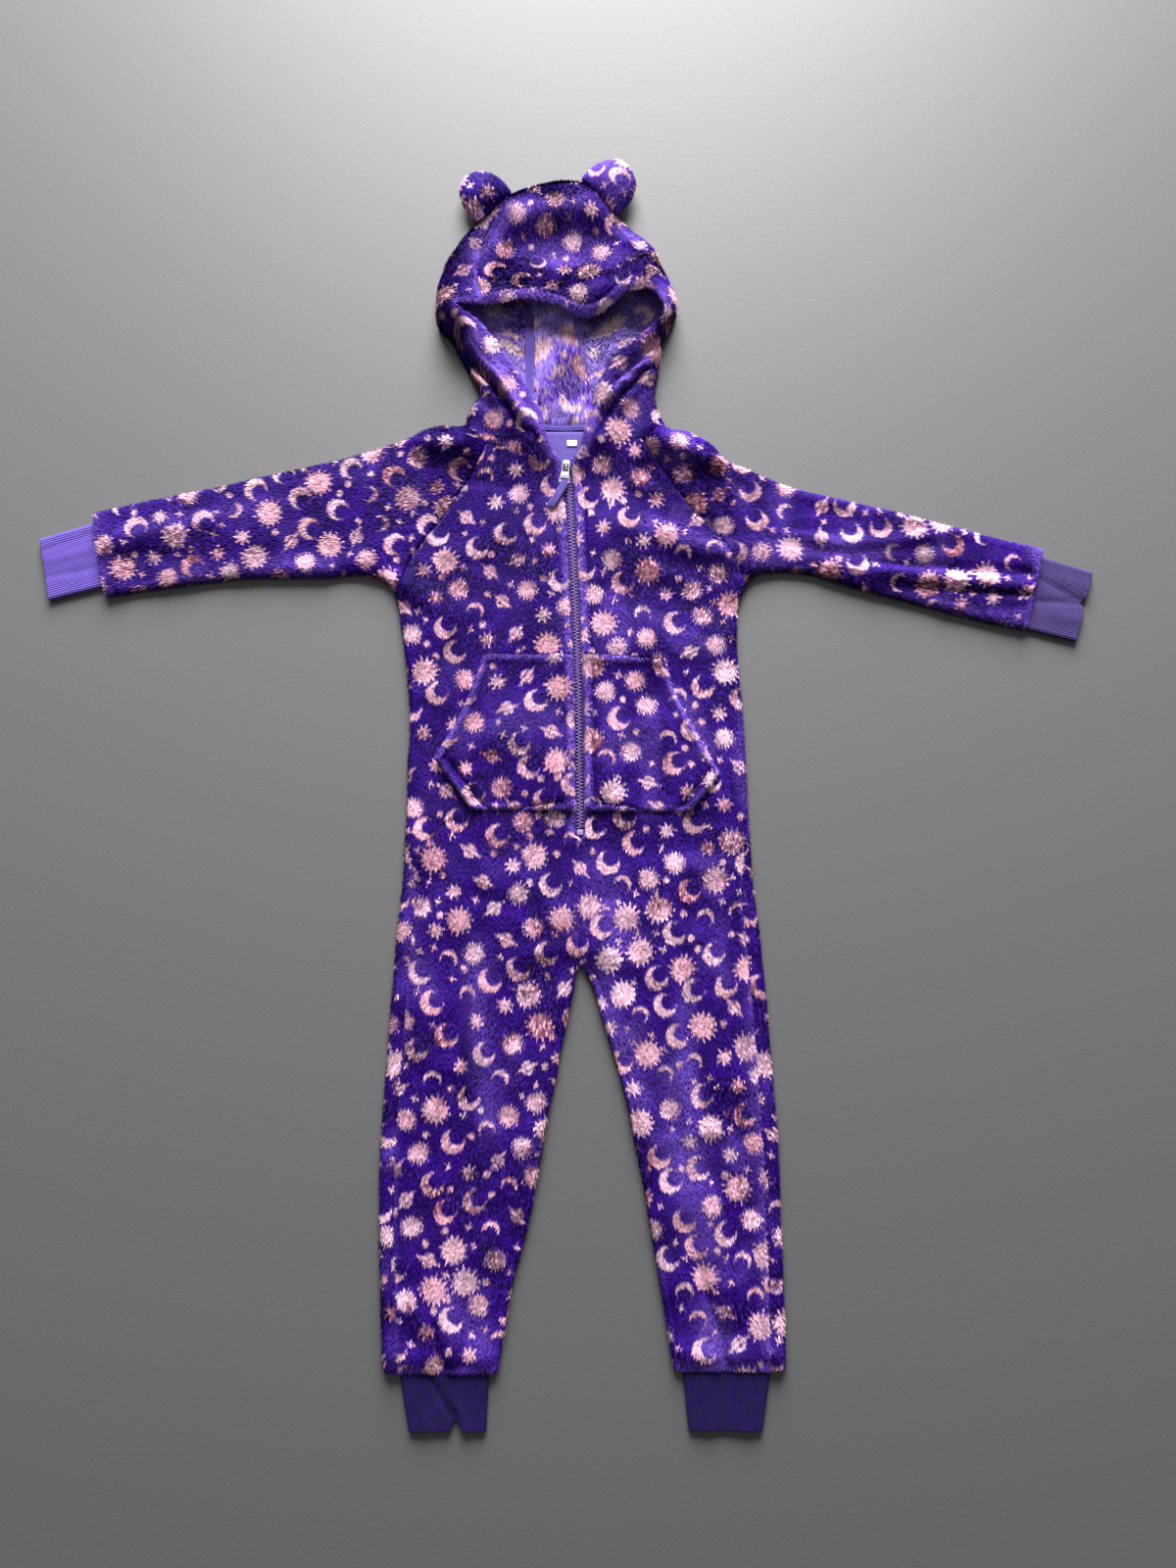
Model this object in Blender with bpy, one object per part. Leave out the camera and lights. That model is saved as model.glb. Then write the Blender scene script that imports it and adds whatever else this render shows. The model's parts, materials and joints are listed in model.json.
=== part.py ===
"""A child's hooded fleece onesie with bear ears, laid flat on its back with its zip closed.

The garment is drawn as it lies: its outline in plan, the height of its upper layer over the floor,
and the seams that part that layer, and the one beneath it, into the pieces that were cut. Every
piece is a wall of cloth whose points lie on those two layers. Tables and sizes are in millimetres.
"l" is the side at -X and "r" the side at +X. The hood lies towards +Y and the feet towards -Y.
"""

import math

import bmesh
import bpy
import numpy as np
from mathutils import Vector
from mathutils.bvhtree import BVHTree

MM = 0.001
CENTRE = (0.0, 5.2)   # middle of the garment's box in the tables' own lengths

# Cloth
WALL = 3.5            # coral fleece with its pile
THIN = 1.0            # jersey, tape and label
REST = 0.3            # clearance under whatever lies on a panel
SEAM_GAP = 0.6        # clearance between two pieces along a seam
SIDE_GAP = 0.7        # the same where a side seam passes round a folded edge
ROLL = 4.0            # height of the middle of a folded edge
TOP_ROLL = 5.6        # how far in from the outline the upper layer levels out
FLAT = 8.0            # upper face where the two layers lie on each other
LEAST = 2 * WALL + REST

# Zip
CHAIN_WIDE, CHAIN_HIGH = 5.7, 2.4
TAPE_BACK = 0.5       # how far a tape stops short of the fleece beside it
STOP_OVER = 0.4       # how far the stop stands over the teeth
ZIP_HALF = 5.2        # from the middle of the zip to the fleece beside it
TAPE_HIGH = 1.0
TAPE_TOP = 7.0        # upper face of the tapes over the floor
STOP_LONG = 6.0
ZIP_FOOT = -61.5      # lower end of the tapes
ZIP_STEPS = 16
SLIDER_X, SLIDER_Y = 0.8, 283.0
SLIDER_WIDE, SLIDER_LONG = 8.8, 11.5
PLATE_TOP = 10.8      # upper face of the slider's shell over the floor
BRIDGE_WIDE = 2.8
HINGE_FROM_MIDDLE = 1.6
HINGE_HIGH = 13.1     # the pull tab's cross bar over the floor
TAB_LONG, TAB_THICK = 19.0, 1.4
TAB_LEAN, TAB_DIP = 6.0, 0.5      # degrees towards the left, and down towards its end
TAB_WINDOWS = ((5.0, 0.7, 8.4), (7.8, 14.6, 17.4))    # width, start and end from the hinge
LOOP_WIDE, LOOP_LONG, LOOP_THICK = 7.2, 43.0, 1.1     # fabric pull, to its end from the hinge
LOOP_TURN = 26.0      # degrees that it turns towards the left
LOOP_PART = 0.2       # half the gap between its two ends
LOOP_FLARE = 0.02     # how much wider it grows for each millimetre past the tab

# Inside the neck: tapes over the neck seam and the hood's left seam, with half their widths,
# half-moon facing (middle x, top y, half width, depth) and label (x, y, halves)
NECK_TAPE, NECK_TAPE_HALF = ((-36, 324.4), (-3, 322.4), (32, 324.4)), 2.8
HOOD_TAPE_ENDS, HOOD_TAPE_HALF = (0.08, 0.54), 4.2    # shares along the seam
FACING = (-2.0, 318.6, 32.0, 31.0)
LABEL = (6.0, 307.0, 4.6, 2.9)

# Side seams of the legs lie this far in on the upper layer
LEG_SEAM_IN = 13.0

# Plan of the garment: four edges, each drawn with the cloth on its right
SIDE_L = (
    (-156, -524), (-160, -443), (-162, -360), (-157, -259), (-150, -155), (-144, -85), (-143, -14),
    (-142, 58), (-148, 113), (-154, 148), (-157, 163), (-164, 172), (-179, 179), (-224, 179),
    (-297, 178), (-365, 170), (-424, 161),
)
UPPER = (
    (-438, 239), (-390, 250), (-327, 263), (-254, 280), (-190, 296), (-158, 307), (-140, 314),
    (-126, 320), (-112, 323), (-100, 322), (-93, 325), (-90, 337), (-80, 353), (-88, 372),
    (-98, 390), (-109, 410), (-119, 420), (-121, 443), (-120, 462), (-114, 481), (-103, 500),
    (-92, 515), (-79, 530), (-64, 543), (-45, 555), (-21, 564), (2, 567), (21, 563), (38, 543),
    (53, 526), (70, 510), (84, 496), (92, 473), (101, 454), (104, 440), (99, 421), (91, 408),
    (88, 383), (84, 366), (83, 347), (88, 333), (96, 320), (111, 318), (124, 312), (138, 302),
    (146, 291), (169, 281), (209, 264), (250, 253), (295, 243), (367, 223), (441, 205),
)
SIDE_R = (
    (424, 129), (383, 138), (324, 154), (266, 170), (221, 183), (194, 184), (174, 179), (166, 170),
    (160, 154), (158, 131), (159, 95), (162, 58), (165, -14), (169, -103), (175, -155), (182, -242),
    (187, -318), (190, -427), (192, -522),
)
INSEAM = (
    (95, -522), (88, -476), (81, -435), (68, -360), (51, -280), (34, -225), (24, -193), (13, -176),
    (8, -199), (-2, -246), (-18, -327), (-30, -394), (-47, -460), (-52, -492), (-57, -524),
)

# Seams in plan
ZIP = ((-0.5, 302), (0, 291), (2.7, 266), (6.5, 205), (9.3, 149), (12, 76), (13, 3.5), (13.9, -61.5))
CENTRE_FRONT = ((13.9, -61.5), (14, -120), (13.1, -176))
CENTRE_BACK = ((3, 322), (11, 150), (13.5, -20), (14, -120), (13.1, -176))
BRIM = (
    (-77, 434), (-61, 437), (-42, 440), (-29, 439), (-12, 435), (3, 429), (19, 425), (32, 428),
    (42, 434), (53, 441), (64, 445), (73, 446),
)
SEAMS = {
    "l": {
        "raglan": (
            (-157, 163), (-151, 176), (-144, 192), (-129, 215), (-114, 235), (-90, 272), (-80, 291),
            (-73, 307),
        ),
        "raglan_back": (
            (-157, 163), (-151, 176), (-144, 192), (-129, 215), (-114, 235), (-92, 272), (-80, 298),
            (-72, 322),
        ),
        "neck": ((-5, 286), (-29, 290), (-54, 297.5), (-73, 307), (-84, 316), (-93, 325)),
        "neck_back": ((-34, 325), (-52, 324), (-72, 322), (-84, 323), (-93, 325)),
        "hem": (
            (-5, 286), (-12, 295), (-18, 310), (-23, 333), (-33, 350), (-42, 367), (-56, 385),
            (-66, 401), (-78, 414), (-90, 421), (-99, 424), (-101, 429), (-91, 432), (-77, 434),
        ),
        "hood_top": ((-77, 434), (-83, 466), (-80, 494), (-69, 538.9)),
        "hood_back": ((-34, 325), (-34, 358), (-37, 443), (-49, 494), (-69, 538.9)),
    },
    "r": {
        "raglan": (
            (166, 170), (160, 188), (150, 204), (139, 220), (118, 242), (99, 268), (81, 293), (69, 311),
        ),
        "raglan_back": (
            (166, 170), (160, 188), (150, 204), (139, 220), (118, 242), (100, 270), (84, 296), (74, 320),
        ),
        "neck": ((9, 288), (21, 290.5), (40, 297), (56, 304), (69, 311), (82, 317), (96, 320)),
        "neck_back": ((30, 325), (52, 323), (74, 320), (86, 319), (96, 320)),
        "hem": (
            (9, 288), (15, 298), (17, 309), (20, 320), (26, 343), (34, 365), (46, 384), (60, 396),
            (77, 405), (88, 410), (93, 418), (92, 428), (87, 436), (81, 443), (73, 446),
        ),
        "hood_top": ((73, 446), (73, 476), (58, 502), (38, 543)),
        "hood_back": ((30, 325), (24, 358), (8, 426), (14, 484), (38, 543)),
    },
}
LEG_END = {"l": -524.0, "r": -522.0}

# Rib cuffs: the corners of each, at its seam and at its free end, lower or left one first,
# then where its free edge is notched, how deep, and the notch's half width as a share
CUFFS = {
    "cuff_wrist_l": ((-426.1, 170.5), (-437, 230.7), (-478, 157), (-489, 215), 0.60, 1.5, 0.10),
    "cuff_wrist_r": ((424.6, 130.1), (439.9, 198.2), (471, 118), (489, 183), 0.55, 5.0, 0.09),
    "cuff_ankle_l": ((-142, -524.4), (-65, -524.4), (-133, -574), (-67, -574), 0.62, 12.0, 0.10),
    "cuff_ankle_r": ((103, -522.4), (179, -522.4), (108, -573), (171, -574), 0.50, 0.0, 0.10),
}
CUFF_WALL, CUFF_HIGH = 2.3, 5.6
RIBS, RIB_HIGH = 40, 0.5
CUFF_ROWS = (0.0, 1.0)

# Ears, stuffed and sewn into the hood's seam: foot of each end of the base, and height
EARS = {"ear_l": ((-87, 521), (-49, 552), 38), "ear_r": ((15, 565), (52, 528), 38)}
EAR_THICK = 25.0
EAR_MIDDLE = 13.5     # height of its middle over the floor

# Pocket halves, from the top edge down: outer corner x, y, and y beside the zip
POCKETS = {
    "l": (
        (-74, 105, 106), (-77, 92, 95), (-85, 69, 68), (-94, 50, 48), (-103, 32, 28), (-117, 9, 8),
        (-108, -6, -8), (-97, -20, -22), (-90, -30, -32), (-85, -36, -37),
    ),
    "r": (
        (89, 100, 106), (93, 89, 95), (100, 67, 68), (110, 47, 48), (120, 28, 28), (138, -4, 8),
        (133, -14, -8), (126, -22, -22), (119, -31, -32), (113, -38, -37),
    ),
}
POCKET_HEM = 2.2      # how much thicker the rolled hem along a pocket's lower edges is
POCKET_HEM_WIDE = 7.0
POCKET_BACK = 0.4     # how far the pocket stops short of the front's edge beside the zip

# Largest folds of the upper layer, as the height they add or take away
# (fold, from x, y, to x, y, height at start, at end, half width)
FOLDS = (
    ("shoulder_l", -128, 305, -92, 303, 13, 14, 13),
    ("under_shoulder_l", -132, 284, -88, 283, -1, -1, 9),
    ("shoulder_r", 87, 307, 130, 290, 14, 15, 13),
    ("shoulder_edge_r", 141, 283, 148, 258, 6, 3, 7),
    ("chest_r", 39, 227, 143, 202, 4, 7, 13),
    ("underarm_l", -149, 174, -96, 146, 5, 2, 10),
    ("zip_ridge", 0, 290, 13.9, -66, 2, 2, 12),
    ("neck_base", -48, 306, 44, 306, 5, 5, 22),
    ("sleeve_l", -410, 215, -330, 228, 4, 3, 12),
    ("sleeve_r", 247, 187, 417, 166, 4, 6, 11),
    ("hem_puff_sleeve_l", -421, 178, -431, 224, 3, 3, 10),
    ("hem_puff_sleeve_r", 420, 146, 433, 192, 3, 3, 10),
    ("leg_crease_l", -77, -190, -80, -241, 2, 6, 8),
    ("leg_crease_l", -80, -241, -84, -300, 6, 2, 8),
    ("leg_hem_l", -136, -466, -97, -500, 3, 5, 12),
    ("leg_r", 121, -155, 137, -275, 5, 4, 14),
    ("leg_low_r", 122, -380, 140, -470, 4, 5, 13),
    ("hem_puff_leg_l", -142, -510, -68, -510, 4, 4, 9),
    ("hem_puff_leg_r", 108, -508, 180, -508, 4, 4, 9),
    ("hem_l", -103, 417, -68, 390, 20, 16, 15),
    ("hem_l", -68, 390, -35, 339, 16, 12, 14),
    ("hem_l", -35, 339, -12, 290, 12, 3, 13),
    ("hem_r", 94, 413, 54, 385, 22, 18, 15),
    ("hem_r", 54, 385, 31, 341, 18, 13, 14),
    ("hem_r", 31, 341, 14, 292, 13, 3, 13),
    ("second_l", -96, 376, -62, 350, 10, 11, 9),
    ("second_l", -62, 350, -34, 312, 11, 6, 9),
    ("second_r", 80, 374, 52, 340, 11, 11, 9),
    ("second_r", 52, 340, 34, 310, 11, 6, 9),
    ("trough_l", -97, 392, -60, 354, -7, -9, 5),
    ("trough_l", -60, 354, -32, 305, -9, -3, 5),
    ("trough_r", 80, 394, 50, 362, -7, -9, 5),
    ("trough_r", 50, 362, 33, 313, -9, -3, 5),
    ("brim", -112, 434, -62, 446, 20, 21, 26),
    ("brim", -62, 446, 3, 442, 21, 19, 26),
    ("brim", 3, 442, 67, 455, 19, 30, 26),
    ("brim", 67, 455, 98, 432, 30, 24, 26),
    ("crown", -50, 534, 24, 536, 14, 14, 20),
    ("crown_sides", -84, 500, -96, 480, 8, 8, 18),
    ("crown_sides", 62, 492, 80, 472, 9, 9, 18),
)
# Folds of the hood's back layer, which lift it off the floor
UNDER_FOLDS = (
    ("nape", -22, 352, -4, 396, 3, 4, 11),
    ("side", 44, 400, 60, 430, 4, 3, 12),
)

FLEECE = (0.060, 0.018, 0.350)
RIB = (0.110, 0.060, 0.420)
NICKEL = (0.55, 0.55, 0.56)
LABEL_WHITE = (0.80, 0.80, 0.78)


for leftover in list(bpy.data.objects):
    bpy.data.objects.remove(leftover)


# --- Curves in plan ---------------------------------------------------------------------------


def smooth(points, step=2.5):
    """A smooth curve through the points, as points about a step apart."""
    at = np.array(points, float)
    run = np.diff(at, axis=0)
    size = np.linalg.norm(run, axis=1)[:, None]
    slope = run / size
    inner = (slope[:-1] * size[1:] + slope[1:] * size[:-1]) / (size[:-1] + size[1:])
    slope = np.vstack([slope[:1], inner, slope[-1:]])
    rows = []
    for i, length in enumerate(size[:, 0]):
        t = np.arange(0, 1, 1 / max(1, round(length / step)))[:, None]
        rows.append(
            (1 + 2 * t) * (1 - t) ** 2 * at[i]
            + t**2 * (3 - 2 * t) * at[i + 1]
            + t * (1 - t) ** 2 * length * slope[i]
            - t**2 * (1 - t) * length * slope[i + 1]
        )
    return np.vstack([*rows, at[-1:]])


def lengths(curve):
    """Length along the curve up to each of its points."""
    return np.concatenate([[0], np.cumsum(np.linalg.norm(np.diff(curve, axis=0), axis=1))])


def along(curve, share):
    """Points at shares of the curve's length."""
    place = lengths(curve)
    at = np.asarray(share, float) * place[-1]
    return np.stack([np.interp(at, place, curve[:, 0]), np.interp(at, place, curve[:, 1])], -1)


def share_near(curve, point):
    """Share of the curve's length at its point nearest the given one."""
    gap = np.linalg.norm(curve - np.array(point, float), axis=1)
    return lengths(curve)[int(np.argmin(gap))] / lengths(curve)[-1]


def part_of(curve, start, end):
    """The stretch of the curve between two shares of its length, which may run backwards."""
    count = max(8, int(abs(end - start) * len(curve)))
    return along(curve, np.linspace(start, end, count))


def beside(curve, share, offset):
    """Points at shares of the curve, moved to its right by the offset."""
    ahead, behind = np.clip(np.add(share, 0.004), 0, 1), np.clip(np.subtract(share, 0.004), 0, 1)
    run = along(curve, ahead) - along(curve, behind)
    run /= np.linalg.norm(run, axis=-1, keepdims=True)
    return along(curve, share) + offset * np.stack([run[..., 1], -run[..., 0]], -1)


def x_at(curve, y):
    """Where a curve that runs up or down the garment crosses each y."""
    order = np.argsort(curve[:, 1])
    return np.interp(y, curve[order, 1], curve[order, 0])


def eased(t):
    t = np.clip(t, 0, 1)
    return t * t * (3 - 2 * t)


# --- The two layers ---------------------------------------------------------------------------

EDGES = [smooth(points) for points in (SIDE_L, UPPER, SIDE_R, INSEAM)]
EDGE_FROM = np.vstack([edge[:-1] for edge in EDGES])
EDGE_RUN = np.vstack([np.diff(edge, axis=0) for edge in EDGES])
EDGE_SQUARE = (EDGE_RUN**2).sum(1)


def edge_normals():
    """Unit direction into the cloth on each stretch of the edges, evened out over about 12 mm."""
    rows = []
    for edge in EDGES:
        run = np.diff(edge, axis=0)
        padded = np.pad(run, ((2, 2), (0, 0)), mode="edge")
        run = sum(padded[i : i + len(run)] for i in range(5))
        rows.append(np.stack([run[:, 1], -run[:, 0]], 1) / np.linalg.norm(run, axis=1)[:, None])
    return np.vstack(rows)


EDGE_IN = edge_normals()


def from_edge(plan):
    """Distance of each point from the garment's edge, and the unit direction inwards there."""
    distance = np.empty(len(plan))
    inward = np.empty((len(plan), 2))
    for i, point in enumerate(plan):
        gap = point - EDGE_FROM
        t = np.clip((gap * EDGE_RUN).sum(1) / EDGE_SQUARE, 0, 1)
        away = gap - t[:, None] * EDGE_RUN
        square = (away**2).sum(1)
        k = int(np.argmin(square))
        distance[i] = math.sqrt(square[k])
        inward[i] = away[k] / distance[i] if distance[i] > 0.3 else EDGE_IN[k]
    return distance, inward


def height(plan, folds, base):
    """Height at each point: the base and the largest rise of each fold that comes near it."""
    total = np.full(len(plan), float(base))
    for name in dict.fromkeys(row[0] for row in folds):
        most = np.zeros(len(plan))
        for _, x0, y0, x1, y1, start, end, width in [row for row in folds if row[0] == name]:
            run = np.array([x1 - x0, y1 - y0], float)
            gap = plan - np.array([x0, y0], float)
            t = np.clip(gap @ run / (run @ run), 0, 1)
            off = np.linalg.norm(gap - t[:, None] * run, axis=1)
            rise = (start + (end - start) * t) * np.exp(-((off / width) ** 2))
            most = np.where(np.abs(rise) > np.abs(most), rise, most)
        total += most
    return total


def upper_height(plan):
    return np.maximum(height(plan, FOLDS, FLAT), LEAST)


def slant(plan):
    """How much taller than thick the wall is where the upper layer slopes."""
    step = 1.0
    dx = upper_height(plan + (step, 0)) - upper_height(plan - (step, 0))
    dy = upper_height(plan + (0, step)) - upper_height(plan - (0, step))
    return np.minimum(np.sqrt(1 + (dx**2 + dy**2) / (2 * step) ** 2), 1.6)


def lie(plan, upper):
    """Outer and inner points of the cloth over plan points, on the upper or the lower layer.

    Near the garment's edge the layers roll together, and meet at the height ROLL.
    """
    distance, inward = from_edge(plan)
    under = height(plan, UNDER_FOLDS, 0)
    top = upper_height(plan) + under
    wide = np.where(upper, TOP_ROLL + 0.4 * np.maximum(top - 10, 0), ROLL)
    short = np.clip(1 - distance / wide, 0, 1)
    level = np.sqrt(1 - short**2)
    top_out = ROLL + (top - ROLL) * level
    top_in = ROLL + (top - ROLL - WALL * slant(plan)) * level
    top_in = np.maximum(top_in, ROLL + (WALL + under + REST - ROLL) * level)
    low_out = ROLL + (under - ROLL) * level
    low_in = ROLL + (under + WALL - ROLL) * level
    inner = plan + inward * (WALL * short)[:, None]
    outer_z = np.where(upper, top_out, low_out)
    inner_z = np.where(upper, top_in, low_in)
    return np.column_stack([plan, outer_z]), np.column_stack([inner, inner_z])


# --- Meshes -----------------------------------------------------------------------------------


def material(name, colour, roughness=0.95, metallic=0.0):
    found = bpy.data.materials.get(name)
    if found:
        return found
    made = bpy.data.materials.new(name)
    made.use_nodes = True
    shader = made.node_tree.nodes["Principled BSDF"]
    shader.inputs["Base Color"].default_value = (*colour, 1)
    shader.inputs["Roughness"].default_value = roughness
    shader.inputs["Metallic"].default_value = metallic
    made.diffuse_color = (*colour, 1)
    return made


def add(name, points, faces, finish, parent=None, origin=(0, 0, 0)):
    """One closed body in millimetres, as an object in metres with its faces pointing out."""
    origin = np.array(origin, float)
    middle = np.array((*CENTRE, 0)) if parent is None else 0
    mesh = bpy.data.meshes.new(name)
    mesh.from_pydata(((np.asarray(points, float) - origin - middle) * MM).tolist(), [], faces)
    body = bmesh.new()
    body.from_mesh(mesh)
    bmesh.ops.recalc_face_normals(body, faces=body.faces)
    body.to_mesh(mesh)
    body.free()
    mesh.materials.append(finish)
    mesh.shade_smooth()
    mesh.set_sharp_from_angle(angle=math.radians(50))
    thing = bpy.data.objects.new(name, mesh)
    bpy.context.scene.collection.objects.link(thing)
    if parent:
        thing.parent = parent
    return thing


def shell(rows, columns, closed=False):
    """Faces of a wall between an outer and an inner grid, whose points follow each other."""
    count = rows * columns
    faces = []
    last = columns if closed else columns - 1
    for i in range(rows - 1):
        for j in range(last):
            a, b = i * columns + j, i * columns + (j + 1) % columns
            faces.append((a, b, b + columns, a + columns))
            faces.append((count + a, count + a + columns, count + b + columns, count + b))
    for j in range(last):
        a, b = j, (j + 1) % columns
        c, d = a + (rows - 1) * columns, b + (rows - 1) * columns
        faces.append((a, count + a, count + b, b))
        faces.append((c, d, count + d, count + c))
    if not closed:
        for i in range(rows - 1):
            a, b = i * columns, (i + 1) * columns
            c, d = a + columns - 1, b + columns - 1
            faces.append((a, b, count + b, count + a))
            faces.append((c, count + c, count + d, d))
    return faces


def panel(name, plan, upper, finish):
    """A cloth piece from a grid of plan points and the layer that each lies on."""
    plan = np.asarray(plan, float)
    rows, columns = plan.shape[:2]
    on_top = np.broadcast_to(upper, (rows, columns)).reshape(-1)
    outer, inner = lie(plan.reshape(-1, 2), on_top)
    return add(name, np.vstack([outer, inner]), shell(rows, columns), finish)


# --- Columns across a piece -------------------------------------------------------------------

NEAR = (0.0, 0.8, 2.8, 5.6)       # closer columns where an edge rolls over
ROLL_ARC = 7.5                    # along the cloth from the middle of a rolled edge to its flat


def spread(length, middle, at_start=True, at_end=True):
    """Distances from 0 to the length, closer together at a rolled end."""
    near = np.array(NEAR) * min(1, length / (3 * NEAR[-1]))
    first = near if at_start else np.array([0.0])
    last = length - near[::-1] if at_end else np.array([length])
    between = np.linspace(first[-1], last[0], middle + 2)[1:-1]
    return np.concatenate([first, between, last])


def rolled(path):
    """Distance in plan from the edge, and whether it is on top, at distances along the cloth.

    The path runs from negative on the upper layer through the edge's middle to the lower layer.
    """
    path = np.asarray(path, float)
    angle = np.minimum(np.abs(path) / ROLL_ARC, 1) * math.pi / 2
    wide = np.where(path < 0, TOP_ROLL, ROLL)
    return wide * (1 - np.cos(angle)) + np.maximum(np.abs(path) - ROLL_ARC, 0), path < 0


def on_line(start, end, distance):
    """Points at distances from the start on the straight line to the end."""
    run = end - start
    return start + run / np.linalg.norm(run) * np.asarray(distance)[:, None]


def bent(row, shares, curves):
    """A straight row that takes a weighted share of the bend of each curve."""
    for weight, curve in curves:
        chord = curve[0] + (curve[-1] - curve[0]) * shares[:, None]
        row = row + weight * (along(curve, shares) - chord)
    return row


# --- Sides of the garment ---------------------------------------------------------------------

WAY = {"l": -1, "r": 1}
BODY_EDGE = {"l": EDGES[0], "r": EDGES[2]}
SEAM = {side: {name: smooth(points) for name, points in SEAMS[side].items()} for side in SEAMS}
CROTCH = INSEAM[7]
CROTCH_SPLIT = share_near(EDGES[3], CROTCH)
LEG_INSIDE = {
    "l": part_of(EDGES[3], CROTCH_SPLIT, 1),
    "r": part_of(EDGES[3], CROTCH_SPLIT, 0),
}
EAR_SHARE = {side: share_near(EDGES[1], SEAMS[side]["hood_top"][-1]) for side in SEAMS}
NOTCH_SHARE = {side: share_near(EDGES[1], SEAMS[side]["neck"][-1]) for side in SEAMS}
HOOD_EDGE = {side: part_of(EDGES[1], NOTCH_SHARE[side], EAR_SHARE[side]) for side in SEAMS}
CROWN = part_of(EDGES[1], EAR_SHARE["l"], EAR_SHARE["r"])

FLEECE_FINISH = material("fleece", FLEECE)


# --- Body and legs ----------------------------------------------------------------------------

# Places along a raglan seam where the body's rows and the sleeve's columns meet, neck to underarm
RAGLAN_SHARES = (1.0, 0.9, 0.79, 0.68, 0.56, 0.44, 0.32, 0.21, 0.12, 0.05, 0.0)
BODY_ROWS = (140, 105, 68, 32, -4, -40, -62, -62.5, -80, -98)
CROTCH_ROWS = (-118, -140, -156, -168, -176, -186, -204)
LEG_ROWS = (-230, -265, -302, -342, -385, -430, -472, -498, -514)
ZIP_TOP, ZIP_END = 288, -62.25    # where the fronts part beside the zip
BACK_NECK, UNDERARM = 325, 160
BACK_STEP, BACK_STEPS = 3.8, 6


def side_seam(y):
    """Where the side seam lies, along the cloth from the edge's middle: negative is on top."""
    level = LEG_SEAM_IN - TOP_ROLL + ROLL_ARC
    return -level * eased((-40 - y) / 90)


def half_rows(side, front):
    """Each row of one half: its point at the side, its point at the centre and which part it is."""
    raglan = SEAM[side]["raglan" if front else "raglan_back"]
    zip_line, front_line, back_line = smooth(ZIP), smooth(CENTRE_FRONT), smooth(CENTRE_BACK)
    top = ZIP_TOP if front else BACK_NECK
    rows = []
    for share in RAGLAN_SHARES:
        y = UNDERARM + (top - UNDERARM) * share
        line, half = (zip_line, ZIP_HALF) if front else (back_line, SEAM_GAP / 2)
        rows.append((along(raglan, share), np.array([x_at(line, y) + WAY[side] * half, y]), "raglan"))
    body = BODY_EDGE[side]
    body = body[(body[:, 1] < UNDERARM) & (np.abs(body[:, 0]) < 200)]
    for y in BODY_ROWS + CROTCH_ROWS + LEG_ROWS + (LEG_END[side],):
        outside = np.array([x_at(body, y), y])
        if y <= CROTCH[1]:
            rows.append((outside, np.array([x_at(LEG_INSIDE[side], y), y]), "leg"))
            continue
        line, half = (front_line, SEAM_GAP / 2) if front else (back_line, SEAM_GAP / 2)
        if front and y > ZIP_END:
            line, half = zip_line, ZIP_HALF
        rows.append((outside, np.array([x_at(line, y) + WAY[side] * half, y]), "body"))
    return rows


def front_half(side):
    neck = SEAM[side]["neck"]
    neck = part_of(neck, share_near(neck, SEAMS[side]["raglan"][-1]), 0)
    plan = []
    for i, (outside, centre, kind) in enumerate(half_rows(side, True)):
        seam = side_seam(outside[1]) - SIDE_GAP / 2
        start = 0.0 if kind == "raglan" else float(rolled(seam)[0])
        stop = float(rolled(-SEAM_GAP / 2)[0]) if kind == "leg" else 0.0
        length = np.linalg.norm(centre - outside)
        across = start + spread(length - start - stop, 5)
        row = on_line(outside, centre, across)
        if i == 0:
            row = along(neck, across / length)
        plan.append(row)
    return panel(f"front_{side}", plan, True, FLEECE_FINISH)


def back_half(side):
    neck = SEAM[side]["neck_back"]
    neck = part_of(neck, share_near(neck, SEAMS[side]["raglan_back"][-1]), 0)
    neck = np.vstack([neck, [(x_at(smooth(CENTRE_BACK), BACK_NECK), BACK_NECK)]])
    plan, upper = [], []
    for i, (outside, centre, kind) in enumerate(half_rows(side, False)):
        length = np.linalg.norm(centre - outside)
        stop = float(rolled(SEAM_GAP / 2)[0]) if kind == "leg" else 0.0
        path = BACK_STEP * np.arange(BACK_STEPS + 1)
        near, on_top = path, np.zeros(len(path), bool)
        if kind != "raglan":
            near, on_top = rolled(side_seam(outside[1]) + SIDE_GAP / 2 + path)
        rest = near[-1] + spread(length - stop - near[-1], 2, at_start=False)[1:]
        across = np.concatenate([near, rest])
        row = on_line(outside, centre, across)
        if i == 0:
            row = along(neck, across / length)
        plan.append(row)
        upper.append(np.concatenate([on_top, np.zeros(len(rest), bool)]))
    return panel(f"back_{side}", plan, np.array(upper), FLEECE_FINISH)


# --- Sleeves ----------------------------------------------------------------------------------

SLEEVE_SHARES = (0.0, 0.02, 0.06, 0.16, 0.3, 0.46, 0.61, 0.75, 0.87, 0.95, 1.0)


def shoulder_end(side, raglan_name, neck_name):
    """Up the raglan seam and along the neck to the folded edge, with its columns' shares."""
    raglan, neck = SEAM[side][raglan_name], SEAM[side][neck_name]
    tail = part_of(neck, share_near(neck, raglan[-1]), 1)
    whole = np.vstack([raglan, tail[1:]])
    seam_share = lengths(raglan)[-1] / lengths(whole)[-1]
    shares = [seam_share * share for share in RAGLAN_SHARES[::-1]]
    return whole, np.array([*shares, (1 + seam_share) / 2, 1.0])


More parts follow.
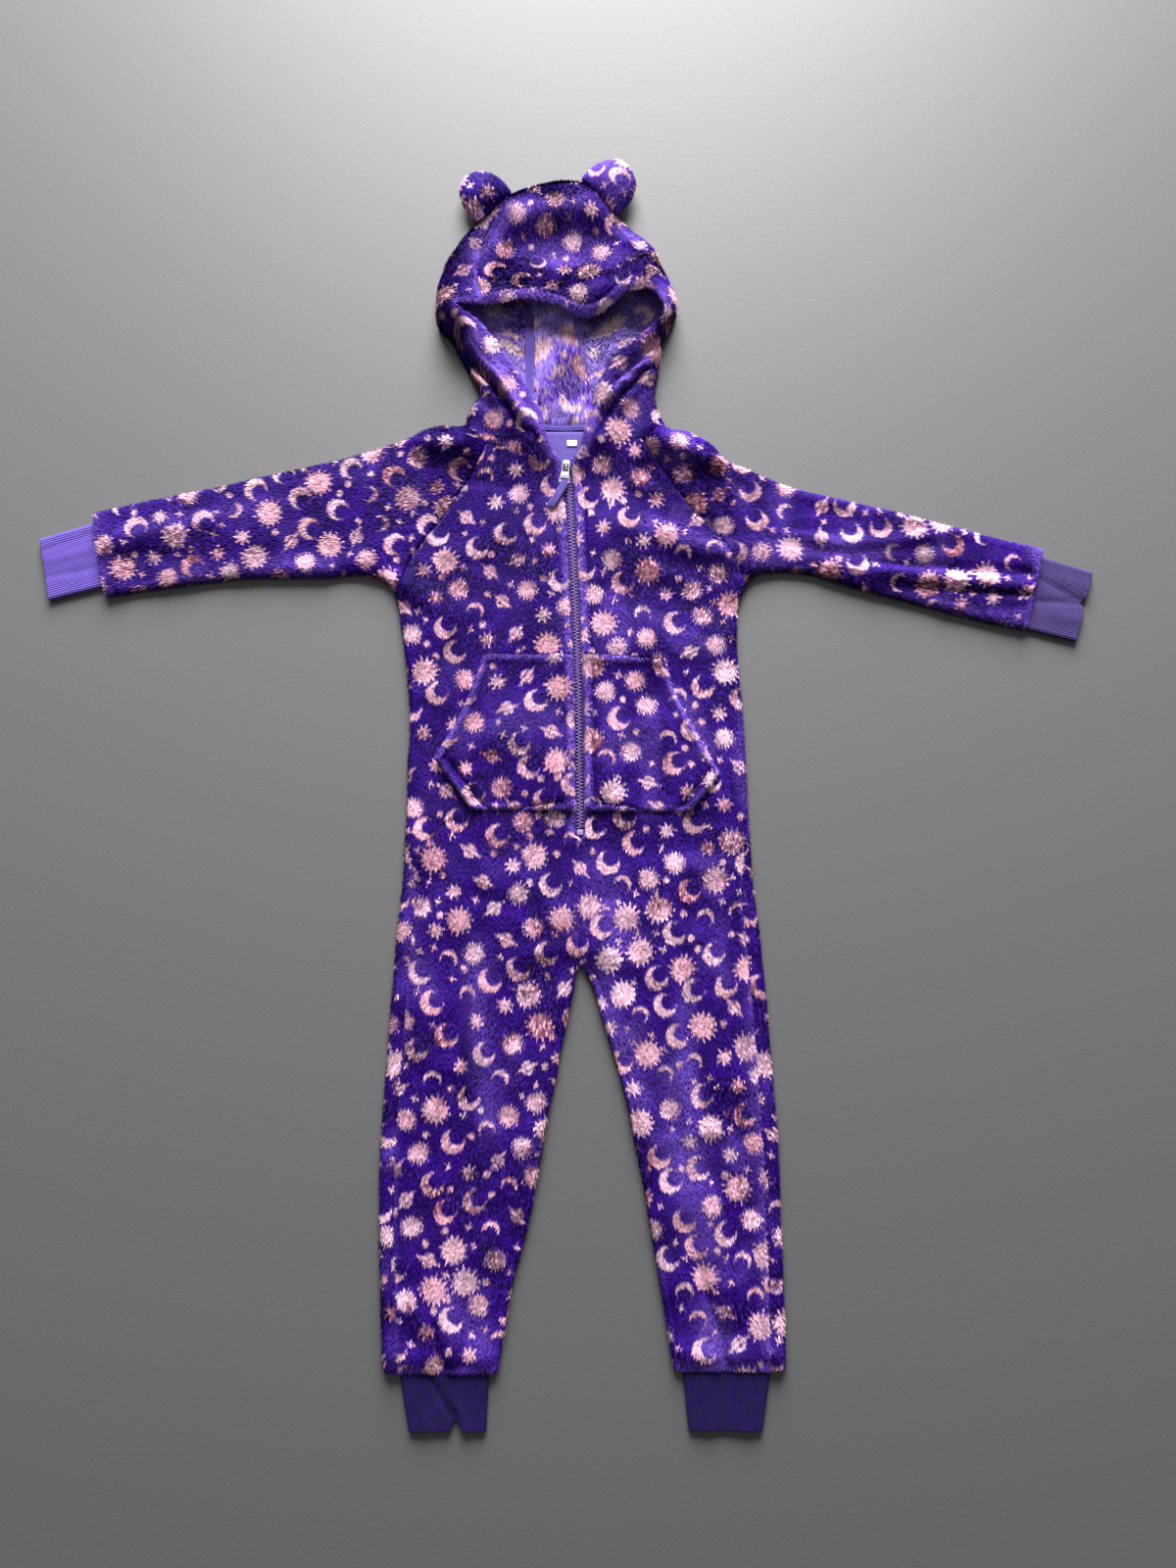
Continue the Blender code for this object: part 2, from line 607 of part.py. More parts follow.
def sleeve(side):
    """One panel folded along its upper edge, with its seam along the lower edge."""
    lower = BODY_EDGE[side]
    lower = part_of(lower, 1 if side == "l" else 0, share_near(lower, SEAMS[side]["raglan"][0]))
    upper_edge = part_of(EDGES[1], 0 if side == "l" else 1, NOTCH_SHARE[side])
    ends = (
        shoulder_end(side, "raglan", "neck"),
        shoulder_end(side, "raglan_back", "neck_back"),
    )
    plan, on_top = [], []
    for share in np.array(SLEEVE_SHARES) * (1 - 2 * SEAM_GAP / lengths(lower)[-1]):
        low, high = along(lower, share), along(upper_edge, share)
        length = np.linalg.norm(high - low)
        weight = eased((share - 0.35) / 0.65)
        open_by = float(rolled(-SEAM_GAP / 2)[0])
        layers = []
        for curve, end_shares in ends:
            shares = (spread(length, 5)) / length
            shares = shares + weight * (end_shares - shares)
            shares[0] = open_by / length
            layers.append(bent(low + (high - low) * shares[:, None], shares, [(weight, curve)]))
        plan.append(np.vstack([layers[0], layers[1][-2::-1]]))
        on_top.append(np.arange(len(plan[-1])) < len(layers[0]))
    return panel(f"sleeve_{side}", plan, np.array(on_top), FLEECE_FINISH)


# --- Hood -------------------------------------------------------------------------------------

# Rows of a side panel from the neck to the ear: the line it starts from on the upper layer, the
# share along that line, along the folded edge, and along the seam in the back layer
HOOD_ROWS = (
    ("hem", 0.0, 0.0, 0.0),
    ("hem", 0.05, 0.05, 0.04),
    ("hem", 0.15, 0.13, 0.11),
    ("hem", 0.28, 0.23, 0.20),
    ("hem", 0.42, 0.32, 0.29),
    ("hem", 0.57, 0.40, 0.37),
    ("hem", 0.71, 0.455, 0.45),
    ("hem", 0.82, 0.505, 0.52),
    ("hem", 0.91, 0.555, 0.57),
    ("hood_top", 0.03, 0.615, 0.63),
    ("hood_top", 0.25, 0.70, 0.71),
    ("hood_top", 0.50, 0.79, 0.80),
    ("hood_top", 0.72, 0.87, 0.88),
    ("hood_top", 0.84, 0.92, 0.93),
    ("hood_top", 0.93, 0.96, 0.965),
)
STRIP_SHARES = np.array((0.0, 0.05, 0.15, 0.27, 0.39, 0.5, 0.61, 0.72, 0.84, 0.95, 1.0))


def hood_side(side):
    """One side panel, from the face opening round the folded edge to the seam behind."""
    toward = -WAY[side]
    seams = SEAM[side]
    plan, on_top = [], []
    for line, front_share, edge_share, back_share in HOOD_ROWS:
        gap = 0 if line == "hem" else -toward * SEAM_GAP / 2
        inner = beside(seams[line], front_share, gap)
        outside = along(HOOD_EDGE[side], edge_share)
        back = beside(seams["hood_back"], back_share, -toward * SEAM_GAP / 2)
        weight = eased(1 - front_share / 0.3) if line == "hem" else 0
        layers = []
        for end, middle, curve in ((inner, 5, seams["neck"]), (back, 3, seams["neck_back"])):
            length = np.linalg.norm(end - outside)
            shares = spread(length, middle, at_end=False) / length
            row = outside + (end - outside) * shares[:, None]
            layers.append(bent(row, shares, [(weight, curve[::-1])]))
        plan.append(np.vstack([layers[0][::-1], layers[1][1:]]) + (0, SEAM_GAP * (edge_share == 0)))
        on_top.append(np.arange(len(plan[-1])) < len(layers[0]))
    return panel(f"hood_{side}", plan, np.array(on_top), FLEECE_FINISH)


def hood_centre():
    """The strip from the nape over the crown to the brim."""
    plan, on_top = [], []
    for share in [row[3] for row in HOOD_ROWS] + [0.985]:
        left = beside(SEAM["l"]["hood_back"], share, SEAM_GAP / 2)
        right = beside(SEAM["r"]["hood_back"], share, -SEAM_GAP / 2)
        row = left + (right - left) * STRIP_SHARES[:, None]
        plan.append(bent(row, STRIP_SHARES, [(share**3, CROWN)]) + (0, SEAM_GAP * (share == 0)))
        on_top.append([False] * len(row))
    brim = smooth(BRIM)
    top_shares = [row[1] for row in HOOD_ROWS if row[0] == "hood_top"]
    for share in [1.0, 0.988, 0.965] + top_shares[::-1] + [0.0]:
        left = beside(SEAM["l"]["hood_top"], share, SEAM_GAP)
        right = beside(SEAM["r"]["hood_top"], share, -SEAM_GAP)
        row = left + (right - left) * STRIP_SHARES[:, None]
        plan.append(bent(row, STRIP_SHARES, [(eased(share), CROWN), (eased(1 - share), brim)]))
        on_top.append([True] * len(row))
    return panel("hood_c", plan, np.array(on_top), FLEECE_FINISH)


# --- Rib cuffs --------------------------------------------------------------------------------


def cuff(name, near_a, near_b, far_a, far_b, notch_at, notch_deep, notch_half):
    """A flattened tube of rib knit, its ribs raised outside and its inside plain."""
    near_a, near_b, far_a, far_b = (np.array(p, float) for p in (near_a, near_b, far_a, far_b))
    radius = CUFF_HIGH / 2
    columns = 2 * RIBS
    run = far_a - near_a + far_b - near_b
    run /= np.linalg.norm(run)
    outer, inner = [], []
    for share in CUFF_ROWS:
        a, b = near_a + (far_a - near_a) * share, near_b + (far_b - near_b) * share
        wide = np.linalg.norm(b - a) / 2
        across = (b - a) / (2 * wide)
        straight = wide - radius
        around = 4 * straight + 2 * math.pi * radius
        for j in range(columns):
            at = around * (j + 0.5) / columns
            x, z, nx, nz = stadium(at, straight, radius)
            rib = RIB_HIGH if j % 2 else 0
            top_share = (x + wide) / (2 * wide)
            cut = notch_deep * max(0, 1 - abs(top_share - notch_at) / notch_half) * share
            middle = (a + b) / 2 - run * cut
            plan = middle + across * (x + nx * rib)
            outer.append((*plan, max(0, radius + z + nz * rib)))
            plan = middle + across * (x - nx * CUFF_WALL)
            inner.append((*plan, radius + z - nz * CUFF_WALL))
    faces = shell(len(CUFF_ROWS), columns, closed=True)
    return add(name, outer + inner, faces, material("rib knit", RIB, 0.9))


def stadium(at, straight, radius):
    """A point on a flat loop with round ends, and the direction out of it there."""
    turn = math.pi * radius
    if at < 2 * straight:
        return at - straight, radius, 0, 1
    at -= 2 * straight
    if at < turn:
        middle, angle = straight, math.pi / 2 - at / radius
    elif at < turn + 2 * straight:
        return straight - (at - turn), -radius, 0, -1
    else:
        middle, angle = -straight, -math.pi / 2 - (at - turn - 2 * straight) / radius
    out_x, out_z = math.cos(angle), math.sin(angle)
    return middle + radius * out_x, radius * out_z, out_x, out_z


# --- Ears -------------------------------------------------------------------------------------

EAR_ROWS, EAR_COLUMNS = 7, 16
EAR_BASE = 0.72       # thickness at the base, as a share of the fullest
EAR_TIP = 0.985       # the top ring closes just short of the tip


def ear(name, foot_a, foot_b, tall):
    """A stuffed ear, flat where it meets the hood's folded edge and domed everywhere else."""
    start, end = share_near(EDGES[1], foot_a), share_near(EDGES[1], foot_b)
    base = part_of(EDGES[1], start, end)
    out = np.array([-(base[-1] - base[0])[1], (base[-1] - base[0])[0]])
    out /= np.linalg.norm(out)
    points = []
    for i in range(EAR_ROWS):
        rise = math.sin(math.pi / 2 * i / (EAR_ROWS - 1)) * EAR_TIP
        full = math.sqrt(1 - rise**3)
        belly = EAR_BASE + (1 - EAR_BASE) * math.sin(math.pi * min(1, 1.4 * rise))
        for j in range(EAR_COLUMNS):
            angle = 2 * math.pi * j / EAR_COLUMNS
            share = 0.5 + 0.5 * full * math.cos(angle)
            foot = along(base, share) + out * 2 * REST
            plan = foot + out * tall * rise
            points.append((*plan, EAR_MIDDLE + EAR_THICK / 2 * belly * full * math.sin(angle)))
    last_ring = (EAR_ROWS - 1) * EAR_COLUMNS
    faces = [tuple(range(EAR_COLUMNS)), tuple(range(last_ring, last_ring + EAR_COLUMNS))]
    for i in range(EAR_ROWS - 1):
        for j in range(EAR_COLUMNS):
            a, b = i * EAR_COLUMNS + j, i * EAR_COLUMNS + (j + 1) % EAR_COLUMNS
            faces.append((a, b, b + EAR_COLUMNS, a + EAR_COLUMNS))
    return add(name, points, faces, FLEECE_FINISH)


# --- What lies on the panels ------------------------------------------------------------------


OVER_ALL, UNDER_BRIM = 40, 12     # heights over every panel, and between the hood's layers


def surface_under(points, below, panels):
    """Height of the first face met going down from each point, over all the given panels."""
    trees = []
    for thing in panels:
        shape = bmesh.new()
        shape.from_mesh(thing.data)
        trees.append(BVHTree.FromBMesh(shape))
        shape.free()
    heights = []
    for x, y in points:
        start = Vector(((x - CENTRE[0]) * MM, (y - CENTRE[1]) * MM, below * MM))
        hits = [tree.ray_cast(start, Vector((0, 0, -1)))[0] for tree in trees]
        heights.append(max([hit.z / MM for hit in hits if hit] or [0.0]))
    return np.array(heights)


def pocket(side, front):
    """One half of the kangaroo pocket, made from the front's own surface, moved out."""
    zip_line = smooth(ZIP)
    outline = np.array(POCKETS[side], float)
    rows = []
    for x, y, y_zip in outline:
        inner = np.array([x_at(zip_line, y_zip) + WAY[side] * (ZIP_HALF + POCKET_BACK), y_zip])
        outside = np.array([x, y])
        length = np.linalg.norm(inner - outside)
        shares = np.array([0, POCKET_HEM_WIDE / 2, POCKET_HEM_WIDE]) / length
        shares = np.concatenate([shares, np.linspace(shares[-1], 1, 6)[1:]])
        rows.append(outside + (inner - outside) * shares[:, None])
    plan = np.array(rows)
    flat = plan.reshape(-1, 2)
    under = surface_under(flat, OVER_ALL, [front]) + 2 * REST
    lower = smooth(np.vstack([outline[5:, :2], plan[-1, -1]]))
    off = np.array([np.linalg.norm(lower - point, axis=1).min() for point in flat])
    hem = POCKET_HEM * np.exp(-((off / POCKET_HEM_WIDE) ** 4))
    outer = np.column_stack([flat, under + WALL + hem])
    inner = np.column_stack([flat, under])
    faces = shell(*plan.shape[:2])
    return add(f"pocket_{side}", np.vstack([outer, inner]), faces, FLEECE_FINISH)


def strip(name, plan, low, high, finish):
    """A flat piece between two heights, from a grid of plan points."""
    plan = np.asarray(plan, float)
    flat = plan.reshape(-1, 2)
    outer = np.column_stack([flat, np.broadcast_to(high, len(flat))])
    inner = np.column_stack([flat, np.broadcast_to(low, len(flat))])
    return add(name, np.vstack([outer, inner]), shell(*plan.shape[:2]), finish)


def band(curve, offsets):
    """Plan grid that follows a curve, with a column at each distance to its right."""
    shares = np.linspace(0, 1, len(curve))
    return np.stack([beside(curve, shares, offset) for offset in offsets], axis=1)


def inside_neck(panels):
    """Tapes, half-moon facing and label on the inside of the back, seen through the neck."""
    jersey = material("jersey", RIB, 0.85)
    twill = material("twill tape", RIB, 0.8)
    plan = band(smooth(NECK_TAPE, 8), (-NECK_TAPE_HALF, NECK_TAPE_HALF))
    low = WALL + REST
    strip("neck_tape", plan, low, low + THIN, twill)
    seam = part_of(SEAM["l"]["hood_back"], *HOOD_TAPE_ENDS)[::4]
    plan = band(seam, (-HOOD_TAPE_HALF, 0, HOOD_TAPE_HALF))
    rest = surface_under(plan.reshape(-1, 2), UNDER_BRIM, panels).reshape(plan.shape[:2])
    rest = np.repeat(rest.max(1) + 2 * REST, plan.shape[1])
    strip("hood_tape", plan, rest, rest + THIN, twill)
    middle, top, wide, deep = FACING
    rows = []
    for share in (0, 0.25, 0.5, 0.75, 0.93):
        half = wide * math.sqrt(1 - share**2)
        rows.append([(middle + half * t, top - deep * share) for t in np.linspace(-1, 1, 9)])
    strip("neck_facing", rows, low, low + THIN, jersey)
    x, y, half_wide, half_tall = LABEL
    rows = [[(x - half_wide, y + dy), (x + half_wide, y + dy)] for dy in (-half_tall, half_tall)]
    low += THIN + REST
    strip("size_label", rows, low, low + THIN, material("satin label", LABEL_WHITE, 0.6))


# --- Zip --------------------------------------------------------------------------------------


def zip_run():
    line = smooth(ZIP)
    long = lengths(line)[-1]
    tape_top = 1 - (ZIP_TOP - ZIP_FOOT) / long
    chain_top = 1 - (SLIDER_Y - SLIDER_LONG / 2 - 2 * REST - ZIP_FOOT) / long
    chain_end = 1 - STOP_LONG / long
    tape_finish = material("zip tape", RIB, 0.8)
    for side, way in WAY.items():
        offsets = (-way * REST, -way * (ZIP_HALF - TAPE_BACK))
        run = along(line, np.linspace(tape_top, 1, ZIP_STEPS))
        low = TAPE_TOP - TAPE_HIGH
        strip(f"zip_tape_{side}", band(run, offsets), low, TAPE_TOP, tape_finish)
    run = along(line, np.linspace(chain_top, chain_end, ZIP_STEPS))
    half = CHAIN_WIDE / 2
    low = TAPE_TOP + REST
    acetal = material("acetal", RIB, 0.4)
    strip("zip_chain", band(run, (-half, half)), low, low + CHAIN_HIGH, acetal)
    x, y = line[-1]
    plan = [[(x - half, y + dy), (x + half, y + dy)] for dy in (REST, STOP_LONG - REST)]
    strip("zip_stop", plan, low, low + CHAIN_HIGH + STOP_OVER, acetal)


def plate_faces(count):
    """Faces of a plate between two outlines of the same number of points."""
    sides = [(i, (i + 1) % count, count + (i + 1) % count, count + i) for i in range(count)]
    return [tuple(range(count)), tuple(range(count, 2 * count))] + sides


def guide(thing):
    """Keeps a shape that only cuts or joins out of the finished object."""
    thing.hide_render = True
    thing.display_type = "WIRE"


def join(body, other):
    """The union of two bodies, kept as the first."""
    guide(other)
    union = body.modifiers.new("join", "BOOLEAN")
    union.operation = "UNION"
    union.object = other


# Outline of the slider's shell, as shares of its half width and half length
SLIDER_OUTLINE = (
    (-0.62, -1), (0.62, -1), (0.82, -0.7), (1.0, 0.1), (0.96, 0.7), (0.6, 1), (-0.6, 1), (-0.96, 0.7),
    (-1.0, 0.1), (-0.82, -0.7),
)
# Side of the bridge, along the slider and over its shell
BRIDGE_SIDE = (
    (-4.3, -0.5), (-4.3, 2.4), (-2.9, 4.6), (3.3, 4.6), (4.3, 3.2), (4.3, -0.5), (3.0, -0.5),
    (3.0, 3.5), (-3.0, 3.5), (-3.0, -0.5),
)


def slider():
    """The slider's shell, and on it the bridge that the pull tab turns in."""
    nickel = material("nickel plate", NICKEL, 0.3, 1.0)
    half_wide, half_long = SLIDER_WIDE / 2, SLIDER_LONG / 2
    points = [
        (SLIDER_X + half_wide * across, SLIDER_Y + half_long * up, z)
        for z in (TAPE_TOP + REST, PLATE_TOP)
        for across, up in SLIDER_OUTLINE
    ]
    body = add("zip_slider", points, plate_faces(len(SLIDER_OUTLINE)), nickel)
    points = [
        (SLIDER_X + across, SLIDER_Y + up, PLATE_TOP + lift)
        for across in (-BRIDGE_WIDE / 2, BRIDGE_WIDE / 2)
        for up, lift in BRIDGE_SIDE
    ]
    join(body, add("bridge", points, plate_faces(len(BRIDGE_SIDE)), nickel))


# Outline of the pull tab, across it and forward from its hinge
TAB_OUTLINE = (
    (-3.3, -0.7), (3.3, -0.7), (3.5, 2.0), (3.6, 8.2), (4.4, 12.5), (5.4, 17.6), (4.6, TAB_LONG),
    (-4.6, TAB_LONG), (-5.4, 17.6), (-4.4, 12.5), (-3.6, 8.2), (-3.5, 2.0),
)


def pull():
    """The pull tab with its two windows, and the fabric pull looped through the lower one."""
    nickel = material("nickel plate", NICKEL, 0.3, 1.0)
    hinge = np.array([SLIDER_X, SLIDER_Y + HINGE_FROM_MIDDLE, HINGE_HIGH])
    lean = math.radians(TAB_LEAN)
    down = np.array([-math.sin(lean), -math.cos(lean)])
    side = np.array([-down[1], down[0]])
    dip = math.tan(math.radians(TAB_DIP))
    half = TAB_THICK / 2

    def at(across, forward, lift):
        plan = hinge[:2] + down * forward + side * across
        return (*plan, hinge[2] - dip * forward + lift)

    pivot = bpy.data.objects.new("pull_pivot", None)
    pivot.location = (hinge - (*CENTRE, 0)) * MM
    bpy.context.scene.collection.objects.link(pivot)
    points = [at(across, forward, lift) for lift in (-half, half) for across, forward in TAB_OUTLINE]
    tab = add("pull_tab", points, plate_faces(len(TAB_OUTLINE)), nickel, pivot, hinge)
    for number, (wide, start, end) in enumerate(TAB_WINDOWS):
        corners = [(-wide / 2, start), (wide / 2, start), (wide / 2, end), (-wide / 2, end)]
        lifts = (-TAB_THICK, TAB_THICK)
        points = [at(across, forward, lift) for lift in lifts for across, forward in corners]
        cutter = add(f"window_{number}", points, plate_faces(4), nickel)
        guide(cutter)
        cut = tab.modifiers.new(f"window {number}", "BOOLEAN")
        cut.operation = "DIFFERENCE"
        cut.object = cutter

    # The fabric pull goes round the bar below the lower window, and its two ends lie together
    bar = TAB_WINDOWS[1][2]
    past = TAB_LONG + REST
    points = []
    for thick, end in ((LOOP_THICK, LOOP_LONG), (0, past + 2)):
        high, low = half + REST + thick, LOOP_PART + thick
        turn = bar - REST - thick
        path = [
            (bar + 1, high), (turn, high), (turn, -high), (bar + 1, -high), (past + 1, -high),
            (end, -low), (end, low), (past + 1, high),
        ]
        for across in (-LOOP_WIDE / 2, LOOP_WIDE / 2):
            points += [loop_point(at, past, across, forward, rise) for forward, rise in path]
    finish = material("jersey", RIB, 0.85)
    add("pull_loop", points, shell(2, len(path), closed=True), finish, pivot, hinge)


def loop_point(at, past, across, forward, rise):
    """The fabric pull's path: straight round the bar, then turning towards the left."""
    beyond = max(0, forward - past - 1)
    bend = math.tan(math.radians(LOOP_TURN)) * beyond
    return at(across * (1 + LOOP_FLARE * beyond) - bend, forward, rise)


# --- Build ------------------------------------------------------------------------------------

FRONTS = {side: front_half(side) for side in WAY}
for side in WAY:
    back_half(side)
    sleeve(side)
    pocket(side, FRONTS[side])
HOOD = [hood_side("l"), hood_side("r"), hood_centre()]
for name, sizes in CUFFS.items():
    cuff(name, *sizes)
for name, sizes in EARS.items():
    ear(name, *sizes)
inside_neck(HOOD)
zip_run()
slider()
pull()
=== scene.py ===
import json
import math
from functools import partial

import bmesh
import bpy
import numpy as np
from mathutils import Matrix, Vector, noise
from mathutils.bvhtree import BVHTree
from mathutils.kdtree import KDTree

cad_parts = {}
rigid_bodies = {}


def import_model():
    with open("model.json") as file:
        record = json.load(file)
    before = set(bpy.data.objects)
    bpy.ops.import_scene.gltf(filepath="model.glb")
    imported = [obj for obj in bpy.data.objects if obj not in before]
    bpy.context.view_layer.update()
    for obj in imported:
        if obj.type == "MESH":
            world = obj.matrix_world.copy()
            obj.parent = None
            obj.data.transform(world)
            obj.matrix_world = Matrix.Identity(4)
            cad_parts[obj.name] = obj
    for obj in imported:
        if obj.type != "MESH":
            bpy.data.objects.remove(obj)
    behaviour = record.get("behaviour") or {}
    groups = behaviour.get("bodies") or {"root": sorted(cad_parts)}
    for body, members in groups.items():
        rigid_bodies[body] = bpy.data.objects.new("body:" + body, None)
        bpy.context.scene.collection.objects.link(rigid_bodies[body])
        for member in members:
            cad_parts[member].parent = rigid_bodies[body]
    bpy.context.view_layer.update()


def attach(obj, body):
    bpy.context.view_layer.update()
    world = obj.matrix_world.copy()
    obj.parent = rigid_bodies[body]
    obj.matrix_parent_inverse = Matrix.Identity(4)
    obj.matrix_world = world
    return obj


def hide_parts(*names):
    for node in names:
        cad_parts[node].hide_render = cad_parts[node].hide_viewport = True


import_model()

# --- Camera, floor and light ------------------------------------------------------------------
# The garment lies on a grey floor and is seen from above its waist, at 6 degrees towards the hood.
# A wide soft window stands past the hood, so slopes that face the feet are in shade.

MM = 0.001
CAMERA_AT, CAMERA_TILT, CAMERA_LENS = (0.021, -0.1312, 1.07), 6.0, 27.04
WINDOW_AT, WINDOW_SIZE, WINDOW_WATTS = (0.05, 2.5, 1.32), 1.8, 300.0
FILL_AT, FILL_SIZE, FILL_WATTS = (-0.3, 0.4, 2.4), 2.2, 8.0
FLOOR_HEX, FLOOR_LEVEL, FLOOR_CORNERS = "605F60", -0.0004, ((-4, -4), (4, -4), (4, 4), (-4, 4))
ROOM_LIGHT, ROOM_STRENGTH = (0.92, 0.90, 1.0, 1), 0.11


def linear(hex_colour):
    """The linear RGBA of an sRGB hex colour."""
    parts = [int(hex_colour[i : i + 2], 16) / 255 for i in (0, 2, 4)]
    return (*[c / 12.92 if c <= 0.04045 else ((c + 0.055) / 1.055) ** 2.4 for c in parts], 1.0)


def fill_inputs(tree, node, values):
    """Links or sets a node's inputs. The dictionary names them, or gives their places."""
    for name, value in values.items():
        if isinstance(value, bpy.types.NodeSocket):
            tree.links.new(value, node.inputs[name])
        else:
            node.inputs[name].default_value = value


def add_node(tree, kind, *values, **settings):
    """Adds a node and gives its outputs.

    A kind is written without ShaderNode, and VectorMath with a dot and its operation. A kind in
    capitals is an operation of Math. The values are for its inputs in order, or one dictionary.
    """
    kind, _, operation = ("Math." + kind if kind.isupper() else kind).partition(".")
    made = tree.nodes.new(kind if "Node" in kind else "ShaderNode" + kind)
    if operation:
        made.operation = operation
    for name, value in settings.items():
        setattr(made, name, value)
    by_name = values and isinstance(values[0], dict)
    fill_inputs(tree, made, values[0] if by_name else dict(enumerate(values)))
    return made.outputs


def new_material(name):
    """An empty material, what adds a node to it, and what fills the inputs of its shader."""
    made = bpy.data.materials.new(name)
    made.use_nodes = True
    tree = made.node_tree
    return made, partial(add_node, tree), partial(fill_inputs, tree, tree.nodes["Principled BSDF"])


def new_thing(name, data, at=(0, 0, 0), turn=(0, 0, 0)):
    """An object in the scene with its data."""
    thing = bpy.data.objects.new(name, data)
    thing.location, thing.rotation_euler = at, turn
    scene.collection.objects.link(thing)
    return thing


scene = bpy.context.scene
scene.view_settings.view_transform = "Standard"
lens = bpy.data.cameras.new("camera")
lens.lens = CAMERA_LENS
scene.camera = new_thing("camera", lens, CAMERA_AT, (math.radians(CAMERA_TILT), 0, 0))

# Painted floor: half matt, so it is pale towards the window, with a faint roller texture
floor_paint, node, surface = new_material("eggshell floor paint")
grain = node("TexNoise", {"Vector": node("TexCoord")["Object"], "Scale": 260, "Detail": 3})[0]
bump = node("Bump", {"Height": grain, "Strength": 0.12, "Distance": MM})[0]
surface({"Base Color": linear(FLOOR_HEX), "Normal": bump, "Roughness": 0.52, "Specular IOR Level": 0.42})
floor_mesh = bpy.data.meshes.new("floor")
floor_mesh.from_pydata([(x, y, FLOOR_LEVEL) for x, y in FLOOR_CORNERS], [], [(0, 1, 2, 3)])
floor_mesh.materials.append(floor_paint)
new_thing("floor", floor_mesh)

for name, at, size, watts in (
    ("window", WINDOW_AT, WINDOW_SIZE, WINDOW_WATTS),
    ("fill", FILL_AT, FILL_SIZE, FILL_WATTS),
):
    lamp = bpy.data.lights.new(name, "AREA")
    lamp.size, lamp.energy = size, watts
    new_thing(name, lamp, at, (-Vector(at)).to_track_quat("-Z", "Y").to_euler())
sky = bpy.data.worlds.new("room")
sky.use_nodes = True
background = sky.node_tree.nodes["Background"]
fill_inputs(sky.node_tree, background, {"Color": ROOM_LIGHT, "Strength": ROOM_STRENGTH})
scene.world = sky

# --- Back halves ------------------------------------------------------------------------------
# Two pieces of coral fleece from the neck to the ankles, joined along the middle of the back. Each
# passes round the folded side and is sewn to its front, at the legs 13 mm in on the upper layer.

CENTRE = np.array((0.0, 5.2))     # the frame's origin in the tables' millimetres
WALL = 3.2                        # fleece without the pile that stands on it
REST = 0.3
SEAM_GAP, SIDE_GAP = 0.16, 0.24
ROLL, TOP_ROLL = 4.0, 5.6         # height of a folded edge's middle, and how far in it levels out
ROLL_ARC = 7.5                    # along the cloth from that middle to the flat
FLAT = 8.4                        # upper face where the two layers lie on each other
LEAST = 2 * WALL + REST
SEAM_ROUND, SEAM_SINK = 3.2, 0.42     # a seam's edge: how wide it turns down, as a share of the wall
LEG_SEAM_IN = 13.0

SIDE_L = (
    (-156, -524), (-160, -443), (-162, -360), (-157, -259), (-150, -155), (-144, -85), (-143, -14),
    (-142, 58), (-148, 113), (-154, 148), (-157, 163), (-164, 172), (-179, 179), (-224, 179),
    (-297, 178), (-365, 170), (-424, 161),
)
UPPER = (
    (-438, 239), (-390, 250), (-327, 263), (-254, 280), (-190, 296), (-158, 307), (-140, 314),
    (-126, 320), (-112, 323), (-100, 322), (-93, 325), (-90, 337), (-80, 353), (-88, 372), (-98, 390),
    (-109, 410), (-119, 420), (-121, 443), (-120, 462), (-114, 481), (-103, 500), (-92, 515),
    (-79, 530), (-64, 543), (-45, 555), (-21, 564), (2, 567), (21, 563), (38, 543), (53, 526),
    (70, 510), (84, 496), (92, 473), (101, 454), (104, 440), (99, 421), (91, 408), (88, 383), (84, 366),
    (83, 347), (88, 333), (96, 320), (111, 318), (124, 312), (138, 302), (146, 291), (169, 281),
    (209, 264), (250, 253), (295, 243), (367, 223), (441, 205),
)
SIDE_R = (
    (424, 129), (383, 138), (324, 154), (266, 170), (221, 183), (194, 184), (174, 179), (166, 170),
    (160, 154), (158, 131), (159, 95), (162, 58), (165, -14), (169, -103), (175, -155), (182, -242),
    (187, -318), (190, -427), (192, -522),
)
INSEAM = (
    (95, -522), (88, -476), (81, -435), (68, -360), (51, -280), (34, -225), (24, -193), (13, -176),
    (8, -199), (-2, -246), (-18, -327), (-30, -394), (-47, -460), (-52, -492), (-57, -524),
)
CENTRE_BACK = ((3, 322), (11, 150), (13.5, -20), (14, -120), (13.1, -176))
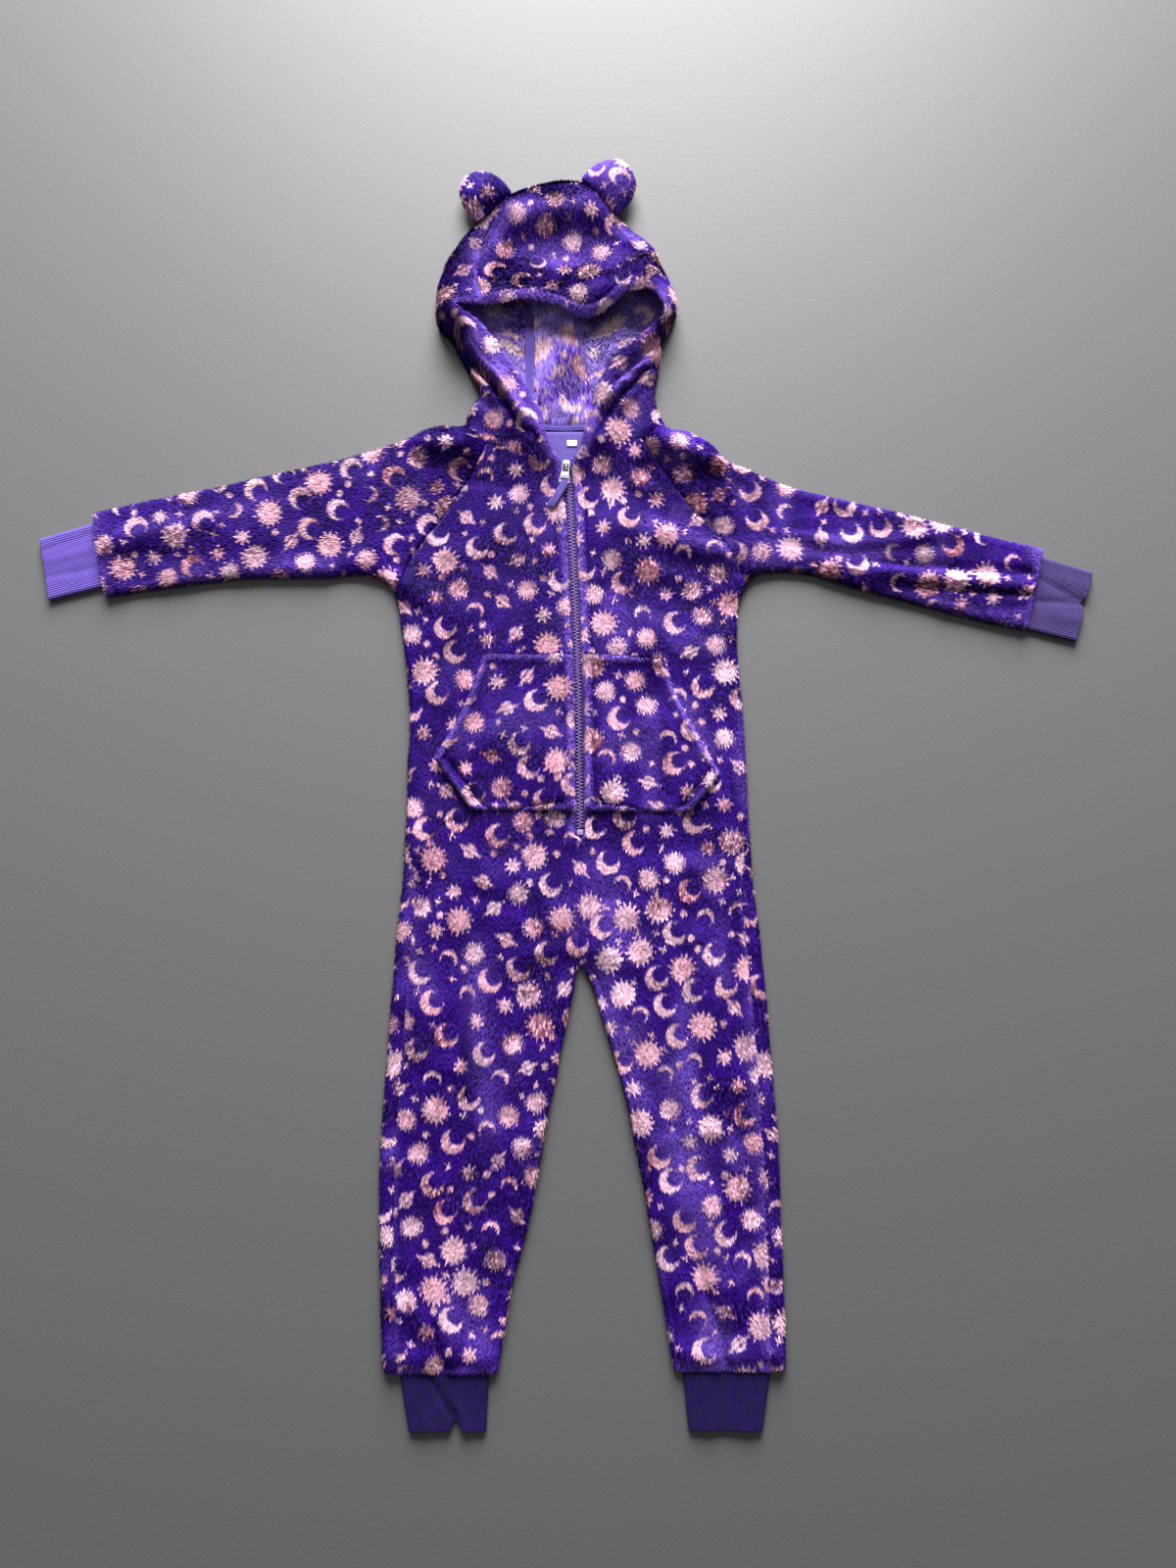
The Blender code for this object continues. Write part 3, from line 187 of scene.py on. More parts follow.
SEAMS = {
    "l": {
        "raglan": (
            (-157, 163), (-151, 176), (-144, 192), (-129, 215), (-114, 235), (-90, 272), (-80, 291),
            (-73, 307),
        ),
        "raglan_back": (
            (-157, 163), (-151, 176), (-144, 192), (-129, 215), (-114, 235), (-92, 272), (-80, 298),
            (-72, 322),
        ),
        "neck": ((-5, 286), (-29, 290), (-54, 297.5), (-73, 307), (-84, 316), (-93, 325)),
        "neck_back": ((-34, 325), (-52, 324), (-72, 322), (-84, 323), (-93, 325)),
        "hem": (
            (-5, 286), (-12, 295), (-18, 310), (-23, 333), (-33, 350), (-42, 367), (-56, 385),
            (-66, 401), (-78, 414), (-90, 421), (-99, 424), (-101, 429), (-91, 432), (-77, 434),
        ),
        "hood_top": ((-77, 434), (-83, 466), (-80, 494), (-69, 538.9)),
        "hood_back": ((-34, 325), (-34, 358), (-37, 443), (-49, 494), (-69, 538.9)),
    },
    "r": {
        "raglan": (
            (166, 170), (160, 188), (150, 204), (139, 220), (118, 242), (99, 268), (81, 293), (69, 311),
        ),
        "raglan_back": (
            (166, 170), (160, 188), (150, 204), (139, 220), (118, 242), (100, 270), (84, 296),
            (74, 320),
        ),
        "neck": ((9, 288), (21, 290.5), (40, 297), (56, 304), (69, 311), (82, 317), (96, 320)),
        "neck_back": ((30, 325), (52, 323), (74, 320), (86, 319), (96, 320)),
        "hem": (
            (9, 288), (15, 298), (17, 309), (20, 320), (26, 343), (34, 365), (46, 384), (60, 396),
            (77, 405), (88, 410), (93, 418), (92, 428), (87, 436), (81, 443), (73, 446),
        ),
        "hood_top": ((73, 446), (73, 476), (58, 502), (38, 543)),
        "hood_back": ((30, 325), (24, 358), (8, 426), (14, 484), (38, 543)),
    },
}
LEG_END = {"l": -524.0, "r": -522.0}

# Folds of the upper layer, as the height that they add or take away, in millimetres. Each is a line
# of points (x, y, height, half width of the stretch that starts here). No half width ends a stretch
FOLDS = (
    # Shoulders, chest, zip and neck
    ((-128, 305, 13, 13), (-92, 303, 14)), ((-132, 284, -1, 9), (-88, 283, -1)),
    ((87, 307, 14, 13), (130, 290, 15)), ((141, 283, 6, 7), (148, 258, 3)),
    ((39, 227, 4, 13), (143, 202, 7)), ((-149, 174, 5, 10), (-96, 146, 2)),
    ((0, 290, 2, 12), (13.9, -66, 2)), ((-48, 306, 5, 22), (44, 306, 5)),
    # Sleeves and legs, fuller at their hems
    ((-410, 215, 4, 12), (-330, 228, 3)), ((247, 187, 4, 11), (417, 166, 6)),
    ((-421, 178, 3, 10), (-431, 224, 3)), ((420, 146, 3, 10), (433, 192, 3)),
    ((-77, -190, 2, 8), (-80, -241, 6, 8), (-84, -300, 2)), ((-136, -466, 3, 12), (-97, -500, 5)),
    ((121, -155, 5, 14), (137, -275, 4)), ((122, -380, 4, 13), (140, -470, 5)),
    ((-142, -510, 4, 9), (-68, -510, 4)), ((108, -508, 4, 9), (180, -508, 4)),
    # Face opening: its hems, the rolls behind them and the troughs between
    ((-103, 417, 20, 15), (-68, 390, 16, 14), (-35, 339, 12, 13), (-12, 290, 3)),
    ((94, 413, 22, 15), (54, 385, 18, 14), (31, 341, 13, 13), (14, 292, 3)),
    ((-96, 376, 10, 9), (-62, 350, 11, 9), (-34, 312, 6)),
    ((80, 374, 11, 9), (52, 340, 11, 9), (34, 310, 6)),
    ((-97, 392, -7, 5), (-60, 354, -9, 5), (-32, 305, -3)),
    ((80, 394, -7, 5), (50, 362, -9, 5), (33, 313, -3)),
    # Brim and crown
    ((-112, 434, 20, 26), (-62, 446, 21, 26), (3, 442, 19, 26), (67, 455, 30, 26), (98, 432, 24)),
    ((-50, 534, 14, 20), (24, 536, 14)),
    ((-84, 500, 8, 18), (-96, 480, 8), (62, 492, 9, 18), (80, 472, 9)),
)
# Creases and soft swells between the folds, written the same way
CREASES = (
    # Chest, waist and hips
    ((-133, 218, 0.8, 7), (-110, 204, 1.8, 8), (-66, 199, 0.4)),
    ((-146, 167, 1.8, 6), (-123, 147, 1.5, 7), (-92, 138, 0.3)),
    ((57, 260, -1.0, 8), (103, 232, -2.4, 9), (152, 204, -1)),
    ((21, 218, 0.8, 9), (66, 190, 2.2, 9), (129, 167, 1.4)),
    ((44, 204, -0.8, 8), (111, 156, -1.5, 8), (158, 144, -0.8)), ((-146, 75, 1.5, 6), (-113, 62, 0.4)),
    ((-146, 3, 1.4, 6), (-121, -15, 0.3)), ((160, 75, 1.6, 6), (132, 88, 0.4)),
    ((166, -40, 1.5, 7), (138, -28, 0.4)),
    ((-133, -77, 1.2, 10), (-85, -103, 1.8, 10), (-14, -107, 0.5)),
    ((39, -103, 0.4, 10), (100, -85, 1.5, 9), (162, -94, 0.8)),
    # Crotch, thighs and legs
    ((11, -172, -1.5, 5), (-14, -190, -1.4, 7), (-48, -224, -0.3)),
    ((8, -160, 1.7, 6), (-31, -166, 1.3, 8), (-75, -181, 0.2)),
    ((20, -182, -1.7, 5), (38, -203, -1.6, 6), (62, -241, -0.4)),
    ((24, -163, 1.6, 7), (65, -176, 1.4, 8), (106, -196, 0.3)),
    ((-89, -187, -1.5, 4.5), (-92, -240, -1.7, 5), (-94, -296, -0.6)),
    ((80, -135, 0.8, 7), (92, -205, 2.6, 7), (112, -320, 2.2, 8), (118, -395, 0.5)),
    ((104, -165, -1.2, 5), (112, -262, -1.6)),
    ((-144, -241, 0.8, 8), (-117, -263, 1.6, 8), (-72, -267, 0.3)),
    ((-151, -343, 1.4, 8), (-112, -362, 0.6)), ((-60, -372, 1.4, 9), (-98, -398, 0.4)),
    ((-30, -318, 1.0, 7), (-48, -402, 1.5)), ((70, -300, 1.4, 7), (92, -398, 1.0)),
    ((69, -275, -0.8, 6), (98, -317, -1.6, 6), (107, -359, -0.4)),
    ((130, -330, -1.4, 5), (128, -380, -1.2)),
    ((142, -241, 0.8, 6), (163, -317, 1.6, 6), (168, -401, 0.6)),
    # Ankles
    ((-128, -446, -1.6, 4.5), (-113, -484, -2.6, 5), (-106, -518, -3.4)),
    ((-84, -470, -0.8, 6), (-86, -515, -2.0)),
    ((116, -434, -1.4, 5), (128, -474, -2.0, 5), (141, -518, -3.4)),
    ((168, -430, -1, 4.5), (172, -515, -2.2)),
    # Arms
    ((-420, 198, -1.2, 6), (-341, 196, -1.6, 8), (-224, 208, -0.6)),
    ((-305, 188, 0.6, 6), (-223, 187, 1.8, 8), (-166, 198, 1)), ((-250, 262, 1.2, 9), (-196, 268, 1.8)),
    ((-166, 200, -1.6, 4.5), (-151, 183, -2)),
    ((258, 191, -0.8, 4.5), (320, 188, -3.0, 5), (424, 181, -3.8)),
    ((190, 222, 0.6, 6), (249, 209, 2.8, 6), (315, 212, 2.6, 6), (366, 220, 0.8)),
    ((299, 170, -1.0, 4), (424, 160, -3.4)), ((172, 202, -1.8, 4.5), (158, 186, -1.8)),
    ((196, 248, -1.2, 7), (262, 236, -1.4)),
    # Brim and crown
    ((-86, 470, 2.6, 2.8), (-76, 448, 1.4)), ((66, 468, 2.2, 3), (84, 484, 1.8)),
    ((72, 459, 1.8, 3), (92, 468, 2.2)), ((-38, 536, -1.6, 7), (-20, 508, -0.8)),
    ((36, 512, -1.8, 6), (66, 492, -1.2)), ((-60, 494, -1.6, 9), (10, 488, -1.4)),
    ((-66, 462, -0.7, 4), (-8, 458, -0.8, 4), (52, 470, -0.7)),
    # Face opening
    ((-93, 390, -5, 2.9), (-67, 357, -8, 2.8), (-42, 325, -7, 2.8), (-26, 308, -3)),
    ((88, 386, -5, 2.9), (55, 356, -7, 3.0), (36, 338, -6, 2.8), (30, 316, -2.5)),
    ((-86, 398, 1.6, 6), (-61, 368, 3.4, 5.5), (-36, 327, 1.8)),
    ((80, 391, 1.6, 6), (57, 371, 3.2, 5.5), (29, 331, 1.4)),
    ((-92, 397, 3.0, 2.9), (-63, 363, 6.2, 2.7), (-38, 325, 3.0)),
    ((84, 389, 3.0, 2.9), (54, 363, 6.0, 2.6), (33, 338, 2.4)),
    # Hood sides and shoulders
    ((50, 314, 1.5, 5), (72, 345, 2.6, 5), (90, 370, 1)), ((-86, 346, 1.6, 6), (-70, 330, 2.2)),
    ((-88, 272, -1.2, 6), (-52, 262, -1.0)), ((62, 286, -1.6, 5), (92, 266, -1.8)),
)
CREASED = 1.5         # how much deeper the creases lie than their table says
# The same on the lower layer, which they lift off the floor
UNDER_FOLDS = (
    ((-22, 352, 3, 11), (-4, 396, 4)), ((44, 400, 4, 12), (60, 430, 3)),
    ((-26, 404, 2, 6), (-8, 436, 2.6)), ((-128, 96, 0.6, 8), (-52, 74, 1.3)),
    ((40, 120, 1.3, 8), (138, 98, 0.7)), ((-120, -112, 0.6, 9), (-40, -138, 1.4)),
    ((44, -132, 1.3, 9), (150, -112, 0.7)), ((-140, -300, 0.7, 7), (-60, -318, 1.2)),
    ((82, -330, 1.2, 7), (168, -312, 0.6)), ((-300, 196, 0.7, 8), (-268, 262, 1.1)),
    ((286, 182, 1.0, 7), (312, 226, 0.7)),
)


def smooth(points, step=2.5):
    """A smooth curve through the points, as points about a step apart."""
    at = np.array(points, float)
    run = np.diff(at, axis=0)
    size = np.linalg.norm(run, axis=1)[:, None]
    slope = run / size
    inner = (slope[:-1] * size[1:] + slope[1:] * size[:-1]) / (size[:-1] + size[1:])
    slope = np.vstack([slope[:1], inner, slope[-1:]])
    rows = []
    for i, length in enumerate(size[:, 0]):
        t = np.arange(0, 1, 1 / max(1, round(length / step)))[:, None]
        rows.append(
            (1 + 2 * t) * (1 - t) ** 2 * at[i]
            + t**2 * (3 - 2 * t) * at[i + 1]
            + t * (1 - t) ** 2 * length * slope[i]
            - t**2 * (1 - t) * length * slope[i + 1]
        )
    return np.vstack([*rows, at[-1:]])


def lengths(curve):
    """Length along the curve up to each of its points."""
    return np.concatenate([[0], np.cumsum(np.linalg.norm(np.diff(curve, axis=0), axis=1))])


def along(curve, share):
    """Points at shares of the curve's length."""
    place = lengths(curve)
    at = np.asarray(share, float) * place[-1]
    return np.stack([np.interp(at, place, values) for values in curve.T], -1)


def share_near(curve, point):
    """Share of the curve's length at its point nearest the given one."""
    gap = np.linalg.norm(curve - np.array(point, float), axis=1)
    return lengths(curve)[int(np.argmin(gap))] / lengths(curve)[-1]


def part_of(curve, start, end):
    """The stretch of the curve between two shares of its length, which may run backwards."""
    return along(curve, np.linspace(start, end, max(8, int(abs(end - start) * len(curve)))))


def x_at(curve, y):
    """Where a curve that runs up or down the garment crosses each y."""
    order = np.argsort(curve[:, 1])
    return np.interp(y, curve[order, 1], curve[order, 0])


def eased(t):
    """A smooth step: 0 below 0, 1 above 1."""
    t = np.clip(t, 0, 1)
    return t * t * (3 - 2 * t)


EDGES = [smooth(points) for points in (SIDE_L, UPPER, SIDE_R, INSEAM)]
EDGE_FROM = np.vstack([edge[:-1] for edge in EDGES])
EDGE_RUN = np.vstack([np.diff(edge, axis=0) for edge in EDGES])
EDGE_SQUARE = (EDGE_RUN**2).sum(1)
EDGE_TREE = KDTree(len(EDGE_FROM))
for place, point in enumerate(EDGE_FROM):
    EDGE_TREE.insert((*point, 0), place)
EDGE_TREE.balance()
EDGE_REACH = 26.0     # further in than this nothing depends on the edge


def edge_normals():
    """Unit direction into the cloth on each stretch of the edges, evened out over about 12 mm."""
    rows = []
    for edge in EDGES:
        run = np.diff(edge, axis=0)
        padded = np.pad(run, ((2, 2), (0, 0)), mode="edge")
        run = sum(padded[i : i + len(run)] for i in range(5))
        rows.append(np.stack([run[:, 1], -run[:, 0]], 1) / np.linalg.norm(run, axis=1)[:, None])
    return np.vstack(rows)


EDGE_IN = edge_normals()


def from_edge(plan):
    """Distance of each point from the garment's edge, and the unit direction inwards there."""
    distance = np.empty(len(plan))
    inward = np.zeros((len(plan), 2))
    for i, point in enumerate(plan):
        distance[i] = EDGE_TREE.find((*point, 0))[2]
        if distance[i] > EDGE_REACH:
            continue
        gap = point - EDGE_FROM
        t = np.clip((gap * EDGE_RUN).sum(1) / EDGE_SQUARE, 0, 1)
        away = gap - t[:, None] * EDGE_RUN
        square = (away**2).sum(1)
        k = int(np.argmin(square))
        distance[i] = math.sqrt(square[k])
        inward[i] = away[k] / distance[i] if distance[i] > 0.3 else EDGE_IN[k]
    return distance, inward


def height(plan, folds, base):
    """Height at each point: the base, and the largest rise of each fold on the way along it."""
    total = np.full(len(plan), float(base))
    for fold in folds:
        most = np.zeros(len(plan))
        for (x0, y0, start, *width), (x1, y1, end, *_) in zip(fold, fold[1:]):
            if not width:
                continue
            run = np.array([x1 - x0, y1 - y0], float)
            gap = plan - np.array([x0, y0], float)
            t = np.clip(gap @ run / (run @ run), 0, 1)
            off = np.linalg.norm(gap - t[:, None] * run, axis=1)
            rise = (start + (end - start) * t) * np.exp(-((off / width[0]) ** 2))
            most = np.where(np.abs(rise) > np.abs(most), rise, most)
        total += most
    return total


def ripple(plan):
    """Unevenness of soft cloth at rest, over spans of about 45 and 16 mm, less beside the zip."""
    off_zip = 0.3 + 0.7 * eased((np.abs(plan[:, 0] - 11.5 + plan[:, 1] * 0.04) - 5) / 30)
    return off_zip * np.array([
        2.6 * noise.noise((x / 46, y / 46, 7.0)) + 0.9 * noise.noise((x / 17, y / 17, 3.0))
        for x, y in plan
    ])


def upper_height(plan):
    """Height of the upper layer's face, before its ripple."""
    return np.maximum(height(plan, FOLDS, FLAT) + CREASED * height(plan, CREASES, 0), LEAST)


def slant(plan):
    """How much taller than thick the wall is where the upper layer slopes."""
    dx = upper_height(plan + (1, 0)) - upper_height(plan - (1, 0))
    dy = upper_height(plan + (0, 1)) - upper_height(plan - (0, 1))
    return np.minimum(np.sqrt(1 + (dx**2 + dy**2) / 4), 1.6)


def lie(plan, upper):
    """Outer and inner points of the cloth over plan points, on the upper or the lower layer."""
    distance, inward = from_edge(plan)
    under = height(plan, UNDER_FOLDS, 0)
    top = np.maximum(upper_height(plan) + ripple(plan), LEAST) + under
    wide = np.where(upper, TOP_ROLL + 0.4 * np.maximum(top - 10, 0), ROLL)
    short = np.clip(1 - distance / wide, 0, 1)
    level = np.sqrt(1 - short**2)
    top_out = ROLL + (top - ROLL) * level
    top_in = ROLL + (top - ROLL - WALL * slant(plan)) * level
    top_in = np.maximum(top_in, ROLL + (WALL + under + REST - ROLL) * level)
    low_out = ROLL + (under - ROLL) * level
    low_in = ROLL + (under + WALL - ROLL) * level
    inner = plan + inward * (WALL * short)[:, None]
    outer_z = np.where(upper, top_out, low_out)
    inner_z = np.where(upper, top_in, low_in)
    return np.column_stack([plan, outer_z]), np.column_stack([inner, inner_z])


def grid_paths(points):
    """Length along each row, and down each column, up to each point of a grid."""
    across = np.cumsum(np.linalg.norm(np.diff(points, axis=1), axis=2), axis=1)
    down = np.cumsum(np.linalg.norm(np.diff(points, axis=0), axis=2), axis=0)
    return np.pad(across, ((0, 0), (1, 0))), np.pad(down, ((1, 0), (0, 0)))


def gap_to(points, sides=("start", "end", "top", "foot")):
    """Length along the cloth from each point of a grid to the nearest of these sides."""
    across, down = grid_paths(points)
    gaps = {"start": across, "end": across[:, -1:] - across, "top": down, "foot": down[-1:] - down}
    return np.min([gaps[side] for side in sides], axis=0)


def shell_faces(rows, columns):
    """Faces of a wall between two grids, outer ones first, then inner ones, then the rim."""
    number = np.arange(rows * columns).reshape(rows, columns)
    a, b, c, d = number[:-1, :-1], number[:-1, 1:], number[1:, 1:], number[1:, :-1]
    outer = np.stack([a, b, c, d], -1).reshape(-1, 4)
    inner = outer[:, ::-1] + rows * columns
    ring = np.concatenate([number[0], number[1:, -1], number[-1, -2::-1], number[-2:0:-1, 0]])
    after = np.roll(ring, -1)
    rim = np.stack([after, ring, ring + rows * columns, after + rows * columns], -1)
    return outer, inner, rim


def new_object(name, points, faces, finish, uvs=()):
    """A mesh object from points in the tables' millimetres; uvs hold (name, one pair per corner)."""
    mesh = bpy.data.meshes.new(name)
    place = (np.asarray(points, float) - (*CENTRE, 0)) * MM
    mesh.from_pydata(place.tolist(), [], [tuple(int(i) for i in face) for face in faces])
    for map_name, pairs in uvs:
        layer = mesh.uv_layers.new(name=map_name)
        layer.uv.foreach_set("vector", np.asarray(pairs, np.float32).ravel())
    mesh.materials.append(finish)
    mesh.shade_smooth()
    return new_thing(name, mesh)


BAKE_SHARE = 0.6      # share of the bake's map that the outer face takes


def cloth(name, plan, upper, finish, flat, stitched=()):
    """A cloth wall from a grid of plan points, turned down at its seams all round, with its grid.

    flat gives u and v in millimetres on the cloth from the outer points' grid. stitched holds
    (side, distance, depth as a share of the wall, half width) of each line of topstitching.
    """
    rows, columns = plan.shape[:2]
    on_top = np.broadcast_to(upper, (rows, columns)).reshape(-1)
    outer, inner = [grid.reshape(rows, columns, 3) for grid in lie(plan.reshape(-1, 2), on_top)]
    wall = inner - outer
    turn = 1 - np.clip(gap_to(outer) / SEAM_ROUND, 0, 1)
    turn = 1 - np.sqrt(1 - turn**2)
    sink = SEAM_SINK * turn
    for side, distance, deep, wide in stitched:
        sink = np.maximum(sink, deep * np.exp(-(((gap_to(outer, [side]) - distance) / wide) ** 2)))
    thick = np.linalg.norm(wall, axis=2, keepdims=True)
    outer = outer + wall / thick * (sink[..., None] * WALL)
    inner = inner - wall / thick * (0.3 * turn[..., None] * WALL)
    u, v = flat(outer)
    return wrap(name, outer, inner, u, v, finish)


def face_in(points, other, faces):
    """Whether faces on one side of a wall look towards its other side."""
    a, b, c, d = [points.reshape(-1, 3)[faces[:, k]] for k in range(4)]
    return (np.cross(c - a, d - b) * (points - other).reshape(-1, 3)[faces[:, 0]]).sum() < 0


def wrap(name, outer, inner, u, v, finish):
    """The closed wall between two grids, with the flat map in metres and the map for baking."""
    rows, columns = outer.shape[:2]
    sides = shell_faces(rows, columns)
    if face_in(outer, inner, sides[0]):
        sides = [side[:, ::-1] for side in sides]
    flat = np.stack([u, v], -1).reshape(-1, 2)
    low, span = flat.min(0), np.ptp(flat, axis=0)
    unit = (flat - low) / span
    points = np.vstack([outer.reshape(-1, 3), inner.reshape(-1, 3)])
    number = np.concatenate([side.ravel() for side in sides])
    kind = np.repeat([0, 1, 0], [side.size for side in sides])
    pairs = unit[number % len(unit)]
    pairs[:, 0] *= np.where(kind == 0, BAKE_SHARE, 1 - BAKE_SHARE)
    pairs[:, 0] += np.where(kind == 1, BAKE_SHARE, 0)
    uvs = [("flat", flat[number % len(flat)] * MM), ("OFBake", pairs * 0.98 + 0.01)]
    thing = new_object(name, points, np.vstack(sides), finish, uvs)
    return {"thing": thing, "outer": outer, "inner": inner, "u": u, "v": v}


WAY = {"l": -1, "r": 1}
BODY_EDGE = {"l": EDGES[0], "r": EDGES[2]}
SEAM = {side: {name: smooth(points) for name, points in SEAMS[side].items()} for side in SEAMS}
CROTCH = INSEAM[7]
CROTCH_SPLIT = share_near(EDGES[3], CROTCH)
LEG_INSIDE = {
    "l": part_of(EDGES[3], CROTCH_SPLIT, 1),
    "r": part_of(EDGES[3], CROTCH_SPLIT, 0),
}
UNDERARM = 160
# Rows: shares along the raglan seam from the neck down, then heights on the body and legs
RAGLAN_ROWS = np.concatenate([(1, 0.997, 0.991, 0.982, 0.97), np.linspace(0.95, 0, 33)])
BODY_ROWS = np.concatenate([np.linspace(155, -57, 42), (-62, -62.5), np.linspace(-67, -172, 21)])
LEG_ROWS = np.concatenate([np.linspace(-176, -512, 66), (-516, -518.5, -520.3, -521.3)])
# Columns near a folded edge or a seam, in millimetres from it
EDGE_NEAR = TOP_ROLL * (1 - np.cos(np.radians((0, 15, 30, 45, 60, 75, 90))))
BACK_NECK = 325
BACK_NEAR = np.array((0, 0.5, 1.2, 2.2, 3.4, 4.8, 6.2, 7.5, 9, 11.5, 15, 22.8))


def spread(length, first, last, middle):
    """Distances from 0 to the length, close together as first and last say at its ends."""
    share = min(1, length / (3 * max(first[-1], last[-1], 1)))
    first, last = np.array(first) * share, length - np.array(last)[::-1] * share
    return np.concatenate([first, np.linspace(first[-1], last[0], middle + 2)[1:-1], last])


def rolled(path):
    """Distance in plan from the edge, and whether it is on top, at distances along the cloth.

    The path runs from negative on the upper layer through the edge's middle to the lower layer.
    """
    path = np.asarray(path, float)
    angle = np.minimum(np.abs(path) / ROLL_ARC, 1) * math.pi / 2
    wide = np.where(path < 0, TOP_ROLL, ROLL)
    return wide * (1 - np.cos(angle)) + np.maximum(np.abs(path) - ROLL_ARC, 0), path < 0


def side_seam(y):
    """Where the side seam lies, along the cloth from the edge's middle: negative is on top."""
    return -(LEG_SEAM_IN - TOP_ROLL + ROLL_ARC) * eased((-40 - y) / 90)


def on_line(start, end, distance):
    """Points at distances from the start on the straight line to the end."""
    run = end - start
    return start + run / np.linalg.norm(run) * np.asarray(distance)[:, None]


def half_rows(side, raglan, top, middle_at):
    """Each row of one half of the body: its point at the side, at the middle, and its part."""
    rows = []
    for share in RAGLAN_ROWS:
        y = UNDERARM + (top - UNDERARM) * share
        rows.append((along(raglan, share), np.array([middle_at(y), y]), "raglan"))
    body = BODY_EDGE[side]
    body = body[(body[:, 1] < UNDERARM) & (np.abs(body[:, 0]) < 200)]
    for y in [*BODY_ROWS, *LEG_ROWS, LEG_END[side]]:
        leg = y <= CROTCH[1]
        middle = x_at(LEG_INSIDE[side], y) if leg else middle_at(y)
        rows.append((np.array([x_at(body, y), y]), np.array([middle, y]), "leg" if leg else "body"))
    return rows


def cut_upright(side, way=1, moved=0.0):
    """The flat map of a half that is cut upright: v runs down it, and u across from its middle."""

    def flat(points):
        across, _ = grid_paths(points)
        return way * (points[:, -1:, 0] + WAY[side] * (across[:, -1:] - across)) + moved, -points[..., 1]

    return flat


# Coral fleece: brushed polyester knit with a dense cut pile, printed before the pile is raised.
# Its colours are the ground, the ground's deeper patches, the motifs and their deeper ones
FLEECE_COLOURS = ("481AA4", "300C80", "FFCFE8", "FFBCD2")
SHEEN_HEX = "9C80F0"
CELL, CELL_LOOSE = 28.5, 0.32     # the print's repeat, and how far a motif strays in it
SMALL_CELL, SMALL_SHIFT = 17.0, (5.0, 9.0, 0)
PRINT_TURN = 0.40                 # the repeat's turn on the cloth, in radians
FUZZ = 1.1                        # how far the pile blurs a printed edge, in millimetres
PICKS = (0.19, 0.37, 0.60, 0.75, 0.89)     # share of the cells up to each next main motif


def new_tree(name, kind, inputs, outputs):
    """A node group, what adds a node to it, and its inputs."""
    tree = bpy.data.node_groups.new(name, kind)
    for way, sockets in (("INPUT", inputs), ("OUTPUT", outputs)):
        for label, value in sockets.items():
            tree.interface.new_socket(label, in_out=way, socket_type="NodeSocket" + value)
    node = partial(add_node, tree)
    return tree, node, node("NodeGroupInput")


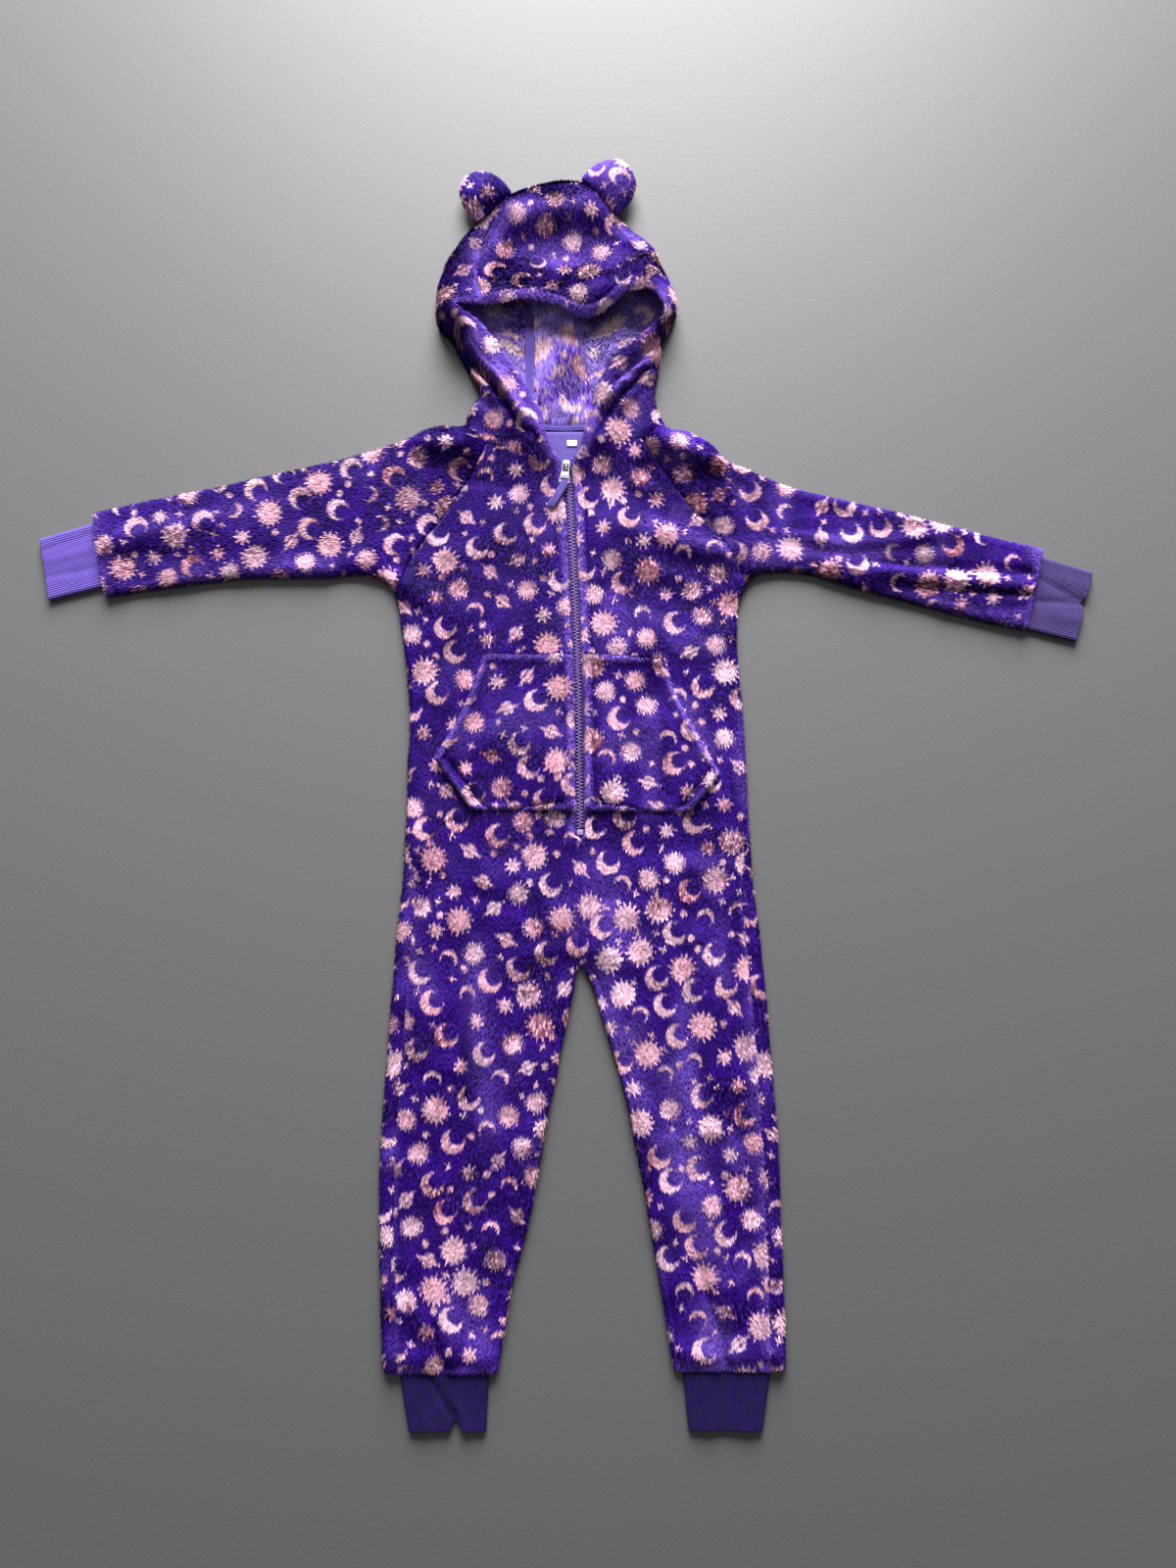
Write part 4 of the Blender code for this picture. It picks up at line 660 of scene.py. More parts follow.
def celestial_print():
    """Node group: how much of a sun, moon, star or planet shows at a place on the flat cloth.

    Each cell of a loose grid holds one of six motifs, turned by chance. Dots and sparkles of a
    second grid stand where the first has room. Lengths are in millimetres, and every motif is a
    distance that is below 0 inside its outline.
    """
    tree, node, given = new_tree("celestial_print", "ShaderNodeTree", {"Place": "Vector"},
                                 {"Motif": "Float", "Chance": "Float"})
    place = node("VectorMath.SCALE", {0: given[0], 3: 1 / MM})[0]
    place = node("VectorRotate", {"Vector": place, "Angle": PRINT_TURN}, rotation_type="Z_AXIS")[0]

    def offset_from(at, x, y):
        return node("VectorMath.LENGTH", node("VectorMath.SUBTRACT", at, (x, y, 0))[0])[1]

    def rayed(distance, angle, core, ray, count, sharp):
        turned = node("MULTIPLY", angle, count / (2 * math.pi))[0]
        wave = node("MULTIPLY", node("PINGPONG", turned, 0.5)[0], 2.0)[0]
        teeth = node("POWER", wave, sharp)[0]
        return node("SUBTRACT", distance, node("MULTIPLY_ADD", teeth, ray, core)[0])[0]

    def crescent(disc, bite, x, y):
        outside = node("SUBTRACT", distance, disc)[0]
        return node("MAXIMUM", outside, node("SUBTRACT", bite, offset_from(local, x, y))[0])[0]

    grid = {"Scale": 1 / CELL, "Randomness": CELL_LOOSE}
    main = node("TexVoronoi", {"Vector": place, **grid}, voronoi_dimensions="2D")
    local = node("VectorMath.SUBTRACT", place, main["Position"])[0]
    chance = node("SeparateColor", main["Color"])
    angle = node("MULTIPLY_ADD", chance[1], 0.7, -PRINT_TURN - 0.35)[0]
    local = node("VectorRotate", {"Vector": local, "Angle": angle}, rotation_type="Z_AXIS")[0]
    x, y, _ = node("SeparateXYZ", local)
    distance = offset_from(local, 0, 0)
    turn = node("ARCTAN2", y, x)[0]
    sun = rayed(distance, turn, 9.6, 5.2, 15, 2.4)
    burst = node("MULTIPLY", rayed(distance, turn, 6.0, 4.8, 18, 1.0), 0.5)[0]
    star = rayed(distance, turn, 3.6, 5.0, 8, 1.6)
    moon, thin_moon = crescent(10.4, 7.3, 3.6, -3.4), crescent(7.6, 6.6, -0.6, 3.2)
    # A planet's ring is tilted one way or the other, and a groove parts it from the ball
    x = node("MULTIPLY", x, node("SIGN", node("SUBTRACT", chance[2], 0.5)[0])[0])[0]
    tilted = node("ADD", node("MULTIPLY", x, 0.55)[0], node("MULTIPLY", y, 0.84)[0])[0]
    far = node("SUBTRACT", node("MULTIPLY", x, 0.84)[0], node("MULTIPLY", y, 0.55)[0])[0]
    ring_half = node("MULTIPLY_ADD", node("MULTIPLY", far, far)[0], -2.0 / 11.5**2, 2.0)[0]
    tilted = node("ABSOLUTE", tilted)[0]
    ring = node("SUBTRACT", tilted, ring_half)[0]
    planet = node("MINIMUM", node("SUBTRACT", distance, 6.0)[0], ring)[0]
    groove = node("ABSOLUTE", node("SUBTRACT", tilted, 2.5)[0])[0]
    planet = node("MAXIMUM", planet, node("SUBTRACT", 0.42, groove)[0])[0]
    field = sun
    for limit, kind in zip(PICKS, (burst, moon, planet, star, thin_moon)):
        chosen = node("GREATER_THAN", chance[0], limit)[0]
        field = node("Mix", {0: chosen, 2: field, 3: kind}, data_type="FLOAT")[0]

    # Dots and four-pointed sparkles, only where the nearest main motif is far enough away
    shifted = node("VectorMath.ADD", place, SMALL_SHIFT)[0]
    small = node("TexVoronoi", {"Vector": shifted, "Scale": 1 / SMALL_CELL, "Randomness": 0.5},
                 voronoi_dimensions="2D")
    at_small = node("VectorMath.SUBTRACT", small["Position"], SMALL_SHIFT)[0]
    nearest = node("TexVoronoi", {"Vector": at_small, **grid}, voronoi_dimensions="2D")["Position"]
    clear = offset_from(node("VectorMath.SUBTRACT", at_small, nearest)[0], 0, 0)
    local = node("VectorMath.SUBTRACT", shifted, small["Position"])[0]
    x, y, _ = node("SeparateXYZ", local)
    distance = offset_from(local, 0, 0)
    dot = node("SUBTRACT", distance, 3.0)[0]
    sparkle = rayed(distance, node("ARCTAN2", y, x)[0], 1.1, 3.2, 4, 2.2)
    pick = node("GREATER_THAN", node("SeparateColor", small["Color"])[0], 0.4)[0]
    small_field = node("Mix", {0: pick, 2: dot, 3: sparkle}, data_type="FLOAT")[0]
    crowded = node("LESS_THAN", clear, 14.2)[0]
    field = node("MINIMUM", field, node("MULTIPLY_ADD", crowded, 50.0, small_field)[0])[0]

    # The pile blurs each outline
    blur = node("TexNoise", {"Vector": place, "Scale": 0.62, "Detail": 2}, noise_dimensions="2D")[0]
    blur = node("SUBTRACT", blur, 0.5)[0]
    field = node("MULTIPLY_ADD", blur, 2.2 * FUZZ, field)[0]
    motif = node("MapRange", field, 0.75, -0.85, 0.0, 1.0, interpolation_type="SMOOTHSTEP")[0]
    node("NodeGroupOutput", motif, chance[2])
    return tree


CELESTIAL = celestial_print()


def print_colour(node, ground, deep, motif, motif_deep):
    """Printed colour at the place that the flat map gives, and how much of it is a motif's."""
    place = node("UVMap", uv_map="flat")[0]
    shows, chance = node("Group", place, node_tree=CELESTIAL)
    uneven = node("TexNoise", {"Vector": place, "Scale": 38, "Detail": 3}, noise_dimensions="2D")[0]
    ground = node("Mix", {0: uneven, 6: linear(deep), 7: linear(ground)}, data_type="RGBA")[2]
    motif = node("Mix", {0: chance, 6: linear(motif_deep), 7: linear(motif)}, data_type="RGBA")[2]
    return node("Mix", {0: shows, 6: ground, 7: motif}, data_type="RGBA")[2], shows


# The knit under the pile: what shows between the tufts is darker, as light is lost there
fleece, node, surface = new_material("coral fleece ground")
colour, motif = print_colour(node, *FLEECE_COLOURS)
dark = node("MapRange", {0: motif, 3: 0.34, 4: 0.7})[0]
colour = node("HueSaturation", {"Color": colour, "Value": dark})[0]
place = node("UVMap", uv_map="flat")[0]
tufts = node("TexNoise", {"Vector": place, "Scale": 700, "Detail": 2})[0]
bump = node("Bump", {"Height": tufts, "Strength": 0.6, "Distance": 1.2 * MM})[0]
surface({"Base Color": colour, "Roughness": 0.95, "Specular IOR Level": 0.1, "Sheen Weight": 0.1,
         "Sheen Tint": linear(SHEEN_HEX), "Normal": bump})


def pile_material(name, colours, root_shade, open_shade, tip_hex, worn_hex, sheen):
    """Cut pile: darker at its roots and paler at its tips, which are painted shade deep in the pile and
    painted sheen on the tips. It is hazy where it is brushed up or worn, and where highlight is painted.

    Where the nap lies open, over patches of 20 to 60 mm, the dark roots show between pale streaks. It
    also opens on slopes that face the feet, away from the window, which is painted shade.
    """
    made, node, surface = new_material(name)
    colour, motif = print_colour(node, *colours)
    place = node("UVMap", uv_map="flat")[0]
    root_normal = node("Attribute", attribute_name="root_normal")["Vector"]
    worn, tip, shade = [
        node("Attribute", attribute_name=label)["Fac"] for label in ("worn", "tip", "shade")
    ]
    lengthways = node("VectorMath.MULTIPLY", place, (1, 0.4, 1))[0]
    # Open patches, strokes of the hand, clumps of tufts and fine streaks
    patch, stroke, clump, streak = [
        node("TexNoise", {"Vector": at, "Scale": scale, "Detail": detail, "Distortion": bend},
             noise_dimensions="2D")[0]
        for at, scale, detail, bend in (
            (place, 15, 3, 0.9), (place, 31, 2, 0.6), (place, 240, 1, 0), (lengthways, 480, 2, 0),
        )
    ]
    # Slopes that face the feet, away from the window, open the nap and so darken it: painted shade. The
    # attribute of wear and painted light closes the nap where it is above 0 and opens it below 0
    sloped = node("MULTIPLY", node("SeparateXYZ", root_normal)[1], -0.28)[0]
    sloped = node("ADD", sloped, node("MULTIPLY", worn, -0.17)[0])[0]
    opened = node("MapRange", node("ADD", patch, sloped)[0], 0.51, 0.64, 0.0, 1.0)[0]
    # Value: root to tip with painted shade at the root, by tuft, by stroke of the hand and by clump
    root = node("MULTIPLY_ADD", motif, 0.82 - root_shade, root_shade)[0]
    value = node("MULTIPLY", tip, node("SUBTRACT", 1.1, root)[0])[0]
    value = node("ADD", root, value)[0]
    for share, *spread_over in (
        (shade, 0.0, 1.0, 0.56, 1.24), (stroke, 0.36, 0.62, 1.22, 0.74), (clump, 0.38, 0.62, 0.80, 1.16),
    ):
        value = node("MULTIPLY", value, node("MapRange", share, *spread_over)[0])[0]
    frost = node("MapRange", streak, 0.46, 0.62, 0.0, 1.0)[0]
    darker = node("SUBTRACT", node("MapRange", frost, 0.0, 1.0, open_shade, 1.0)[0], 1.0)[0]
    darker = node("ADD", 1.0, node("MULTIPLY", opened, darker)[0])[0]
    value = node("MULTIPLY", value, darker)[0]
    deeper = node("MULTIPLY", opened, node("SUBTRACT", 1.0, frost)[0])[0]
    deeper = node("MULTIPLY_ADD", deeper, 0.5, 1.0)[0]
    colour = node("HueSaturation", {"Color": colour, "Value": value, "Saturation": deeper})[0]
    # Pale tips, painted sheen, where the nap lies open; paler haze by wear and painted highlight
    pale = node("MULTIPLY", node("MULTIPLY", opened, frost)[0], 0.34)[0]
    pale = node("MULTIPLY", node("ADD", pale, 0.07)[0], tip)[0]
    pale = node("MULTIPLY", pale, node("SUBTRACT", 1.0, motif)[0])[0]
    colour = node("Mix", {0: pale, 6: colour, 7: linear(tip_hex)}, data_type="RGBA")[2]
    haze = node("MapRange", streak, 0.35, 0.6, 0.45, 1.0)[0]
    haze = node("MULTIPLY", node("MAXIMUM", worn, 0.0)[0], haze)[0]
    plain = node("SUBTRACT", 1.0, node("MULTIPLY", motif, 0.8)[0])[0]
    haze = node("MULTIPLY", node("MULTIPLY", haze, 0.62)[0], plain)[0]
    colour = node("Mix", {0: haze, 6: colour, 7: linear(worn_hex)}, data_type="RGBA")[2]
    tuft = node("VectorMath.SCALE", {0: node("NewGeometry")["Normal"], 3: 0.55})[0]
    tuft = node("VectorMath.NORMALIZE", node("VectorMath.ADD", root_normal, tuft)[0])[0]
    surface({"Base Color": colour, "Normal": tuft, "Roughness": 0.5, "Specular IOR Level": 0.05,
             "Sheen Weight": sheen, "Sheen Roughness": 0.35, "Sheen Tint": linear("A080F8")})
    return made


# The roots are painted darker, as shade in the pile, and the haze paler, as wear and highlight
fleece_pile = pile_material("coral fleece pile", FLEECE_COLOURS, 0.25, 0.20, "7048DC", "8C66E0", 0.06)


def turn_to(node, run, up):
    """A turn that brings X along one direction and Z as near as it can to another."""
    turned = node("FunctionNodeAlignRotationToVector", {"Vector": run}, axis="X")[0]
    return node("FunctionNodeAlignRotationToVector", {"Rotation": turned, "Vector": up}, axis="Z",
                pivot_axis="X")[0]


def made_real(node, given, instances, kept=None):
    """Ends a Geometry Nodes tree: real faces with their material."""
    made = node("GeometryNodeRealizeInstances", instances)[0]
    if kept:
        made = node("GeometryNodeSetPosition", {"Geometry": made, "Position": kept})[0]
    made = node("GeometryNodeSetMaterial", {"Geometry": made, "Material": given["Material"]})[0]
    node("NodeGroupOutput", made)


FLOOR_GAP = 0.1 * MM


def pile_tree():
    """Geometry Nodes: one-sided tufts over a mesh, leaning with its nap, thicker where it says."""
    numbers = dict.fromkeys(("Tufts per m2", "Length", "Width", "Stand", "Brushed"), "Float")
    inputs = {"Geometry": "Geometry", **numbers, "Seed": "Int", "Material": "Material"}
    tree, node, given = new_tree("cut_pile", "GeometryNodeTree", inputs, {"Geometry": "Geometry"})
    cover = node("GeometryNodeInputNamedAttribute", {"Name": "cover"}, data_type="FLOAT")[0]
    density = node("MULTIPLY", given["Tufts per m2"], cover)[0]
    spots = node("GeometryNodeDistributePointsOnFaces",
                 {"Mesh": given["Geometry"], "Density": density, "Seed": given["Seed"]})
    normal = spots["Normal"]
    shade = node("FunctionNodeRandomValue", data_type="FLOAT")[1]
    spots = spots[0]
    for label, value, kind in (("root_normal", normal, "FLOAT_VECTOR"), ("shade", shade, "FLOAT")):
        spots = node("GeometryNodeStoreNamedAttribute",
                     {"Geometry": spots, "Name": label, "Value": value}, data_type=kind)[0]

    # Lean of each tuft: the cloth's nap, brushed one way or another over patches, and chance
    nap = node("GeometryNodeInputNamedAttribute", {"Name": "nap"}, data_type="FLOAT_VECTOR")[0]
    where = node("GeometryNodeInputPosition")[0]
    patch = node("TexNoise", {"Vector": where, "Scale": 24, "Detail": 2})[1]
    patch = node("VectorMath.SUBTRACT", patch, (0.5, 0.5, 0.5))[0]
    patch = node("VectorMath.SCALE", {0: patch, 3: given["Brushed"]})[0]
    chance = node("FunctionNodeRandomValue",
                  {0: (-0.32, -0.32, -0.32), 1: (0.32, 0.32, 0.32), 7: 5, "Seed": given["Seed"]},
                  data_type="FLOAT_VECTOR")[0]
    lean = node("VectorMath.SCALE", {0: normal, 3: given["Stand"]})[0]
    for part in (nap, patch, chance):
        lean = node("VectorMath.ADD", lean, part)[0]
    roll = node("FunctionNodeRandomValue", {2: -0.75, 3: 0.75}, data_type="FLOAT")[1]
    roll = node("FunctionNodeAxisAngleToRotation", {"Axis": (1, 0, 0), "Angle": roll})[0]
    turned = turn_to(node, lean, normal)
    turned = node("FunctionNodeRotateRotation", turned, roll, rotation_space="LOCAL")[0]

    # A tuft is one triangle, from its root at 0 to its tip along X
    tuft = node("GeometryNodeMeshCircle", {"Vertices": 3, "Radius": 2 / 3}, fill_type="NGON")[0]
    tuft = node("GeometryNodeTransform", {"Geometry": tuft, "Translation": (1 / 3, 0, 0)})[0]
    reach = node("SeparateXYZ", node("GeometryNodeInputPosition")[0])[0]
    tuft = node("GeometryNodeStoreNamedAttribute", {"Geometry": tuft, "Name": "tip", "Value": reach},
                data_type="FLOAT")[0]
    vary = node("FunctionNodeRandomValue", {2: 0.65, 3: 1.3}, data_type="FLOAT")[1]
    long = node("MULTIPLY", given["Length"], vary)[0]
    size = node("CombineXYZ", long, given["Width"], 1.0)[0]
    made = node("GeometryNodeInstanceOnPoints",
                {"Points": spots, "Instance": tuft, "Rotation": turned, "Scale": size})[0]

    # Nothing reaches into the floor
    x, y, z = node("SeparateXYZ", node("GeometryNodeInputPosition")[0])
    z = node("MAXIMUM", z, FLOOR_GAP)[0]
    made_real(node, given, made, node("CombineXYZ", x, y, z)[0])
    return tree


def evaluated(thing):
    """The thing's mesh after its modifiers."""
    bpy.context.view_layer.update()
    return bpy.data.meshes.new_from_object(thing.evaluated_get(bpy.context.evaluated_depsgraph_get()))


def plain_result(thing, tree, inputs, name):
    """The thing's mesh after the tree ran on it, as a new object with no modifier."""
    run = thing.modifiers.new("nodes", "NODES")
    run.node_group = tree
    for socket in tree.interface.items_tree:
        if socket.in_out == "INPUT" and socket.name in inputs:
            run[socket.identifier] = inputs[socket.name]
    made = evaluated(thing)
    thing.modifiers.remove(run)
    made.name = name
    return new_thing(name, made)


PILE = pile_tree()
TUFT_LONG, TUFT_WIDE = 3.4 * MM, 1.15 * MM
BAKE_TUFT = np.array(((0.0, 0.35), (1.0, 0.0), (0.0, -0.35)))   # a tuft on the bake's map, mm


def raise_pile(name, points, faces, flat, nap, cover, tufts, finish, seed, worn=0.0, long=TUFT_LONG,
               wide=TUFT_WIDE, stand=0.55, brushed=1.5):
    """Tufts over faces, as a piece of its own. flat, nap, cover and the wear with painted light go with
    the points.
    """
    worn = np.broadcast_to(np.ravel(worn), len(points))
    base = new_object(name + "_base", points, faces, finish, [("flat", flat[faces.ravel()] * MM)])
    for label, kind, key, values in (
        ("nap", "FLOAT_VECTOR", "vector", nap), ("cover", "FLOAT", "value", cover),
        ("worn", "FLOAT", "value", worn),
    ):
        held = base.data.attributes.new(label, kind, "POINT")
        held.data.foreach_set(key, np.asarray(values, np.float32).ravel())
    cover = np.asarray(cover).ravel()[faces[:, 0]]
    covered = sum(face.area * share for face, share in zip(base.data.polygons, cover.tolist()))
    piece = plain_result(base, PILE, {
        "Tufts per m2": tufts / covered, "Length": long, "Width": wide, "Stand": stand,
        "Brushed": brushed, "Seed": seed, "Material": finish,
    }, name)
    bpy.data.objects.remove(base)
    mesh = piece.data
    held = mesh.attributes["flat"]
    wide_as = 3 if held.data_type == "FLOAT_VECTOR" else 2
    root = np.empty(len(held.data) * wide_as, np.float32)
    held.data.foreach_get("vector", root)
    root = root.reshape(-1, wide_as)[:, :2]
    number = np.empty(len(mesh.loops), np.int32)
    mesh.loops.foreach_get("vertex_index", number)
    if held.domain == "POINT":
        root = root[number]
    for label in ("flat", "nap", "cover"):
        if label in mesh.attributes:
            mesh.attributes.remove(mesh.attributes[label])
    low, span = flat.min(0) * MM, np.ptp(flat, axis=0) * MM
    small = np.tile(BAKE_TUFT, (len(root) // 3, 1)) * MM / span
    for label, pairs in (("flat", root), ("OFBake", ((root - low) / span + small) * 0.98 + 0.01)):
        layer = mesh.uv_layers.new(name=label)
        layer.uv.foreach_set("vector", pairs.astype(np.float32).ravel())
    mesh.materials.clear()
    mesh.materials.append(finish)
    return piece


def pile_on(part, name, tufts, seed, cover, nap, finish=None, inside=False, **more):
    """Tufts on the outer or the inner face of a cloth wall."""
    points, other = [part[face] for face in (("inner", "outer") if inside else ("outer", "inner"))]
    faces = shell_faces(*points.shape[:2])[0]
    if face_in(points, other, faces):
        faces = faces[:, ::-1]
    flat = np.stack([part["u"], part["v"]], -1).reshape(-1, 2)
    return raise_pile(name, points.reshape(-1, 3), faces, flat, nap, cover, tufts, finish or fleece_pile,
                      seed, **more)


# Strokes in the nap: a line, how it lies and the half width. Below 0 it lies open and darker, above
# 0 it is brushed up and paler. Along the troughs and grooves the strokes are painted shade as well as
# nap, and along the ridges, the hem rolls and the crown's edge painted highlight as well as nap
NAP_AND_PAINTED_LIGHT = (
    (-93, 390, -67, 357, -1.5, 2.6), (-67, 357, -27, 309, -1.5, 2.4), (88, 386, 55, 356, -1.4, 2.6),
    (55, 356, 31, 318, -1.4, 2.4), (-86, 400, -61, 367, 1.5, 8), (-61, 367, -35, 324, 1.5, 7),
    (82, 392, 57, 368, 1.4, 8), (57, 368, 30, 325, 1.3, 6), (-104, 376, -64, 332, 0.8, 6),
    (92, 366, 58, 326, 0.7, 6), (-81, 492, -54, 528, 1.0, 8), (-54, 530, 12, 545, 1.0, 9),
    (-40, 500, 6, 482, 0.5, 12), (14, 512, 44, 490, 0.5, 12), (57, 196, 160, 173, -1.5, 12),
    (85, 169, 155, 126, -1.3, 10), (39, 285, 134, 252, -1.4, 10), (-137, 292, -65, 277, -1.5, 8),
    (-69, 206, -19, 187, -1.2, 9), (-145, 171, -95, 141, -1.3, 9), (-104, 119, -15, 114, -0.9, 7),
    (79, 105, 145, 72, -1.3, 11), (-247, 258, -213, 223, -1.5, 8), (-424, 199, -382, 183, -1.2, 7),
    (-173, 257, -150, 229, -1.0, 7), (227, 184, 420, 164, -1.2, 7), (-102, -378, -46, -439, -1.2, 12),
    (-146, -282, -94, -291, -0.9, 8), (-130, -475, -108, -513, -1.3, 9),
    (105, -439, 159, -475, -1.0, 8), (23, -46, 152, -70, -0.7, 11), (-68, 484, -50, 508, -1.5, 6),
    (-50, 508, -8, 522, -1.3, 6), (-68, 484, -71, 458, -1.2, 5), (18, 522, 60, 493, -0.8, 6),
    (98, -265, 134, -503, 0.65, 15), (30, -194, 65, -291, 0.55, 15), (-83, -176, -64, -316, 0.55, 11),
    (-108, -459, -69, -497, 0.5, 13), (-145, -155, -117, -202, 0.4, 10), (168, -198, 180, -503, 0.5, 9),
    (75, 230, 148, 205, 0.55, 9), (70, 148, 142, 114, 0.5, 8), (-382, 171, -221, 186, 0.5, 10),
    (-410, 219, -250, 255, 0.35, 7), (174, 207, 295, 201, 0.55, 11), (289, 159, 413, 139, 0.5, 9),
    (23, -86, 56, -159, 0.45, 14), (-16, 495, 58, 473, 0.35, 9), (101, 82, 129, 15, 0.6, 9),
    (-94, 36, -14, 50, 0.35, 12),
)


def nap_and_painted_light(points):
    """How the nap lies at each point of a grid, painted light included, from the table and a slow
    unevenness.
    """
    plan = points[..., :2].reshape(-1, 2)
    strokes = [((x0, y0, lie, wide), (x1, y1, lie)) for x0, y0, x1, y1, lie, wide in NAP_AND_PAINTED_LIGHT]
    uneven = np.array([noise.noise((x / 30, y / 52, 11.0)) for x, y in plan])
    brushed = np.interp(plan[:, 0], (-50, 60), (0.15, 0.45)) * eased((uneven - 0.05) / 0.35)
    return (height(plan, strokes, 0) + brushed).reshape(points.shape[:2])


def nap_down(points):
    """Unit direction along each column of a grid: the way that the nap is stroked."""
    run = np.gradient(points, axis=0)
    return run / np.maximum(np.linalg.norm(run, axis=2, keepdims=True), 1e-9)


def belongs(piece, slot, *nodes, body="garment"):
    """Hides the solids that a piece takes the place of and attaches it to the body it moves with. The
    slot is not used.
    """
    if nodes:
        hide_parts(*nodes)
    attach(piece, body)


def finish_cloth(part, slot, nodes, others=()):
    """Hides the solids that a cloth piece takes the place of, and attaches it and the pieces on it to the
    garment.
    """
    thing = part["thing"]
    belongs(thing, slot, *nodes)
    for piece in others:
        belongs(piece, slot)


BACK_TUFTS = 30000
for seed, side in enumerate(WAY):
    raglan, neck = SEAM[side]["raglan_back"], SEAM[side]["neck_back"]
    back_line = smooth(CENTRE_BACK)
    neck = part_of(neck, share_near(neck, SEAMS[side]["raglan_back"][-1]), 0)
    neck = np.vstack([neck, [(x_at(back_line, BACK_NECK), BACK_NECK)]])
    plan, upper = [], []
    middle_at = lambda y: x_at(back_line, y) + WAY[side] * SEAM_GAP / 2
    for i, (outside, centre, kind) in enumerate(half_rows(side, raglan, BACK_NECK, middle_at)):
        length = np.linalg.norm(centre - outside)
        stop = float(rolled(SEAM_GAP / 2)[0]) if kind == "leg" else 0.0
        near, on_top = BACK_NEAR, np.zeros(len(BACK_NEAR), bool)
        if kind != "raglan":
            near, on_top = rolled(side_seam(outside[1]) + SIDE_GAP / 2 + BACK_NEAR)
        rest = near[-1] + spread(length - stop - near[-1], (0.0,), EDGE_NEAR, 12)[1:]
        across = np.concatenate([near, rest])
        row = on_line(outside, centre, across) if i else along(neck, across / length)
        plan.append(row)
        upper.append(np.concatenate([on_top, np.zeros(len(rest), bool)]))
    back = cloth(f"back_cloth_{side}", np.array(plan), np.array(upper), fleece,
                 cut_upright(side, -1, 31.0))
    outer = back["outer"]
    cover = np.clip(outer[..., 2] / 2.5, 0.22, 1)
    # The nap table, mirrored, brings its painted shade and highlight
    pile = pile_on(back, f"back_pile_{side}", BACK_TUFTS, seed, cover, nap_down(outer),
                   worn=nap_and_painted_light(outer * (-1, 1, 1)))
    finish_cloth(back, "fleece", [f"back_{side}"], others=[pile])

# --- Front halves -----------------------------------------------------------------------------
# Two pieces from the neck seam to the ankles, parted by the zip down to just above the crotch. The
# edge beside the zip is turned under and topstitched 8 mm in. They lie on the backs.

ZIP = ((-0.5, 302), (0, 291), (2.7, 266), (6.5, 205), (9.3, 149), (12, 76), (13, 3.5), (13.9, -61.5))
CENTRE_FRONT = ((13.9, -61.5), (14, -120), (13.1, -176))
ZIP_HALF = 5.0                    # from the middle of the zip to the fleece beside it
ZIP_TOP, ZIP_END = 288, -62.25
ZIP_STITCH = 8.0
FRONT_TUFTS = 104000
FRONT_START = (0, 0.35, 0.9, 1.6, 2.6, 4, 6.5, 10)
FRONT_END = (0, 0.3, 0.9, 1.7, 2.8, 4.2, 5.8, 7.0, 8.0, 9.0, 10.4, 13)

thread, node, surface = new_material("polyester sewing thread")
twist = node("TexNoise", {"Vector": node("TexCoord")["Object"], "Scale": 2500, "Detail": 1})[0]
tone = node("Mix", {0: twist, 6: linear("5A44B4"), 7: linear("7A64D0")}, data_type="RGBA")[2]
surface({"Base Color": tone, "Roughness": 0.45})


def repeat_tree():
    """Geometry Nodes: a small shape at each point, its X along "run" and its Z along "up"."""
    tree, node, given = new_tree("repeat_at_points", "GeometryNodeTree",
                                 {"Geometry": "Geometry", "Shape": "Object", "Material": "Material"},
                                 {"Geometry": "Geometry"})
    shape = node("GeometryNodeObjectInfo", {"Object": given["Shape"]})["Geometry"]
    run, up = [node("GeometryNodeInputNamedAttribute", {"Name": name}, data_type="FLOAT_VECTOR")[0]
               for name in ("run", "up")]
    points = node("GeometryNodeMeshToPoints", {"Mesh": given["Geometry"]})[0]
    made_real(node, given, node("GeometryNodeInstanceOnPoints", {
        "Points": points, "Instance": shape, "Rotation": turn_to(node, run, up),
    })[0])
    return tree


REPEAT = repeat_tree()


def repeated(name, points, run, up, shape, finish):
    """The shape at each point, as one piece."""
    base = new_object(name + "_points", points, [], finish)
    for label, values in (("run", run), ("up", up)):
        held = base.data.attributes.new(label, "FLOAT_VECTOR", "POINT")
        held.data.foreach_set("vector", np.asarray(values, np.float32).ravel())
    piece = plain_result(base, REPEAT, {"Shape": shape, "Material": finish}, name)
    bpy.data.objects.remove(base)
    for label in ("run", "up"):
        if label in piece.data.attributes:
            piece.data.attributes.remove(piece.data.attributes[label])
    piece.data.materials.clear()
    piece.data.materials.append(finish)
    piece.data.shade_smooth()
    piece.data.set_sharp_from_angle(angle=math.radians(40))
    return piece


STITCH_PITCH, STITCH_LONG, THREAD_WIDE = 3.3, 2.7, 0.62


def ring_faces(rings, sides):
    """Faces of a closed shape: its two ends, then the sides from ring to ring."""
    faces = [tuple(range(sides))[::-1], tuple(range((rings - 1) * sides, rings * sides))]
    for i in range(0, (rings - 1) * sides, sides):
        for j, after in [(j, (j + 1) % sides) for j in range(sides)]:
            faces.append((i + j, i + after, i + sides + after, i + sides + j))
    return faces


def face_out(thing):
    """Turns all faces of a closed mesh outwards."""
    body = bmesh.new()
    body.from_mesh(thing.data)
    bmesh.ops.recalc_face_normals(body, faces=body.faces)
    body.to_mesh(thing.data)
    body.free()
    return thing


